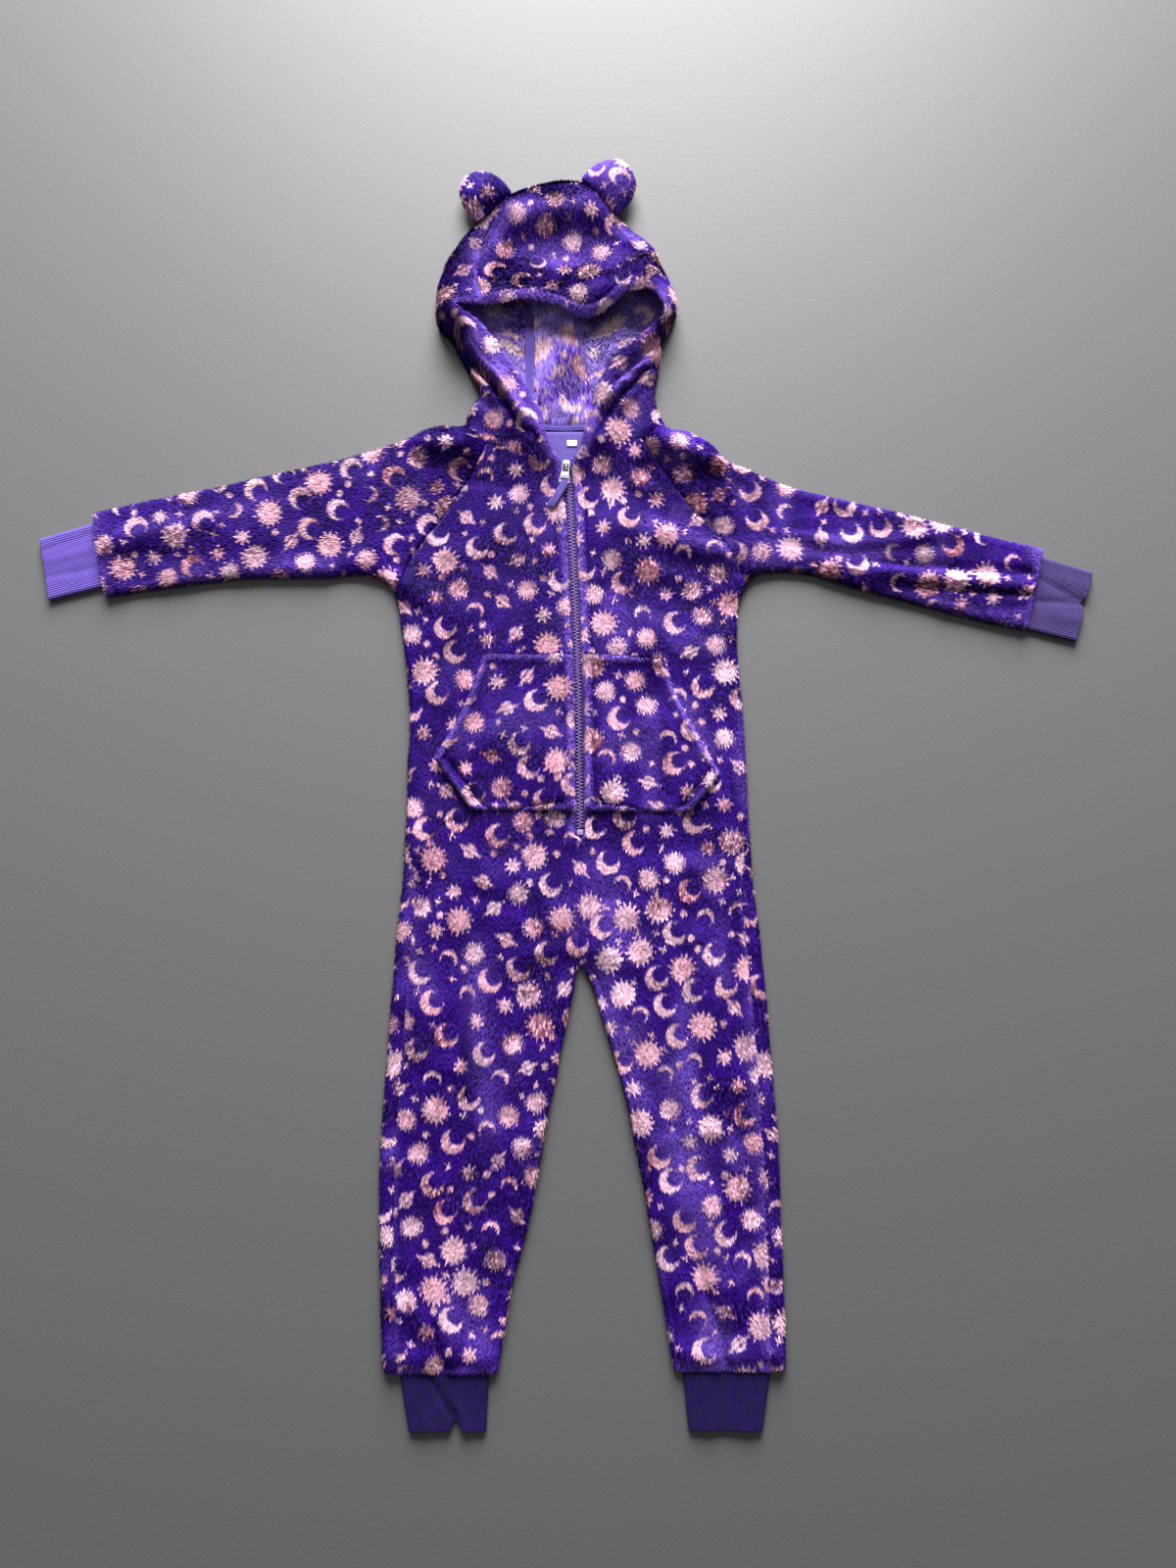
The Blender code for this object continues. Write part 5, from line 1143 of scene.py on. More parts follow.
def stitch_shape():
    """One stitch along X: a short length of thread that dives into the cloth at both ends."""
    rings, sides = 7, 6
    points = []
    for t in np.linspace(-1, 1, rings):
        turn = 2 * math.pi * np.arange(sides) / sides
        radius = THREAD_WIDE / 2 * (1 - 0.45 * t**6)
        points.append(np.column_stack([np.full(sides, t * STITCH_LONG / 2), radius * np.cos(turn),
                                       radius * np.sin(turn) - 0.8 * t**4]))
    points = np.vstack(points) + (*CENTRE, 0)
    return face_out(new_object("stitch", points, ring_faces(rings, sides), thread))


def line_at(points, side, distance):
    """The line on a grid that runs at a distance along the cloth from one of its sides."""
    if side in ("top", "foot"):
        points = points.transpose(1, 0, 2)
    if side in ("end", "foot"):
        points = points[:, ::-1]
    return np.array([[np.interp(distance, lengths(row), column) for column in row.T] for row in points])


def sewn(name, path, slot="fleece"):
    """A row of stitches along a line, as one piece."""
    count = max(1, int(lengths(path)[-1] / STITCH_PITCH))
    shares = (np.arange(count) + 0.5) / count
    spots = along(path, shares)
    run = along(path, np.clip(shares + 0.004, 0, 1)) - along(path, np.clip(shares - 0.004, 0, 1))
    shape = stitch_shape()
    piece = repeated(name, spots, run, np.tile((0.0, 0.0, 1.0), (count, 1)), shape, thread)
    bpy.data.objects.remove(shape)
    belongs(piece, slot)


zip_line, front_line = smooth(ZIP), smooth(CENTRE_FRONT)
FRONTS = {}
for seed, side in enumerate(WAY, 10):
    neck = SEAM[side]["neck"]
    neck = part_of(neck, share_near(neck, SEAMS[side]["raglan"][-1]), 0)
    plan = []

    def middle_at(y):
        if y > ZIP_END:
            return x_at(zip_line, y) + WAY[side] * ZIP_HALF
        return x_at(front_line, y) + WAY[side] * SEAM_GAP / 2

    rows = half_rows(side, SEAM[side]["raglan"], ZIP_TOP, middle_at)
    for i, (outside, centre, kind) in enumerate(rows):
        start = 0.0
        if kind != "raglan":
            start = float(rolled(side_seam(outside[1]) - SIDE_GAP / 2)[0])
        stop = float(rolled(-SEAM_GAP / 2)[0]) if kind == "leg" else 0.0
        length = np.linalg.norm(centre - outside)
        across = start + spread(length - start - stop, FRONT_START, FRONT_END, 26)
        plan.append(on_line(outside, centre, across) if i else along(neck, across / length))
    front = cloth(f"front_cloth_{side}", np.array(plan), True, fleece, cut_upright(side),
                  [("end", ZIP_STITCH, 0.4, 1.3)])
    outer = front["outer"]
    stitch_gap = np.abs(gap_to(outer, ["end"]) - ZIP_STITCH)
    above = outer[..., 1] > ZIP_END
    cover = np.where(above, np.clip(stitch_gap / 1.6, 0.3, 1), 1)
    cuff_gap = outer[..., 1] - LEG_END[side]
    # Paler beside the zip, by the ankle cuff and along the folded side: wear of the raised edges, and
    # painted highlight on them
    worn = above * 1.2 * eased(1.25 - gap_to(outer, ["end"]) / ZIP_STITCH)
    worn = np.maximum(worn, 0.7 * eased(1 - cuff_gap / 12)) + nap_and_painted_light(outer)
    worn = worn + 0.5 * eased(1 - gap_to(outer, ["start"]) / 5)
    pile = pile_on(front, f"front_pile_{side}", FRONT_TUFTS, seed, cover, nap_down(outer), worn=worn)
    finish_cloth(front, "fleece", [f"front_{side}"],
                 others=[pile])
    path = line_at(outer, "end", ZIP_STITCH)
    sewn(f"zip_stitches_{side}", path[path[:, 1] > ZIP_END])
    FRONTS[side] = front

# --- Sleeves ----------------------------------------------------------------------------------
# Raglan sleeves, each one piece folded along its upper edge and closed by a seam along its lower
# edge. They are sewn to the body from underarm to neck, and to the rib cuffs at the wrist.

SLEEVE_AXIS = {"l": (-0.985, -0.17), "r": (0.975, -0.22)}
SLEEVE_TUFTS = 56000
SLEEVE_ENDS = np.array((0, 0.4, 1.0, 1.9, 3.0, 4.6, 7))
NOTCH_SHARE = {side: share_near(EDGES[1], SEAMS[side]["neck"][-1]) for side in SEAMS}


def bent(row, shares, curves):
    """A straight row that takes a weighted share of the bend of each curve."""
    for weight, curve in curves:
        chord = curve[0] + (curve[-1] - curve[0]) * shares[:, None]
        row = row + weight * (along(curve, shares) - chord)
    return row


def shoulder_end(side, raglan_name, neck_name):
    """Up the raglan seam and along the neck to the folded edge."""
    raglan, neck = SEAM[side][raglan_name], SEAM[side][neck_name]
    return np.vstack([raglan, part_of(neck, share_near(neck, raglan[-1]), 1)[1:]])


def unfolded(points, on_top, fold, axis):
    """Lengths along an axis and across it on a piece in two layers, opened about its fold."""
    along_axis, across = np.array(axis, float), np.array((-axis[1], axis[0]), float)
    at, off = points[..., :2] @ along_axis, points[..., :2] @ across
    order = np.argsort(fold[:, :2] @ along_axis)
    turn = np.interp(at, (fold[:, :2] @ along_axis)[order], (fold[:, :2] @ across)[order])
    return at, np.where(on_top, off, 2 * turn - off)


for seed, side in enumerate(WAY, 20):
    lower = BODY_EDGE[side]
    lower = part_of(lower, 1 if side == "l" else 0, share_near(lower, SEAMS[side]["raglan"][0]))
    upper_edge = part_of(EDGES[1], 0 if side == "l" else 1, NOTCH_SHARE[side])
    ends = [shoulder_end(side, "raglan", "neck"), shoulder_end(side, "raglan_back", "neck_back")]
    long = lengths(lower)[-1]
    plan = []
    for share in spread(long - 2 * SEAM_GAP, SLEEVE_ENDS, SLEEVE_ENDS, 56) / long:
        low, high = along(lower, share), along(upper_edge, share)
        length = np.linalg.norm(high - low)
        weight = eased((share - 0.35) / 0.65)
        open_by = float(rolled(-SEAM_GAP / 2)[0]) / length
        layers = []
        for curve, middle in zip(ends, (26, 12)):
            shares = spread(length, EDGE_NEAR, EDGE_NEAR, middle) / length
            shares[0] = open_by
            layers.append(bent(low + (high - low) * shares[:, None], shares, [(weight, curve)]))
        plan.append(np.vstack([layers[0], layers[1][-2::-1]]))
    on_top = np.broadcast_to(np.arange(len(plan[0])) < len(layers[0]), (len(plan), len(plan[0])))
    fold_at = len(layers[0]) - 1

    def sleeve_flat(points):
        v, u = unfolded(points, on_top, points[:, fold_at], SLEEVE_AXIS[side])
        return u + 410, v

    sleeve = cloth(f"sleeve_cloth_{side}", np.array(plan), on_top, fleece, sleeve_flat)
    outer = sleeve["outer"]
    cover = np.where(on_top, 1, np.clip(outer[..., 2] / 3, 0.15, 1))
    # Paler by the wrist cuff: wear and painted highlight on the hem's puff; the nap table on top
    worn = 0.7 * eased(1 - gap_to(outer, ["top"]) / 12) + on_top * nap_and_painted_light(outer)
    pile = pile_on(sleeve, f"sleeve_pile_{side}", SLEEVE_TUFTS, seed, cover, -nap_down(outer), worn=worn)
    finish_cloth(sleeve, "fleece", [f"sleeve_{side}"],
                 others=[pile])

# --- Hood -------------------------------------------------------------------------------------
# Two side pieces that pass round the hood's edges, and a strip from the nape over the crown to the
# brim. The face opening is turned under 13 mm and topstitched. Inside, the back layer shows the
# fabric's paler reverse, where the dye struck through and the pile is longer.

BRIM = (
    (-77, 434), (-61, 437), (-42, 440), (-29, 439), (-12, 435), (3, 429), (19, 425), (32, 428),
    (42, 434), (53, 441), (64, 445), (73, 446),
)
HOOD_TUFTS, INSIDE_TUFTS = 30000, 14000
HOOD_HEM = 13.0
INSIDE_LONG, INSIDE_WIDE = 6.0 * MM, 1.4 * MM
REVERSE_COLOURS = ("B496FA", "8C6AE6", "FFDCE8", "F4C0D6")
# Rows of a side piece from the neck to the ear: share of the face opening, of the seam above it,
# of the folded edge, and of the seam in the back layer
HOOD_ROWS = np.array((
    (0, 0, 0, 0), (0.05, 0, 0.05, 0.04), (0.15, 0, 0.13, 0.11), (0.28, 0, 0.23, 0.20),
    (0.42, 0, 0.32, 0.29), (0.57, 0, 0.40, 0.37), (0.71, 0, 0.455, 0.45), (0.82, 0, 0.505, 0.52),
    (0.91, 0, 0.555, 0.57), (1, 0.03, 0.615, 0.63), (1, 0.25, 0.70, 0.71), (1, 0.50, 0.79, 0.80),
    (1, 0.72, 0.87, 0.88), (1, 0.84, 0.92, 0.93), (1, 0.93, 0.96, 0.965),
))
HEM_ENDS = 8.75       # the row, counted from 0, where the face opening ends
HEM_NEAR = (0, 0.5, 1.2, 2.2, 3.6, 5.6, 8, 10, 11.5, 12.6, 13.6, 15, 17)
SEAM_NEAR = (0, 0.5, 1.2, 2.2, 3.6)
EAR_SHARE = {side: share_near(EDGES[1], SEAMS[side]["hood_top"][-1]) for side in SEAMS}
HOOD_EDGE = {side: part_of(EDGES[1], NOTCH_SHARE[side], EAR_SHARE[side]) for side in SEAMS}
CROWN = part_of(EDGES[1], EAR_SHARE["l"], EAR_SHARE["r"])

reverse, node, surface = new_material("coral fleece reverse")
colour = print_colour(node, *REVERSE_COLOURS)[0]
# The ground between the tufts is painted far darker, as shade; with almost no tufts on the upper layer's
# inner face, it also darkens the hollow under the brim
colour = node("HueSaturation", {"Color": colour, "Value": 0.26, "Saturation": 1.5})[0]
tufts = node("TexNoise", {"Vector": node("UVMap", uv_map="flat")[0], "Scale": 420, "Detail": 3})[0]
bump = node("Bump", {"Height": tufts, "Strength": 0.7, "Distance": 1.6 * MM})[0]
surface({"Base Color": colour, "Roughness": 0.9, "Sheen Weight": 0.1, "Normal": bump})
reverse_pile = pile_material("coral fleece reverse pile", REVERSE_COLOURS, 0.60, 0.50, "E4D6FF", "D6C6FF",
                             0.3)


def beside(curve, share, offset):
    """Points at shares of the curve, moved to its right by the offset."""
    ahead, behind = np.clip(np.add(share, 0.004), 0, 1), np.clip(np.subtract(share, 0.004), 0, 1)
    run = along(curve, ahead) - along(curve, behind)
    run /= np.linalg.norm(run, axis=-1, keepdims=True)
    return along(curve, share) + offset * np.stack([run[..., 1], -run[..., 0]], -1)


def both_faces(part, finish):
    """Gives the inner face of a cloth wall its own material."""
    mesh = part["thing"].data
    mesh.materials.append(finish)
    rows, columns = part["outer"].shape[:2]
    count = (rows - 1) * (columns - 1)
    for face in mesh.polygons[count : 2 * count]:
        face.material_index = 1


HOOD_TAPE_LINE = part_of(SEAM["l"]["hood_back"], 0.08, 0.54)


def off_floor(points):
    """Share of the pile that is left where the hood lies on the floor, and 1 off it."""
    return np.clip(points[..., 2] / 3, 0.12, 1)


def clear_of_tape(points):
    """1 away from the taped seam, and 0 where the tape covers the pile."""
    x, y = points[..., 0], points[..., 1]
    gap = np.min([np.hypot(x - at[0], y - at[1]) for at in HOOD_TAPE_LINE[::2]], axis=0)
    return eased((gap - 4.8) / 1.5)


HOOD_STEPS = spread(14, (0, 0.02, 0.05, 0.09, 0.14, 0.22), (0, 0.03, 0.08, 0.16, 0.28), 56)
HOOD = {}
for seed, side in enumerate(WAY, 30):
    toward = -WAY[side]
    seams = SEAM[side]
    plan = []
    for t in HOOD_STEPS:
        at_hem = min(1, float(np.interp(t, [*range(9), HEM_ENDS], [*HOOD_ROWS[:9, 0], 1])))
        at_top = float(np.interp(t, [HEM_ENDS, *range(9, 15)], [0, *HOOD_ROWS[9:, 1]]))
        at_edge, at_back = [float(np.interp(t, range(15), HOOD_ROWS[:, k])) for k in (2, 3)]
        if t <= HEM_ENDS:
            inner = along(seams["hem"], at_hem)
        else:
            inner = beside(seams["hood_top"], at_top, -toward * SEAM_GAP / 2)
        outside = along(HOOD_EDGE[side], at_edge)
        back = beside(seams["hood_back"], at_back, -toward * SEAM_GAP / 2)
        weight = eased(1 - at_hem / 0.3)
        layers = []
        for end, middle, curve in ((inner, 30, seams["neck"]), (back, 12, seams["neck_back"])):
            length = np.linalg.norm(end - outside)
            shares = spread(length, EDGE_NEAR, HEM_NEAR if middle > 12 else SEAM_NEAR, middle) / length
            row = outside + (end - outside) * shares[:, None]
            layers.append(bent(row, shares, [(weight, curve[::-1])]))
        plan.append(np.vstack([layers[0][::-1], layers[1][1:]]) + (0, SEAM_GAP * (t == 0)))
    on_top = np.broadcast_to(np.arange(len(plan[0])) < len(layers[0]), (len(plan), len(plan[0])))
    fold_at = len(layers[0]) - 1

    def hood_flat(points):
        v, u = unfolded(points, on_top, points[:, fold_at], (0, 1))
        return -u + 240, v

    hood = cloth(f"hood_cloth_{side}", np.array(plan), on_top, fleece, hood_flat,
                 [("start", HOOD_HEM, 0.25, 1.6)])
    both_faces(hood, reverse)
    outer = hood["outer"]
    hem_gap = gap_to(outer, ["start"])
    cover = np.where(on_top, np.clip(np.abs(hem_gap - HOOD_HEM) / 2, 0.7, 1), off_floor(outer))
    # Paler on the rolls of the face opening's hem: painted highlight; the nap table on top
    worn = on_top * (1.1 * eased(1.15 - hem_gap / HOOD_HEM) + nap_and_painted_light(outer))
    pile = pile_on(hood, f"hood_pile_{side}", HOOD_TUFTS, seed, cover, -nap_down(outer), worn=worn)
    cover = np.where(on_top, 0.02, clear_of_tape(outer))
    inside = pile_on(hood, f"hood_inside_{side}", INSIDE_TUFTS, seed + 5, cover, -nap_down(outer),
                     reverse_pile, True, long=INSIDE_LONG, wide=INSIDE_WIDE)
    finish_cloth(hood, "fleece", [f"hood_{side}"],
                 others=[pile, inside])
    sewn(f"hood_stitches_{side}", line_at(outer, "start", HOOD_HEM))
    HOOD[side] = hood

STRIP_NEAR = (0, 0.4, 1.0, 1.9, 3.0, 4.4)
STRIP_SHARES = spread(100, STRIP_NEAR, STRIP_NEAR, 34) / 100
brim = smooth(BRIM)
plan = []
steps = spread(14, (0, 0.03, 0.08, 0.2), (0, 0.1), 36)
for share in [*np.interp(steps, range(15), HOOD_ROWS[:, 3]), 0.975, 0.985]:
    left = beside(SEAM["l"]["hood_back"], share, SEAM_GAP / 2)
    right = beside(SEAM["r"]["hood_back"], share, -SEAM_GAP / 2)
    row = left + (right - left) * STRIP_SHARES[:, None]
    plan.append(bent(row, STRIP_SHARES, [(share**3, CROWN)]) + (0, SEAM_GAP * (share == 0)))
under_rows = len(plan)
steps = spread(0.965, (0,), (0, 0.004, 0.01, 0.018, 0.03, 0.045, 0.07), 30)
for share in [1.0, 0.996, 0.988, 0.977, *steps[::-1]]:
    left = beside(SEAM["l"]["hood_top"], share, SEAM_GAP)
    right = beside(SEAM["r"]["hood_top"], share, -SEAM_GAP)
    row = left + (right - left) * STRIP_SHARES[:, None]
    plan.append(bent(row, STRIP_SHARES, [(eased(share), CROWN), (eased(1 - share), brim)]))
on_top = np.broadcast_to(np.arange(len(plan))[:, None] >= under_rows, (len(plan), len(STRIP_SHARES)))


def centre_flat(points):
    u, v = unfolded(points, on_top, points[under_rows], (1, 0))
    return u + 55, v


hood = cloth("hood_cloth_c", np.array(plan), on_top, fleece, centre_flat,
             [("foot", HOOD_HEM, 0.7, 2.4)])
both_faces(hood, reverse)
outer = hood["outer"]
hem_gap = gap_to(outer, ["foot"])
cover = np.where(on_top, np.clip(np.abs(hem_gap - HOOD_HEM) / 2, 0.3, 1), off_floor(outer))
# Paler on the brim's hem roll: painted highlight; the nap table on top
worn = on_top * (1.5 * eased(1.15 - hem_gap / HOOD_HEM) + nap_and_painted_light(outer))
pile = pile_on(hood, "hood_pile_c", HOOD_TUFTS, 32, cover, nap_down(outer), worn=worn)
cover = np.where(on_top, 0.02, clear_of_tape(outer))
inside = pile_on(hood, "hood_inside_c", INSIDE_TUFTS, 37, cover, nap_down(outer), reverse_pile, True,
                 long=INSIDE_LONG, wide=INSIDE_WIDE)
finish_cloth(hood, "fleece", ["hood_c"], others=[pile, inside])
sewn("hood_stitches_c", line_at(outer, "foot", HOOD_HEM))
HOOD["c"] = hood

# --- Ears -------------------------------------------------------------------------------------
# Bear ears of the same fleece, stuffed with fibre and sewn into the hood's seam. The filling is
# simulated: its pressure swells the closed shape, and the pile is put on what comes of that.

EARS = {"ear_l": ((-84.5, 523), (-50, 551), 38), "ear_r": ((14, 565.5), (49.5, 530.5), 38)}
EAR_THICK, EAR_MIDDLE = 23.5, 13.2
EAR_ROWS, EAR_COLUMNS = 20, 44
EAR_BASE, EAR_TIP = 0.66, 0.985
EAR_FILL, EAR_SWELL = 0.7, 2.0
# How pale each ear's pile is: below 0 it lies open and darker, above 0 paler
EAR_PALENESS = {"ear_l": -1.2, "ear_r": 0.6}     # the right one's pile is brushed up
EAR_TUFTS, EAR_PILE_LONG = 9000, 2.6 * MM
VOXEL = 2.6


def stuffed(thing, voxel, most):
    """Swells a closed shape under the pressure of its filling, no further than most millimetres."""
    mesh = thing.data
    remesh = thing.modifiers.new("even faces", "REMESH")
    remesh.mode = "VOXEL"
    remesh.voxel_size = voxel * MM
    even = evaluated(thing)
    thing.modifiers.remove(remesh)
    thing.data = even
    bpy.data.meshes.remove(mesh)
    before = np.array([v.co for v in even.vertices])
    swell = thing.modifiers.new("filling", "CLOTH")
    swell.settings.use_pressure = True
    swell.settings.uniform_pressure_force = 4
    swell.settings.effector_weights.gravity = 0
    swell.point_cache.frame_end = 20
    for frame_number in range(1, 21):
        scene.frame_set(frame_number)
    after = evaluated(thing)
    moved = np.array([v.co for v in after.vertices]) - before
    thing.modifiers.remove(swell)
    bpy.data.meshes.remove(after)
    scene.frame_set(1)
    far = np.linalg.norm(moved, axis=1, keepdims=True)
    moved *= np.minimum(1, most * MM / np.maximum(far, 1e-9))
    even.vertices.foreach_set("co", (before + moved).astype(np.float32).ravel())
    even.update()


for seed, (name, (foot_a, foot_b, tall)) in enumerate(EARS.items(), 40):
    base = part_of(EDGES[1], share_near(EDGES[1], foot_a), share_near(EDGES[1], foot_b))
    out = np.array([-(base[-1] - base[0])[1], (base[-1] - base[0])[0]])
    out /= np.linalg.norm(out)
    rise = np.sin(math.pi / 2 * np.arange(EAR_ROWS) / (EAR_ROWS - 1)) * EAR_TIP
    full = np.sqrt(1 - rise**3)
    belly = EAR_BASE + (1 - EAR_BASE) * np.sin(math.pi * np.minimum(1, 1.4 * rise))
    angle = 2 * math.pi * np.arange(EAR_COLUMNS) / EAR_COLUMNS
    points = []
    for i in range(EAR_ROWS):
        plan = along(base, 0.5 + 0.5 * full[i] * np.cos(angle)) + out * (-1.5 + (tall + 0.8) * rise[i])
        z = EAR_MIDDLE + (EAR_THICK / 2 - 1) * belly[i] * full[i] * np.sin(angle)
        points.append(np.column_stack([plan, z]))
    ear = new_object(f"{name}_cloth", np.vstack(points), ring_faces(EAR_ROWS, EAR_COLUMNS), fleece)
    stuffed(ear, VOXEL, EAR_SWELL)
    body = bmesh.new()
    body.from_mesh(ear.data)
    bmesh.ops.recalc_face_normals(body, faces=body.faces)
    bmesh.ops.smooth_vert(body, verts=body.verts, factor=0.5,
                          use_axis_x=True, use_axis_y=True, use_axis_z=True)
    for point in body.verts:
        point.co.z = max(point.co.z, 0.6 * MM)
    body.to_mesh(ear.data)
    body.free()
    ear.data.materials.clear()
    ear.data.materials.append(fleece)
    ear.data.shade_smooth()
    spots = np.array([v.co for v in ear.data.vertices]) / MM + (*CENTRE, 0)
    sides = np.array([face.vertices[:] for face in ear.data.polygons])
    flat = np.column_stack([spots[:, 0] + 130 + 3 * seed, spots[:, 1]])
    layer = ear.data.uv_layers.new(name="flat")
    layer.uv.foreach_set("vector", (flat[sides.ravel()] * MM).astype(np.float32).ravel())
    middle = spots.mean(0)
    nap = np.tile((*out, 0.0), (len(spots), 1))
    cover = np.clip(spots[:, 2] / 6, 0.2, 1)
    pile = raise_pile(f"{name}_pile", spots, sides, flat, nap, cover, EAR_TUFTS, fleece_pile, seed,
                      EAR_PALENESS[name], long=EAR_PILE_LONG)
    belongs(ear, "ear_fleece", name)
    belongs(pile, "ear_fleece")

# --- Kangaroo pocket --------------------------------------------------------------------------
# Two halves, sewn on beside the zip and along their upper and lower edges. The slanting hand
# openings and the lower edges are turned under in a hem of 7 mm.

POCKETS = {
    "l": (
        (-74, 105, 106), (-77, 92, 95), (-85, 69, 68), (-94, 50, 48), (-103, 32, 28), (-117, 9, 8),
        (-108, -6, -8), (-97, -20, -22), (-90, -30, -32), (-85, -36, -37),
    ),
    "r": (
        (89, 100, 106), (93, 89, 95), (100, 67, 68), (110, 47, 48), (120, 28, 28), (138, -4, 8),
        (133, -14, -8), (126, -22, -22), (119, -31, -32), (113, -38, -37),
    ),
}
POCKET_HEM, POCKET_HEM_WIDE = 3.2, 7.0
GROOVE_DEEP, GROOVE_AT, GROOVE_HALF = 4.2, 8.6, 1.6     # the groove along the hem's inner side
POCKET_TUFTS = 19000
POCKET_FOLDS = (
    ((-74, 102, 1.6, 5), (-8, 103, 1.6), (18, 103, 1.6, 5), (88, 98, 2.0)),
    ((-78, 90, 2.0, 5), (-103, 32, 2.4, 5), (-115, 10, 1.6)),
    ((93, 88, 2.4, 6), (108, 50, 3.4, 6), (134, 2, 2.2)),
    ((80, 82, -0.6, 4), (96, 48, -1.0, 4), (122, -8, -0.6)), ((57, 75, 0.8, 7), (74, 39, 1.4)),
    ((-95, 12, 1.4, 7), (-60, 24, 0.5)), ((-50, -18, 0.9, 8), (-20, -12, 0.6)),
)
POCKET_NEAR = np.array((0, 0.4, 1.0, 1.9, 3.0, 4.4, 5.8, 6.9, 7.7, 8.5, 9.3, 10.3, 12))


def surface_under(points, below, panels):
    """Height of the first face met going down from each point, over all the given pieces."""
    trees = []
    for thing in panels:
        shape = bmesh.new()
        shape.from_mesh(thing.data)
        trees.append(BVHTree.FromBMesh(shape))
        shape.free()
    heights = []
    for x, y in points:
        start = Vector(((x - CENTRE[0]) * MM, (y - CENTRE[1]) * MM, below * MM))
        hits = [tree.ray_cast(start, Vector((0, 0, -1)))[0] for tree in trees]
        heights.append(max([hit.z / MM for hit in hits if hit] or [0.0]))
    return np.array(heights)


for seed, side in enumerate(WAY, 50):
    outline = np.array(POCKETS[side], float)
    place = lengths(outline[:, :2])
    corner = place[5]
    steps = np.concatenate([
        spread(corner, POCKET_NEAR, (0, 0.8, 2, 4), 15),
        corner + spread(place[-1] - corner, (0, 0.8, 2, 4), POCKET_NEAR, 5)[1:],
    ])
    plan = []
    for x, y, y_zip in [[np.interp(step, place, column) for column in outline.T] for step in steps]:
        inner = np.array([x_at(zip_line, y_zip) + WAY[side] * (ZIP_HALF + 0.3), y_zip])
        length = np.linalg.norm(inner - (x, y))
        plan.append(on_line(np.array([x, y]), inner, spread(length, POCKET_NEAR, FRONT_END, 20)))
    plan = np.array(plan)
    rows, columns = plan.shape[:2]
    plan = plan.reshape(-1, 2)
    under = surface_under(plan, 40, [FRONTS[side]["thing"]])
    under = np.maximum(under, np.where(under < 3, np.median(under), under)) + 0.45
    lower = smooth(np.vstack([outline[5:, :2], plan[-1:]]))
    off = np.array([np.linalg.norm(lower - point, axis=1).min() for point in plan])
    hem = POCKET_HEM * np.exp(-((off / POCKET_HEM_WIDE) ** 4))
    hem -= GROOVE_DEEP * np.exp(-(((off - GROOVE_AT) / GROOVE_HALF) ** 2))
    lift = height(plan, POCKET_FOLDS, 0) + ripple(plan) * 0.5
    top, low = [np.column_stack([plan, high]).reshape(rows, columns, 3) for high in (
        under + WALL + np.maximum(hem + lift + 0.8, -1.9), under + np.maximum(lift, 0) * 0.8,
    )]
    turn = 1 - np.clip(gap_to(top) / SEAM_ROUND, 0, 1)
    turn = 1 - np.sqrt(1 - turn**2)
    stitched = 0.3 * np.exp(-(((gap_to(top, ["end"]) - ZIP_STITCH) / 1.3) ** 2))
    stitched += 0.22 * np.exp(-(((gap_to(top, ["start"]) - POCKET_HEM_WIDE) / 1.3) ** 2))
    sink = np.maximum(0.62 * turn, stitched)[..., None]
    top, low = top + (low - top) * sink, low + (top - low) * 0.12 * turn[..., None]
    u, v = top[..., 0] + 12 * WAY[side], -top[..., 1] - 40
    pocket = wrap(f"pocket_cloth_{side}", top, low, u, v, fleece)
    cover = np.clip(np.abs(gap_to(top, ["end"]) - ZIP_STITCH) / 1.6, 0.4, 1)
    cover = cover * np.clip(np.abs(off.reshape(rows, columns) - GROOVE_AT) / 1.8, 0.3, 1)
    # Paler along the hems and beside the zip: painted highlight on the rolled edges
    hem_gap = gap_to(top, ("start", "top", "foot")) / POCKET_HEM_WIDE
    hem_gap = np.minimum(hem_gap, gap_to(top, ["end"]) / ZIP_STITCH)
    pile = pile_on(pocket, f"pocket_pile_{side}", POCKET_TUFTS, seed, cover, nap_down(top),
                   worn=1.35 * eased(1.3 - hem_gap) + nap_and_painted_light(top))
    finish_cloth(pocket, "fleece", [f"pocket_{side}"],
                 others=[pile])
    sewn(f"pocket_stitches_{side}", line_at(top, "start", POCKET_HEM_WIDE))
    sewn(f"pocket_zip_stitches_{side}", line_at(top, "end", ZIP_STITCH))

# --- Rib cuffs --------------------------------------------------------------------------------
# Tubes of rib knit folded double: the free end is a fold, and both raw ends lie in the seam with
# the sleeve or the leg. The ribs run along the limb.

CUFFS = {
    "cuff_wrist_l": ((-426.1, 170.5), (-437, 230.7), (-478, 157), (-489, 215), 0.6, 1.5, 0.1),
    "cuff_wrist_r": ((424.6, 130.1), (439.9, 198.2), (471, 118), (489, 183), 0.55, 5.0, 0.09),
    "cuff_ankle_l": ((-142, -524.4), (-65, -524.4), (-133, -574), (-67, -574), 0.62, 12.0, 0.1),
    "cuff_ankle_r": ((103, -522.4), (179, -522.4), (108, -573), (171, -574), 0.5, 0.0, 0.1),
}
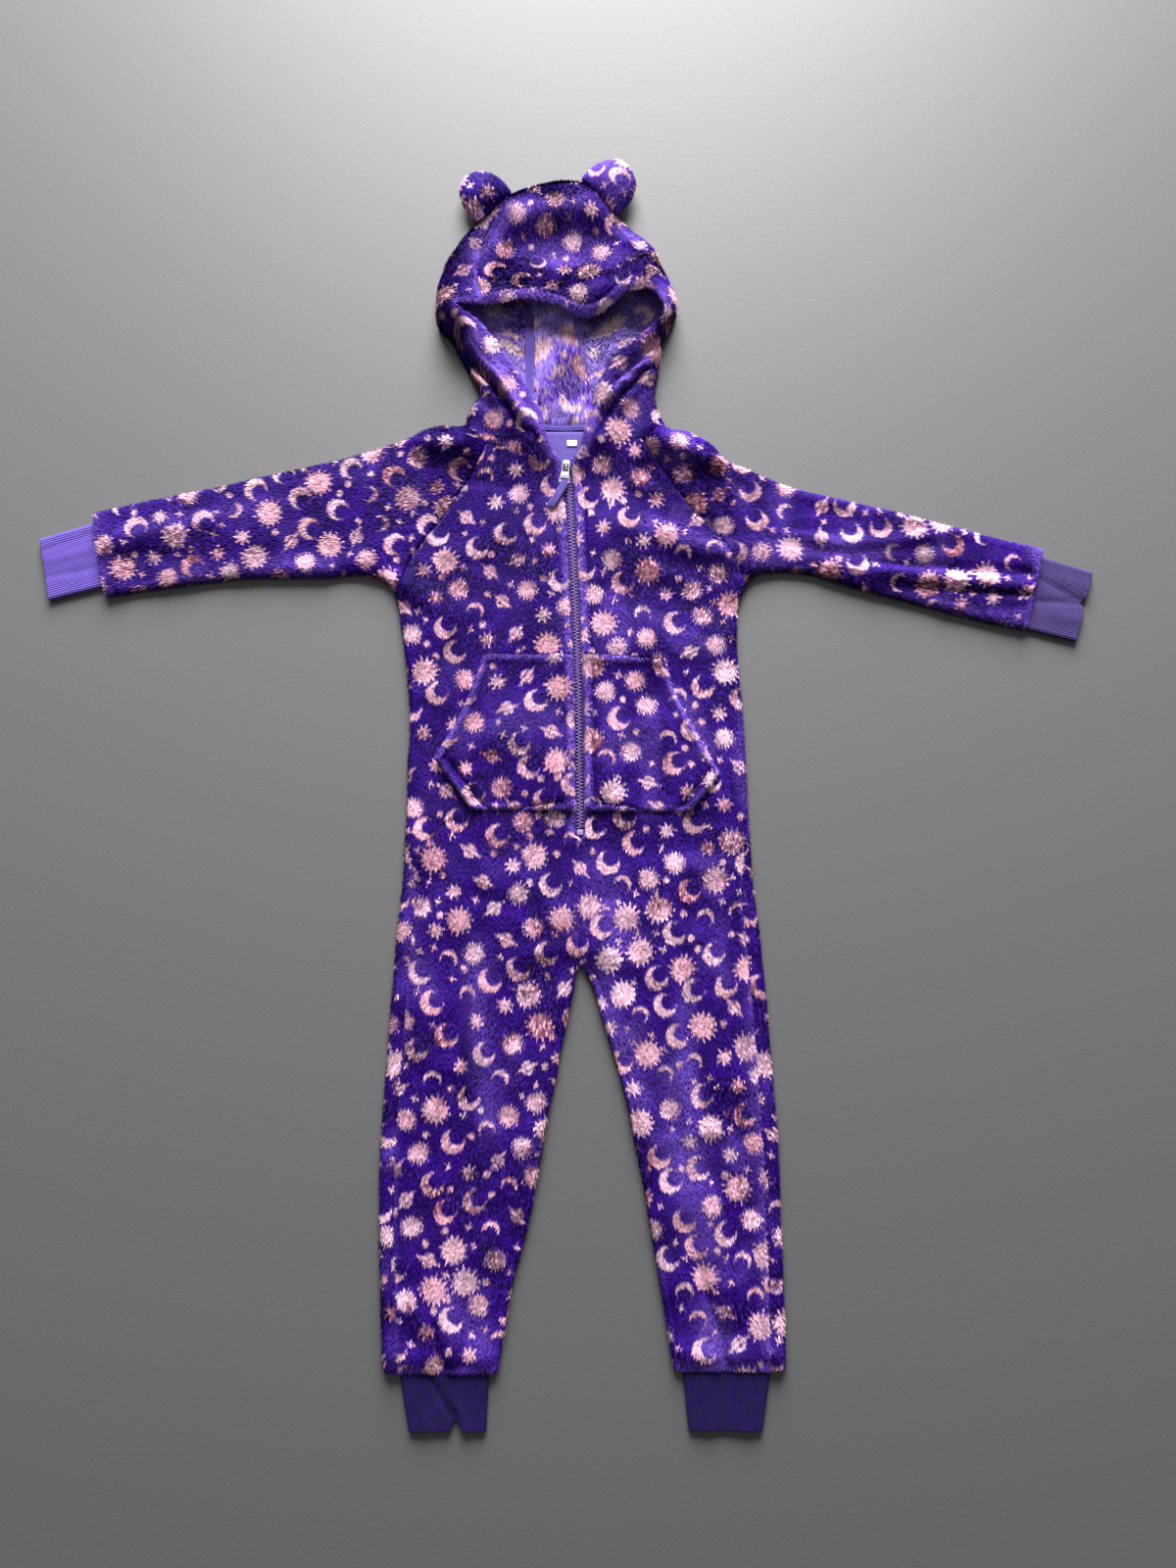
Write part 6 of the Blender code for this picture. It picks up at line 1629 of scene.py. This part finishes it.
# Dents and swells of each: share across and along at start and end, height, half width in mm
CUFF_DENTS = {
    "cuff_wrist_l": (
        (0.3, 0.0, 0.36, 1.0, -0.7, 4), (0.62, 0.1, 0.6, 1.0, 0.8, 5), (0.85, 0, 0.8, 1, -0.5, 3),
    ),
    "cuff_wrist_r": (
        (0.38, 0.0, 0.54, 0.95, -1.3, 4), (0.72, 0.0, 0.56, 0.9, -1.2, 4), (0.25, 0.3, 0.3, 1, 1.0, 7),
        (0.8, 0.4, 0.76, 1, 0.9, 7),
    ),
    "cuff_ankle_l": (
        (0.28, 0.0, 0.6, 0.85, -1.5, 4), (0.44, 0.0, 0.72, 0.9, 1.2, 6), (0.12, 0.2, 0.2, 1, 0.8, 6),
    ),
    "cuff_ankle_r": (
        (0.22, 0.0, 0.26, 1.0, 0.8, 6), (0.5, 0.0, 0.47, 1.0, -0.8, 6), (0.75, 0.0, 0.8, 1, 0.9, 7),
    ),
}
CUFF_WALL, CUFF_HIGH = 1.9, 5.7
RIB_PITCH, RIB_HIGH, STITCH_ROW = 1.9, 0.5, 0.95
CUFF_LONG = {"cuff_wrist_l": 0.0535, "cuff_wrist_r": 0.049, "cuff_ankle_l": 0.048, "cuff_ankle_r": 0.051}


def rib_knit(name, shade, worn, shade_between_ribs):
    """Rib knit: fine stitches along each rib, painted shade between the ribs, paler where it is worn."""
    made, node, surface = new_material(name)
    place = node("UVMap", uv_map="flat")[0]
    x, y, _ = node("SeparateXYZ", place)
    across = node("COSINE", node("MULTIPLY", x, 2 * math.pi / (RIB_PITCH * MM))[0])[0]
    rib = node("MapRange", {0: across, 1: -0.9, 2: 0.7})[0]
    stitch = node("ADD", y, node("MULTIPLY", across, 0.35 * MM)[0])[0]
    stitch = node("SINE", node("MULTIPLY", stitch, 2 * math.pi / (STITCH_ROW * MM))[0])[0]
    uneven = node("TexNoise", {"Vector": place, "Scale": 70, "Detail": 4})[0]
    tone = node("Mix", {0: uneven, 6: linear(shade), 7: linear(worn)}, data_type="RGBA")[2]
    tone = node("Mix", {0: rib, 6: linear(shade_between_ribs), 7: tone}, data_type="RGBA")[2]
    bump = node("Bump", {"Height": stitch, "Strength": 0.35, "Distance": 0.25 * MM})[0]
    surface({"Base Color": tone, "Normal": bump, "Roughness": 0.9, "Specular IOR Level": 0.2,
             "Sheen Weight": 0.04, "Sheen Tint": linear(SHEEN_HEX)})
    return made


# One rib knit in three copies: the left wrist's as lit, the right wrist's darker and the ankles' far
# darker, as painted shade
CUFF_KNIT = {
    "cuff_wrist_l": rib_knit("rib knit cotton", "664EAA", "886FCE", "403088"),
    "cuff_wrist_r": rib_knit("rib knit cotton in painted shade", "45376E", "655494", "241A46"),
    "cuff_ankle_l": rib_knit("rib knit cotton in deep painted shade", "1D0F50", "332170", "0A0422"),
}
CUFF_KNIT["cuff_ankle_r"] = CUFF_KNIT["cuff_ankle_l"]


def stadium(at, straight, radius):
    """Points on a flat loop with round ends, and the direction out of it there."""
    turn, double = math.pi * radius, 2 * straight
    right = math.pi / 2 - (at - double) / radius
    left = -math.pi / 2 - (at - 2 * double - turn) / radius
    on = [at < double, at < double + turn, at < 2 * double + turn]
    level = np.zeros_like(at)
    cos, sin = [np.where(on[1], f(right), f(left)) for f in (np.cos, np.sin)]
    nx = np.select(on, [level, cos, level], cos)
    nz = np.select(on, [level + 1, sin, level - 1], sin)
    middle = np.select(on, [at - straight, level + straight, straight - (at - double - turn)], -straight)
    return middle + radius * nx * ~(on[0] | (on[2] & ~on[1])), radius * nz, nx, nz


for name, (near_a, near_b, far_a, far_b, notch_at, notch_deep, notch_half) in CUFFS.items():
    near_a, near_b, far_a, far_b = (np.array(p, float) for p in (near_a, near_b, far_a, far_b))
    radius = CUFF_HIGH / 2
    run = far_a - near_a + far_b - near_b
    run /= np.linalg.norm(run)
    ribs = round((2 * np.linalg.norm(near_b - near_a) + math.pi * radius - 4 * radius) / RIB_PITCH)
    columns = 4 * ribs
    j = np.arange(columns)
    # Down the outside, round the fold at the free end, and back up the inside
    profile = [(t, 0.0) for t in spread(1, (0, 0.03), (0, 0.015), 22)]
    lip = CUFF_WALL / 2 * MM / CUFF_LONG[name]
    profile = [(t * (1 - lip), depth) for t, depth in profile]
    profile += [(1 - lip + lip * math.sin(a), 0.5 - 0.5 * math.cos(a))
                for a in np.radians((30, 60, 90, 120, 150))]
    profile += [(t * (1 - lip), 1.0) for t in np.linspace(1, 0, 9)]
    points = []
    for share, depth in profile:
        a, b = near_a + (far_a - near_a) * share, near_b + (far_b - near_b) * share
        wide = np.linalg.norm(b - a) / 2
        across = (b - a) / (2 * wide)
        straight = wide - radius
        around = 4 * straight + 2 * math.pi * radius
        x, z, nx, nz = stadium(around * (j + 0.5) / columns, straight, radius)
        top_share = (x + wide) / (2 * wide)
        rib = RIB_HIGH * (0.5 + 0.5 * np.cos(2 * math.pi * j / 4)) * (1 - depth)
        out = rib - CUFF_WALL * depth
        cut = notch_deep * np.clip(1 - np.abs(top_share - notch_at) / notch_half, 0, 1) ** 1.3 * share**2
        plan = (a + b) / 2 + across * (x + nx * out)[:, None] - run * cut[:, None]
        dent = np.zeros(columns)
        for x0, t0, x1, t1, rise, half in CUFF_DENTS[name]:
            t = np.clip((share - t0) / (t1 - t0), 0, 1)
            gap = (top_share - (x0 + (x1 - x0) * t)) * 2 * wide
            dent += rise * np.exp(-((gap / half) ** 2)) * eased((share - t0 + 0.15) / 0.3)
        dent *= np.clip(nz, 0, 1)
        z = radius + z + nz * out + np.where(nz > 0, np.maximum(dent, -1.4), 0)
        points.append(np.column_stack([plan, np.maximum(z, 0.05 + CUFF_WALL * depth)]))
    rows = len(points)
    number = np.arange(rows * columns).reshape(rows, columns)
    after, below = np.roll(number, -1, axis=1), np.roll(number, -1, axis=0)
    faces = np.stack([number, after, np.roll(after, -1, axis=0), below], -1).reshape(-1, 4)
    down = lengths(np.array([ring[0] for ring in points]))
    u, v = np.meshgrid(RIB_PITCH * np.arange(columns + 1) / 4, [*down, down[-1] + CUFF_WALL])
    corners = [np.stack([u[a:b, c:d], v[a:b, c:d]], -1) for a, b, c, d in
               ((0, -1, 0, -1), (0, -1, 1, None), (1, None, 1, None), (1, None, 0, -1))]
    corners = np.stack(corners, 2).reshape(-1, 2)
    uvs = [("flat", corners * MM), ("OFBake", corners / (u.max(), v.max()) * 0.98 + 0.01)]
    tube = new_object(f"{name}_knit", np.vstack(points), faces, CUFF_KNIT[name], uvs)
    face_out(tube)
    belongs(tube, "rib_knit", name)

# --- Inside the neck --------------------------------------------------------------------------
# A half moon of jersey faces the back of the neck. A twill tape covers the neck seam, another one
# the hood's left seam, and a plain satin size label is sewn on the facing.

FACING = (-2.0, 318.6, 32.0, 31.0)
LABEL = (6.0, 307.0, 4.6, 2.9)
TAPE_WIDE, TAPE_THICK = 5.6, 0.9

jersey, node, surface = new_material("cotton jersey")
place = node("TexCoord")["Object"]
rows_of = node("TexWave", {"Vector": place, "Scale": 1100 / 6.28, "Distortion": 0.6})[0]
uneven = node("TexNoise", {"Vector": place, "Scale": 140, "Detail": 4})[0]
tone = node("Mix", {0: uneven, 6: linear("493A7C"), 7: linear("63529C")}, data_type="RGBA")[2]
bump = node("Bump", {"Height": rows_of, "Strength": 0.5, "Distance": 0.2 * MM})[0]
surface({"Base Color": tone, "Normal": bump, "Roughness": 0.85, "Specular IOR Level": 0.2,
         "Sheen Weight": 0.05})

twill, node, surface = new_material("cotton twill tape")
place = node("UVMap", uv_map="flat")[0]
place = node("VectorRotate", {"Vector": place, "Angle": 1.1}, rotation_type="Z_AXIS")[0]
ridges = node("TexWave", {"Vector": place, "Scale": 1000 / 6.28, "Distortion": 0.3})[0]
# Darker in the weave's grooves, where the bump lies low: painted shade
tone = node("Mix", {0: ridges, 6: linear("3D2E76"), 7: linear("584698")}, data_type="RGBA")[2]
bump = node("Bump", {"Height": ridges, "Strength": 0.6, "Distance": 0.2 * MM})[0]
surface({"Base Color": tone, "Normal": bump, "Roughness": 0.8, "Specular IOR Level": 0.25})

satin, node, surface = new_material("polyester satin label")
place = node("VectorMath.MULTIPLY", node("TexCoord")["Object"], (1, 6, 1))[0]
streaks = node("TexNoise", {"Vector": place, "Scale": 500, "Detail": 2})[0]
tone = node("Mix", {0: streaks, 6: linear("DEDCDD"), 7: linear("F6F5F4")}, data_type="RGBA")[2]
surface({"Base Color": tone, "Roughness": 0.38, "Anisotropic": 0.5})


def tape(name, plan, low, thick, finish, ridge=0.0, soft=0.8):
    """A flat woven piece on a grid of plan points, thinner at its edges, with an optional ridge."""
    rows, columns = plan.shape[:2]
    low = np.broadcast_to(low, (rows, columns))
    base = np.dstack([plan, low])
    edge = np.clip(gap_to(base) / soft, 0, 1)
    share = np.linspace(-1, 1, columns)
    high = low + thick * (0.35 + 0.65 * np.sqrt(1 - (1 - edge) ** 2))
    high = high + ridge * np.cos(2 * math.pi * share)
    across, down = grid_paths(base)
    return wrap(name, np.dstack([plan, high]), base, across, down, finish)


def band(curve, offsets):
    """Plan grid that follows a curve, with a column at each distance to its right."""
    shares = np.linspace(0, 1, len(curve))
    return np.stack([beside(curve, shares, offset) for offset in offsets], axis=1)


TAPE_ACROSS = np.array((-1, -0.93, -0.8, -0.55, -0.25, 0, 0.25, 0.55, 0.8, 0.93, 1)) * TAPE_WIDE / 2
HOOD_THINGS = [hood["thing"] for hood in HOOD.values()]
neck_line = smooth(((-36, 324.4), (-3, 322.4), (32, 324.4)), 2)
plan = band(neck_line, TAPE_ACROSS)
BACKS = [bpy.data.objects[f"back_cloth_{side}"] for side in WAY]
rest = surface_under(plan.reshape(-1, 2), 4.6, BACKS + HOOD_THINGS).reshape(plan.shape[:2]) + 0.3
rest = np.clip(rest, 3.6, 4.3)
neck_tape = tape("neck_tape_twill", plan, rest, TAPE_THICK, twill, ridge=0.22)
for at in ("start", "end"):
    sewn(f"neck_tape_stitches_{at}", line_at(neck_tape["outer"], at, 0.9), slot="tape")
neck_tape = neck_tape["thing"]
plan = band(HOOD_TAPE_LINE, TAPE_ACROSS * 1.5)
rest = surface_under(plan.reshape(-1, 2), 12, HOOD_THINGS).reshape(plan.shape[:2])
rest = np.repeat(rest.max(1, keepdims=True) + 1.6, plan.shape[1], axis=1)
hood_tape = tape("hood_tape_twill", plan, rest, TAPE_THICK, twill)
for at in ("start", "end"):
    sewn(f"hood_tape_stitches_{at}", line_at(hood_tape["outer"], at, 1.0), slot="tape")
hood_tape = hood_tape["thing"]
middle, top, wide, deep = FACING
shares = np.concatenate([np.linspace(0, 0.9, 14), (0.93, 0.955, 0.972, 0.985)])
across = np.concatenate([(-1, -0.985, -0.96), np.linspace(-0.9, 0.9, 22), (0.96, 0.985, 1)])
half = wide * np.sqrt(1 - shares**2)
low = np.repeat(top - deep * shares[:, None], len(across), axis=1)
plan = np.dstack([middle + half[:, None] * across, low])
rest = surface_under(plan.reshape(-1, 2), 4.6, BACKS).reshape(plan.shape[:2])
waves = ripple(plan.reshape(-1, 2)).reshape(plan.shape[:2])
rest = np.clip(rest, 3.2, 3.7) + 0.4 + 0.25 * waves.clip(0)
facing = tape("neck_facing_jersey", plan, rest, TAPE_THICK, jersey)["thing"]
x, y, half_wide, half_tall = LABEL
across = np.linspace(-1, 1, 13)
plan = np.dstack(np.meshgrid(x + half_wide * across, y + half_tall * np.linspace(-1, 1, 9)))
bow = 0.35 * np.abs(across) ** 2
label = tape("size_label_satin", plan, 5.2 + bow[None, :].repeat(9, 0), 0.35, satin, soft=0.3)["thing"]
for piece, solid, slot, size, area in (
    (neck_tape, "neck_tape", "tape", (0.0105, 0.069), 0.00039),
    (hood_tape, "hood_tape", "tape", (0.0105, 0.112), 0.00093),
    (facing, "neck_facing", "jersey", (0.064, 0.031), 0.00155),
    (label, "size_label", "label", (0.0105, 0.0101), 0.000055),
):
    belongs(piece, slot, solid)

# --- Zip --------------------------------------------------------------------------------------
# A closed zip with moulded teeth on woven tapes, sewn behind the turned edges of the fronts. The
# slider stands at the top, and its nickel-plated tab carries a folded pull of jersey.

TAPE_TOP, ZIP_FOOT = 7.0, -61.5
TOOTH_PITCH, STOP_LONG = 3.17, 6.0
SLIDER_X, SLIDER_Y, SLIDER_WIDE, SLIDER_LONG = 0.8, 283.0, 8.8, 11.5
PLATE_TOP, BRIDGE_WIDE = 10.8, 2.8
HINGE_FROM_MIDDLE, HINGE_HIGH = 1.6, 13.1
TAB_LONG, TAB_THICK, TAB_LEAN, TAB_DIP = 19.0, 1.4, 6.0, 0.5
TAB_WINDOWS = ((5.0, 0.7, 8.4), (7.8, 14.6, 17.4))
LOOP_WIDE, LOOP_LONG, LOOP_THICK, LOOP_TURN = 7.2, 43.0, 1.1, 26.0
SLIDER_OUTLINE = (
    (-0.62, -1), (0.62, -1), (0.82, -0.7), (1.0, 0.1), (0.96, 0.7), (0.6, 1), (-0.6, 1), (-0.96, 0.7),
    (-1.0, 0.1), (-0.82, -0.7),
)
BRIDGE_SIDE = (
    (-4.3, -0.5), (-4.3, 2.4), (-2.9, 4.6), (3.3, 4.6), (4.3, 3.2), (4.3, -0.5), (3.0, -0.5),
    (3.0, 3.5), (-3.0, 3.5), (-3.0, -0.5),
)
TAB_OUTLINE = (
    (-3.3, -0.7), (3.3, -0.7), (3.5, 2.0), (3.6, 8.2), (4.4, 12.5), (5.4, 17.6), (4.6, TAB_LONG),
    (-4.6, TAB_LONG), (-5.4, 17.6), (-4.4, 12.5), (-3.6, 8.2), (-3.5, 2.0),
)
# A tooth: (out from the zip's middle, half length along it, height) of its rings, foot to top
TOOTH_RINGS = ((2.85, 0.64, 0.0), (2.85, 0.64, 1.5), (2.6, 0.54, 2.1), (-0.5, 0.42, 2.4))

acetal, node, surface = new_material("moulded acetal teeth")
uneven = node("TexNoise", {"Vector": node("TexCoord")["Object"], "Scale": 400, "Detail": 2})[0]
tone = node("Mix", {0: uneven, 6: linear("77589E"), 7: linear("AA8CD2")}, data_type="RGBA")[2]
surface({"Base Color": tone, "Roughness": 0.26, "Coat Weight": 0.2})

nickel, node, surface = new_material("nickel plate")
wear = node("TexNoise", {"Vector": node("TexCoord")["Object"], "Scale": 650, "Detail": 4})[0]
rough = node("MapRange", {0: wear, 3: 0.2, 4: 0.42})[0]
bump = node("Bump", {"Height": wear, "Strength": 0.08, "Distance": 0.1 * MM})[0]
surface({"Base Color": linear("C9C8CC"), "Metallic": 1.0, "Roughness": rough, "Normal": bump})

# The slider's body is darker than its tab, so it stands back from it: partly a darker plating, partly
# painted shade so that the tab's windows read dark over it
shaded_dark_nickel = nickel.copy()
shaded_dark_nickel.name = "dark nickel plate"
shaded_dark_nickel.node_tree.nodes["Principled BSDF"].inputs["Base Color"].default_value = linear("6E6A74")

zip_tape, node, surface = new_material("woven zip tape")
place = node("UVMap", uv_map="flat")[0]
weave = node("TexWave", {"Vector": place, "Scale": 1300 / 6.28, "Distortion": 0.4},
             bands_direction="Y")[0]
# Darker in the weave's grooves, where the bump lies low: painted shade
tone = node("Mix", {0: weave, 6: linear("1F1452"), 7: linear("30226C")}, data_type="RGBA")[2]
bump = node("Bump", {"Height": weave, "Strength": 0.7, "Distance": 0.2 * MM})[0]
surface({"Base Color": tone, "Normal": bump, "Roughness": 0.7})

long = lengths(zip_line)[-1]
for side, way in WAY.items():
    run = along(zip_line, np.linspace(1 - (ZIP_TOP - ZIP_FOOT) / long, 1, 150))
    plan = band(run, -way * np.array((0.15, 0.35, 0.7, 1.6, 2.6, 3.4, 3.9, 4.2, ZIP_HALF - 0.35)))
    piece = tape(f"zip_tape_woven_{side}", plan, TAPE_TOP - 1, 0.95, zip_tape, soft=0.5)["thing"]
    belongs(piece, "tape", f"zip_tape_{side}")

chain_top = SLIDER_Y - SLIDER_LONG / 2 - 0.6
count = int((chain_top - ZIP_FOOT - STOP_LONG) / TOOTH_PITCH * 2)
place = 1 - (STOP_LONG + TOOTH_PITCH * (np.arange(count) + 1) / 2) / long
spots = along(zip_line, place)
run = along(zip_line, place - 0.002) - along(zip_line, place + 0.002)
run /= np.linalg.norm(run, axis=1)[:, None]
out = np.column_stack([run[:, 1], -run[:, 0], 0 * place])
out *= np.where(np.arange(count) % 2, 1, -1)[:, None]
rings = []
for far, half_long, high in TOOTH_RINGS:
    near = -0.9 if high < 2 else -0.55
    far = far if high < 2.2 else 1.9
    side = ((near, 0.7), (0.6, 0.75), (far, 1))
    rings.append([(side[0][0], -0.7 * half_long, high)] + [(x, half_long * y, high) for x, y in side]
                 + [(x, -half_long * y, high) for x, y in side[:0:-1]])
tooth = new_object("tooth", np.vstack(rings) + (*CENTRE, 0), ring_faces(4, 6), acetal)
tooth.data.flip_normals()
spots = np.column_stack([spots, np.full(count, TAPE_TOP + 0.02)])
chain = repeated("zip_teeth", spots, out, np.tile((0, 0, 1), (count, 1)), tooth, acetal)
bpy.data.objects.remove(tooth)
belongs(chain, "teeth", "zip_chain")


def plate(name, outline, lows, highs, finish, soften, windows=()):
    """A plate between two sets of points over an outline, cut through and softly edged."""
    made = face_out(new_object(name, [*lows, *highs], ring_faces(2, len(outline)), finish))
    for window in windows:
        face_out(window)
        cut = made.modifiers.new("window", "BOOLEAN")
        cut.operation = "DIFFERENCE"
        cut.object = window
    edge = made.modifiers.new("soft edge", "BEVEL")
    edge.width = soften * MM
    edge.segments = 3
    edge.limit_method = "ANGLE"
    edge.angle_limit = math.radians(28)
    done = evaluated(made)
    made.modifiers.clear()
    made.data = done
    done.shade_smooth()
    done.set_sharp_from_angle(angle=math.radians(50))
    for window in windows:
        bpy.data.objects.remove(window)
    return made


x, y = zip_line[-1]
corners = ((-2.9, 0.4), (2.9, 0.4), (2.9, STOP_LONG - 0.4), (-2.9, STOP_LONG - 0.4))
lows, highs = [[(x + dx, y + dy, z) for dx, dy in corners] for z in (7.05, 9.9)]
stop = plate("zip_stop_moulded", corners, lows, highs, acetal, 0.7)
belongs(stop, "teeth", "zip_stop")

outline = [(SLIDER_X + SLIDER_WIDE / 2 * a, SLIDER_Y + SLIDER_LONG / 2 * b) for a, b in SLIDER_OUTLINE]
lows, highs = [[(*point, high) for point in outline] for high in (TAPE_TOP + 0.3, PLATE_TOP)]
slider = plate("zip_slider_body", outline, lows, highs, shaded_dark_nickel, 0.7)
lows, highs = [[(SLIDER_X + a, SLIDER_Y + up, PLATE_TOP + lift) for up, lift in BRIDGE_SIDE]
               for a in (-BRIDGE_WIDE / 2, BRIDGE_WIDE / 2)]
bridge = plate("zip_bridge", BRIDGE_SIDE, lows, highs, nickel, 0.45)
belongs(slider, "nickel", "zip_slider")
belongs(bridge, "nickel")

hinge = np.array([SLIDER_X, SLIDER_Y + HINGE_FROM_MIDDLE, HINGE_HIGH])
lean = math.radians(TAB_LEAN)
down = np.array([-math.sin(lean), -math.cos(lean)])
sideways = np.array([-down[1], down[0]])


def on_tab(across, forward, lift):
    """A point by its distances across the tab, forward from its hinge and above its middle."""
    plan = hinge[:2] + down * forward + sideways * across
    return (*plan, hinge[2] - math.tan(math.radians(TAB_DIP)) * forward + lift)


windows = []
for wide, start, end in TAB_WINDOWS:
    corners = [(-wide / 2, start), (wide / 2, start), (wide / 2, end), (-wide / 2, end)]
    points = [on_tab(a, b, lift) for lift in (-2, 2) for a, b in corners]
    windows.append(new_object("window", points, ring_faces(2, 4), nickel))
tab = plate("pull_tab_plated", TAB_OUTLINE, [on_tab(a, b, -TAB_THICK / 2) for a, b in TAB_OUTLINE],
            [on_tab(a, b, TAB_THICK / 2) for a, b in TAB_OUTLINE], nickel, 0.32, windows)
belongs(tab, "nickel", "pull_tab", body="zip_pull")

# The pull goes round the bar below the lower window, and its ends are sewn together
bar, past, lift = TAB_WINDOWS[1][2], TAB_LONG + 0.3, TAB_THICK / 2 + 0.3
grid = []
for across in (-1, -0.97, -0.9, -0.75, -0.4, 0, 0.4, 0.75, 0.9, 0.97, 1):
    plump = math.sqrt(max(0, 1 - ((abs(across) - 0.7) / 0.3) ** 2)) if abs(across) > 0.7 else 1.0
    loops = []
    for thick, end in (
        (LOOP_THICK * (0.55 + 0.45 * plump), LOOP_LONG), (LOOP_THICK * (0.45 - 0.45 * plump), past + 2),
    ):
        path = np.array([
            (bar + 1, lift + thick), (bar - 0.3 - thick, lift + thick),
            (bar - 0.3 - thick, -lift - thick), (bar + 1, -lift - thick), (past + 1, -lift - thick),
            (past + 6, -0.4 - thick), (end, -0.2 - thick), (end, 0.2 + thick), (past + 6, 0.5 + thick),
            (past + 1, lift + thick),
        ])
        if end < LOOP_LONG:
            path[5], path[8] = (past + 1.6, -0.4 - thick), (past + 1.6, 0.4 + thick)
        for _ in range(3):
            after = np.roll(path, -1, axis=0)
            path = np.stack([0.75 * path + 0.25 * after, 0.25 * path + 0.75 * after], 1).reshape(-1, 2)
        spots = []
        for forward, rise in path:
            beyond = max(0, forward - past - 1)
            bend = math.tan(math.radians(LOOP_TURN)) * beyond**1.12 / 28**0.12
            spots.append(on_tab(across * LOOP_WIDE / 2 * (1 + 0.006 * beyond) - bend, forward,
                                rise + 0.25 * math.sin(beyond / 5) * (beyond > 0)))
        loops.append(spots)
    grid.append(loops)
outer, inner = [np.array([pair[k] for pair in grid]) for k in (0, 1)]
rows, columns = outer.shape[:2]
number = np.arange(rows * columns).reshape(rows, columns)
after = np.roll(number, -1, axis=1)
faces = [np.stack([number[:-1], after[:-1], after[1:], number[1:]], -1).reshape(-1, 4)]
faces.append(faces[0][:, ::-1] + rows * columns)
for row, turn in ((0, 1), (rows - 1, -1)):
    near, far = number[row], after[row]
    faces.append(np.stack([near, near + rows * columns, far + rows * columns, far], -1)[:, ::turn])
points = np.vstack([outer.reshape(-1, 3), inner.reshape(-1, 3)])
pull = face_out(new_object("pull_loop_jersey", points, np.vstack(faces), jersey))
belongs(pull, "jersey", "pull_loop", body="zip_pull")
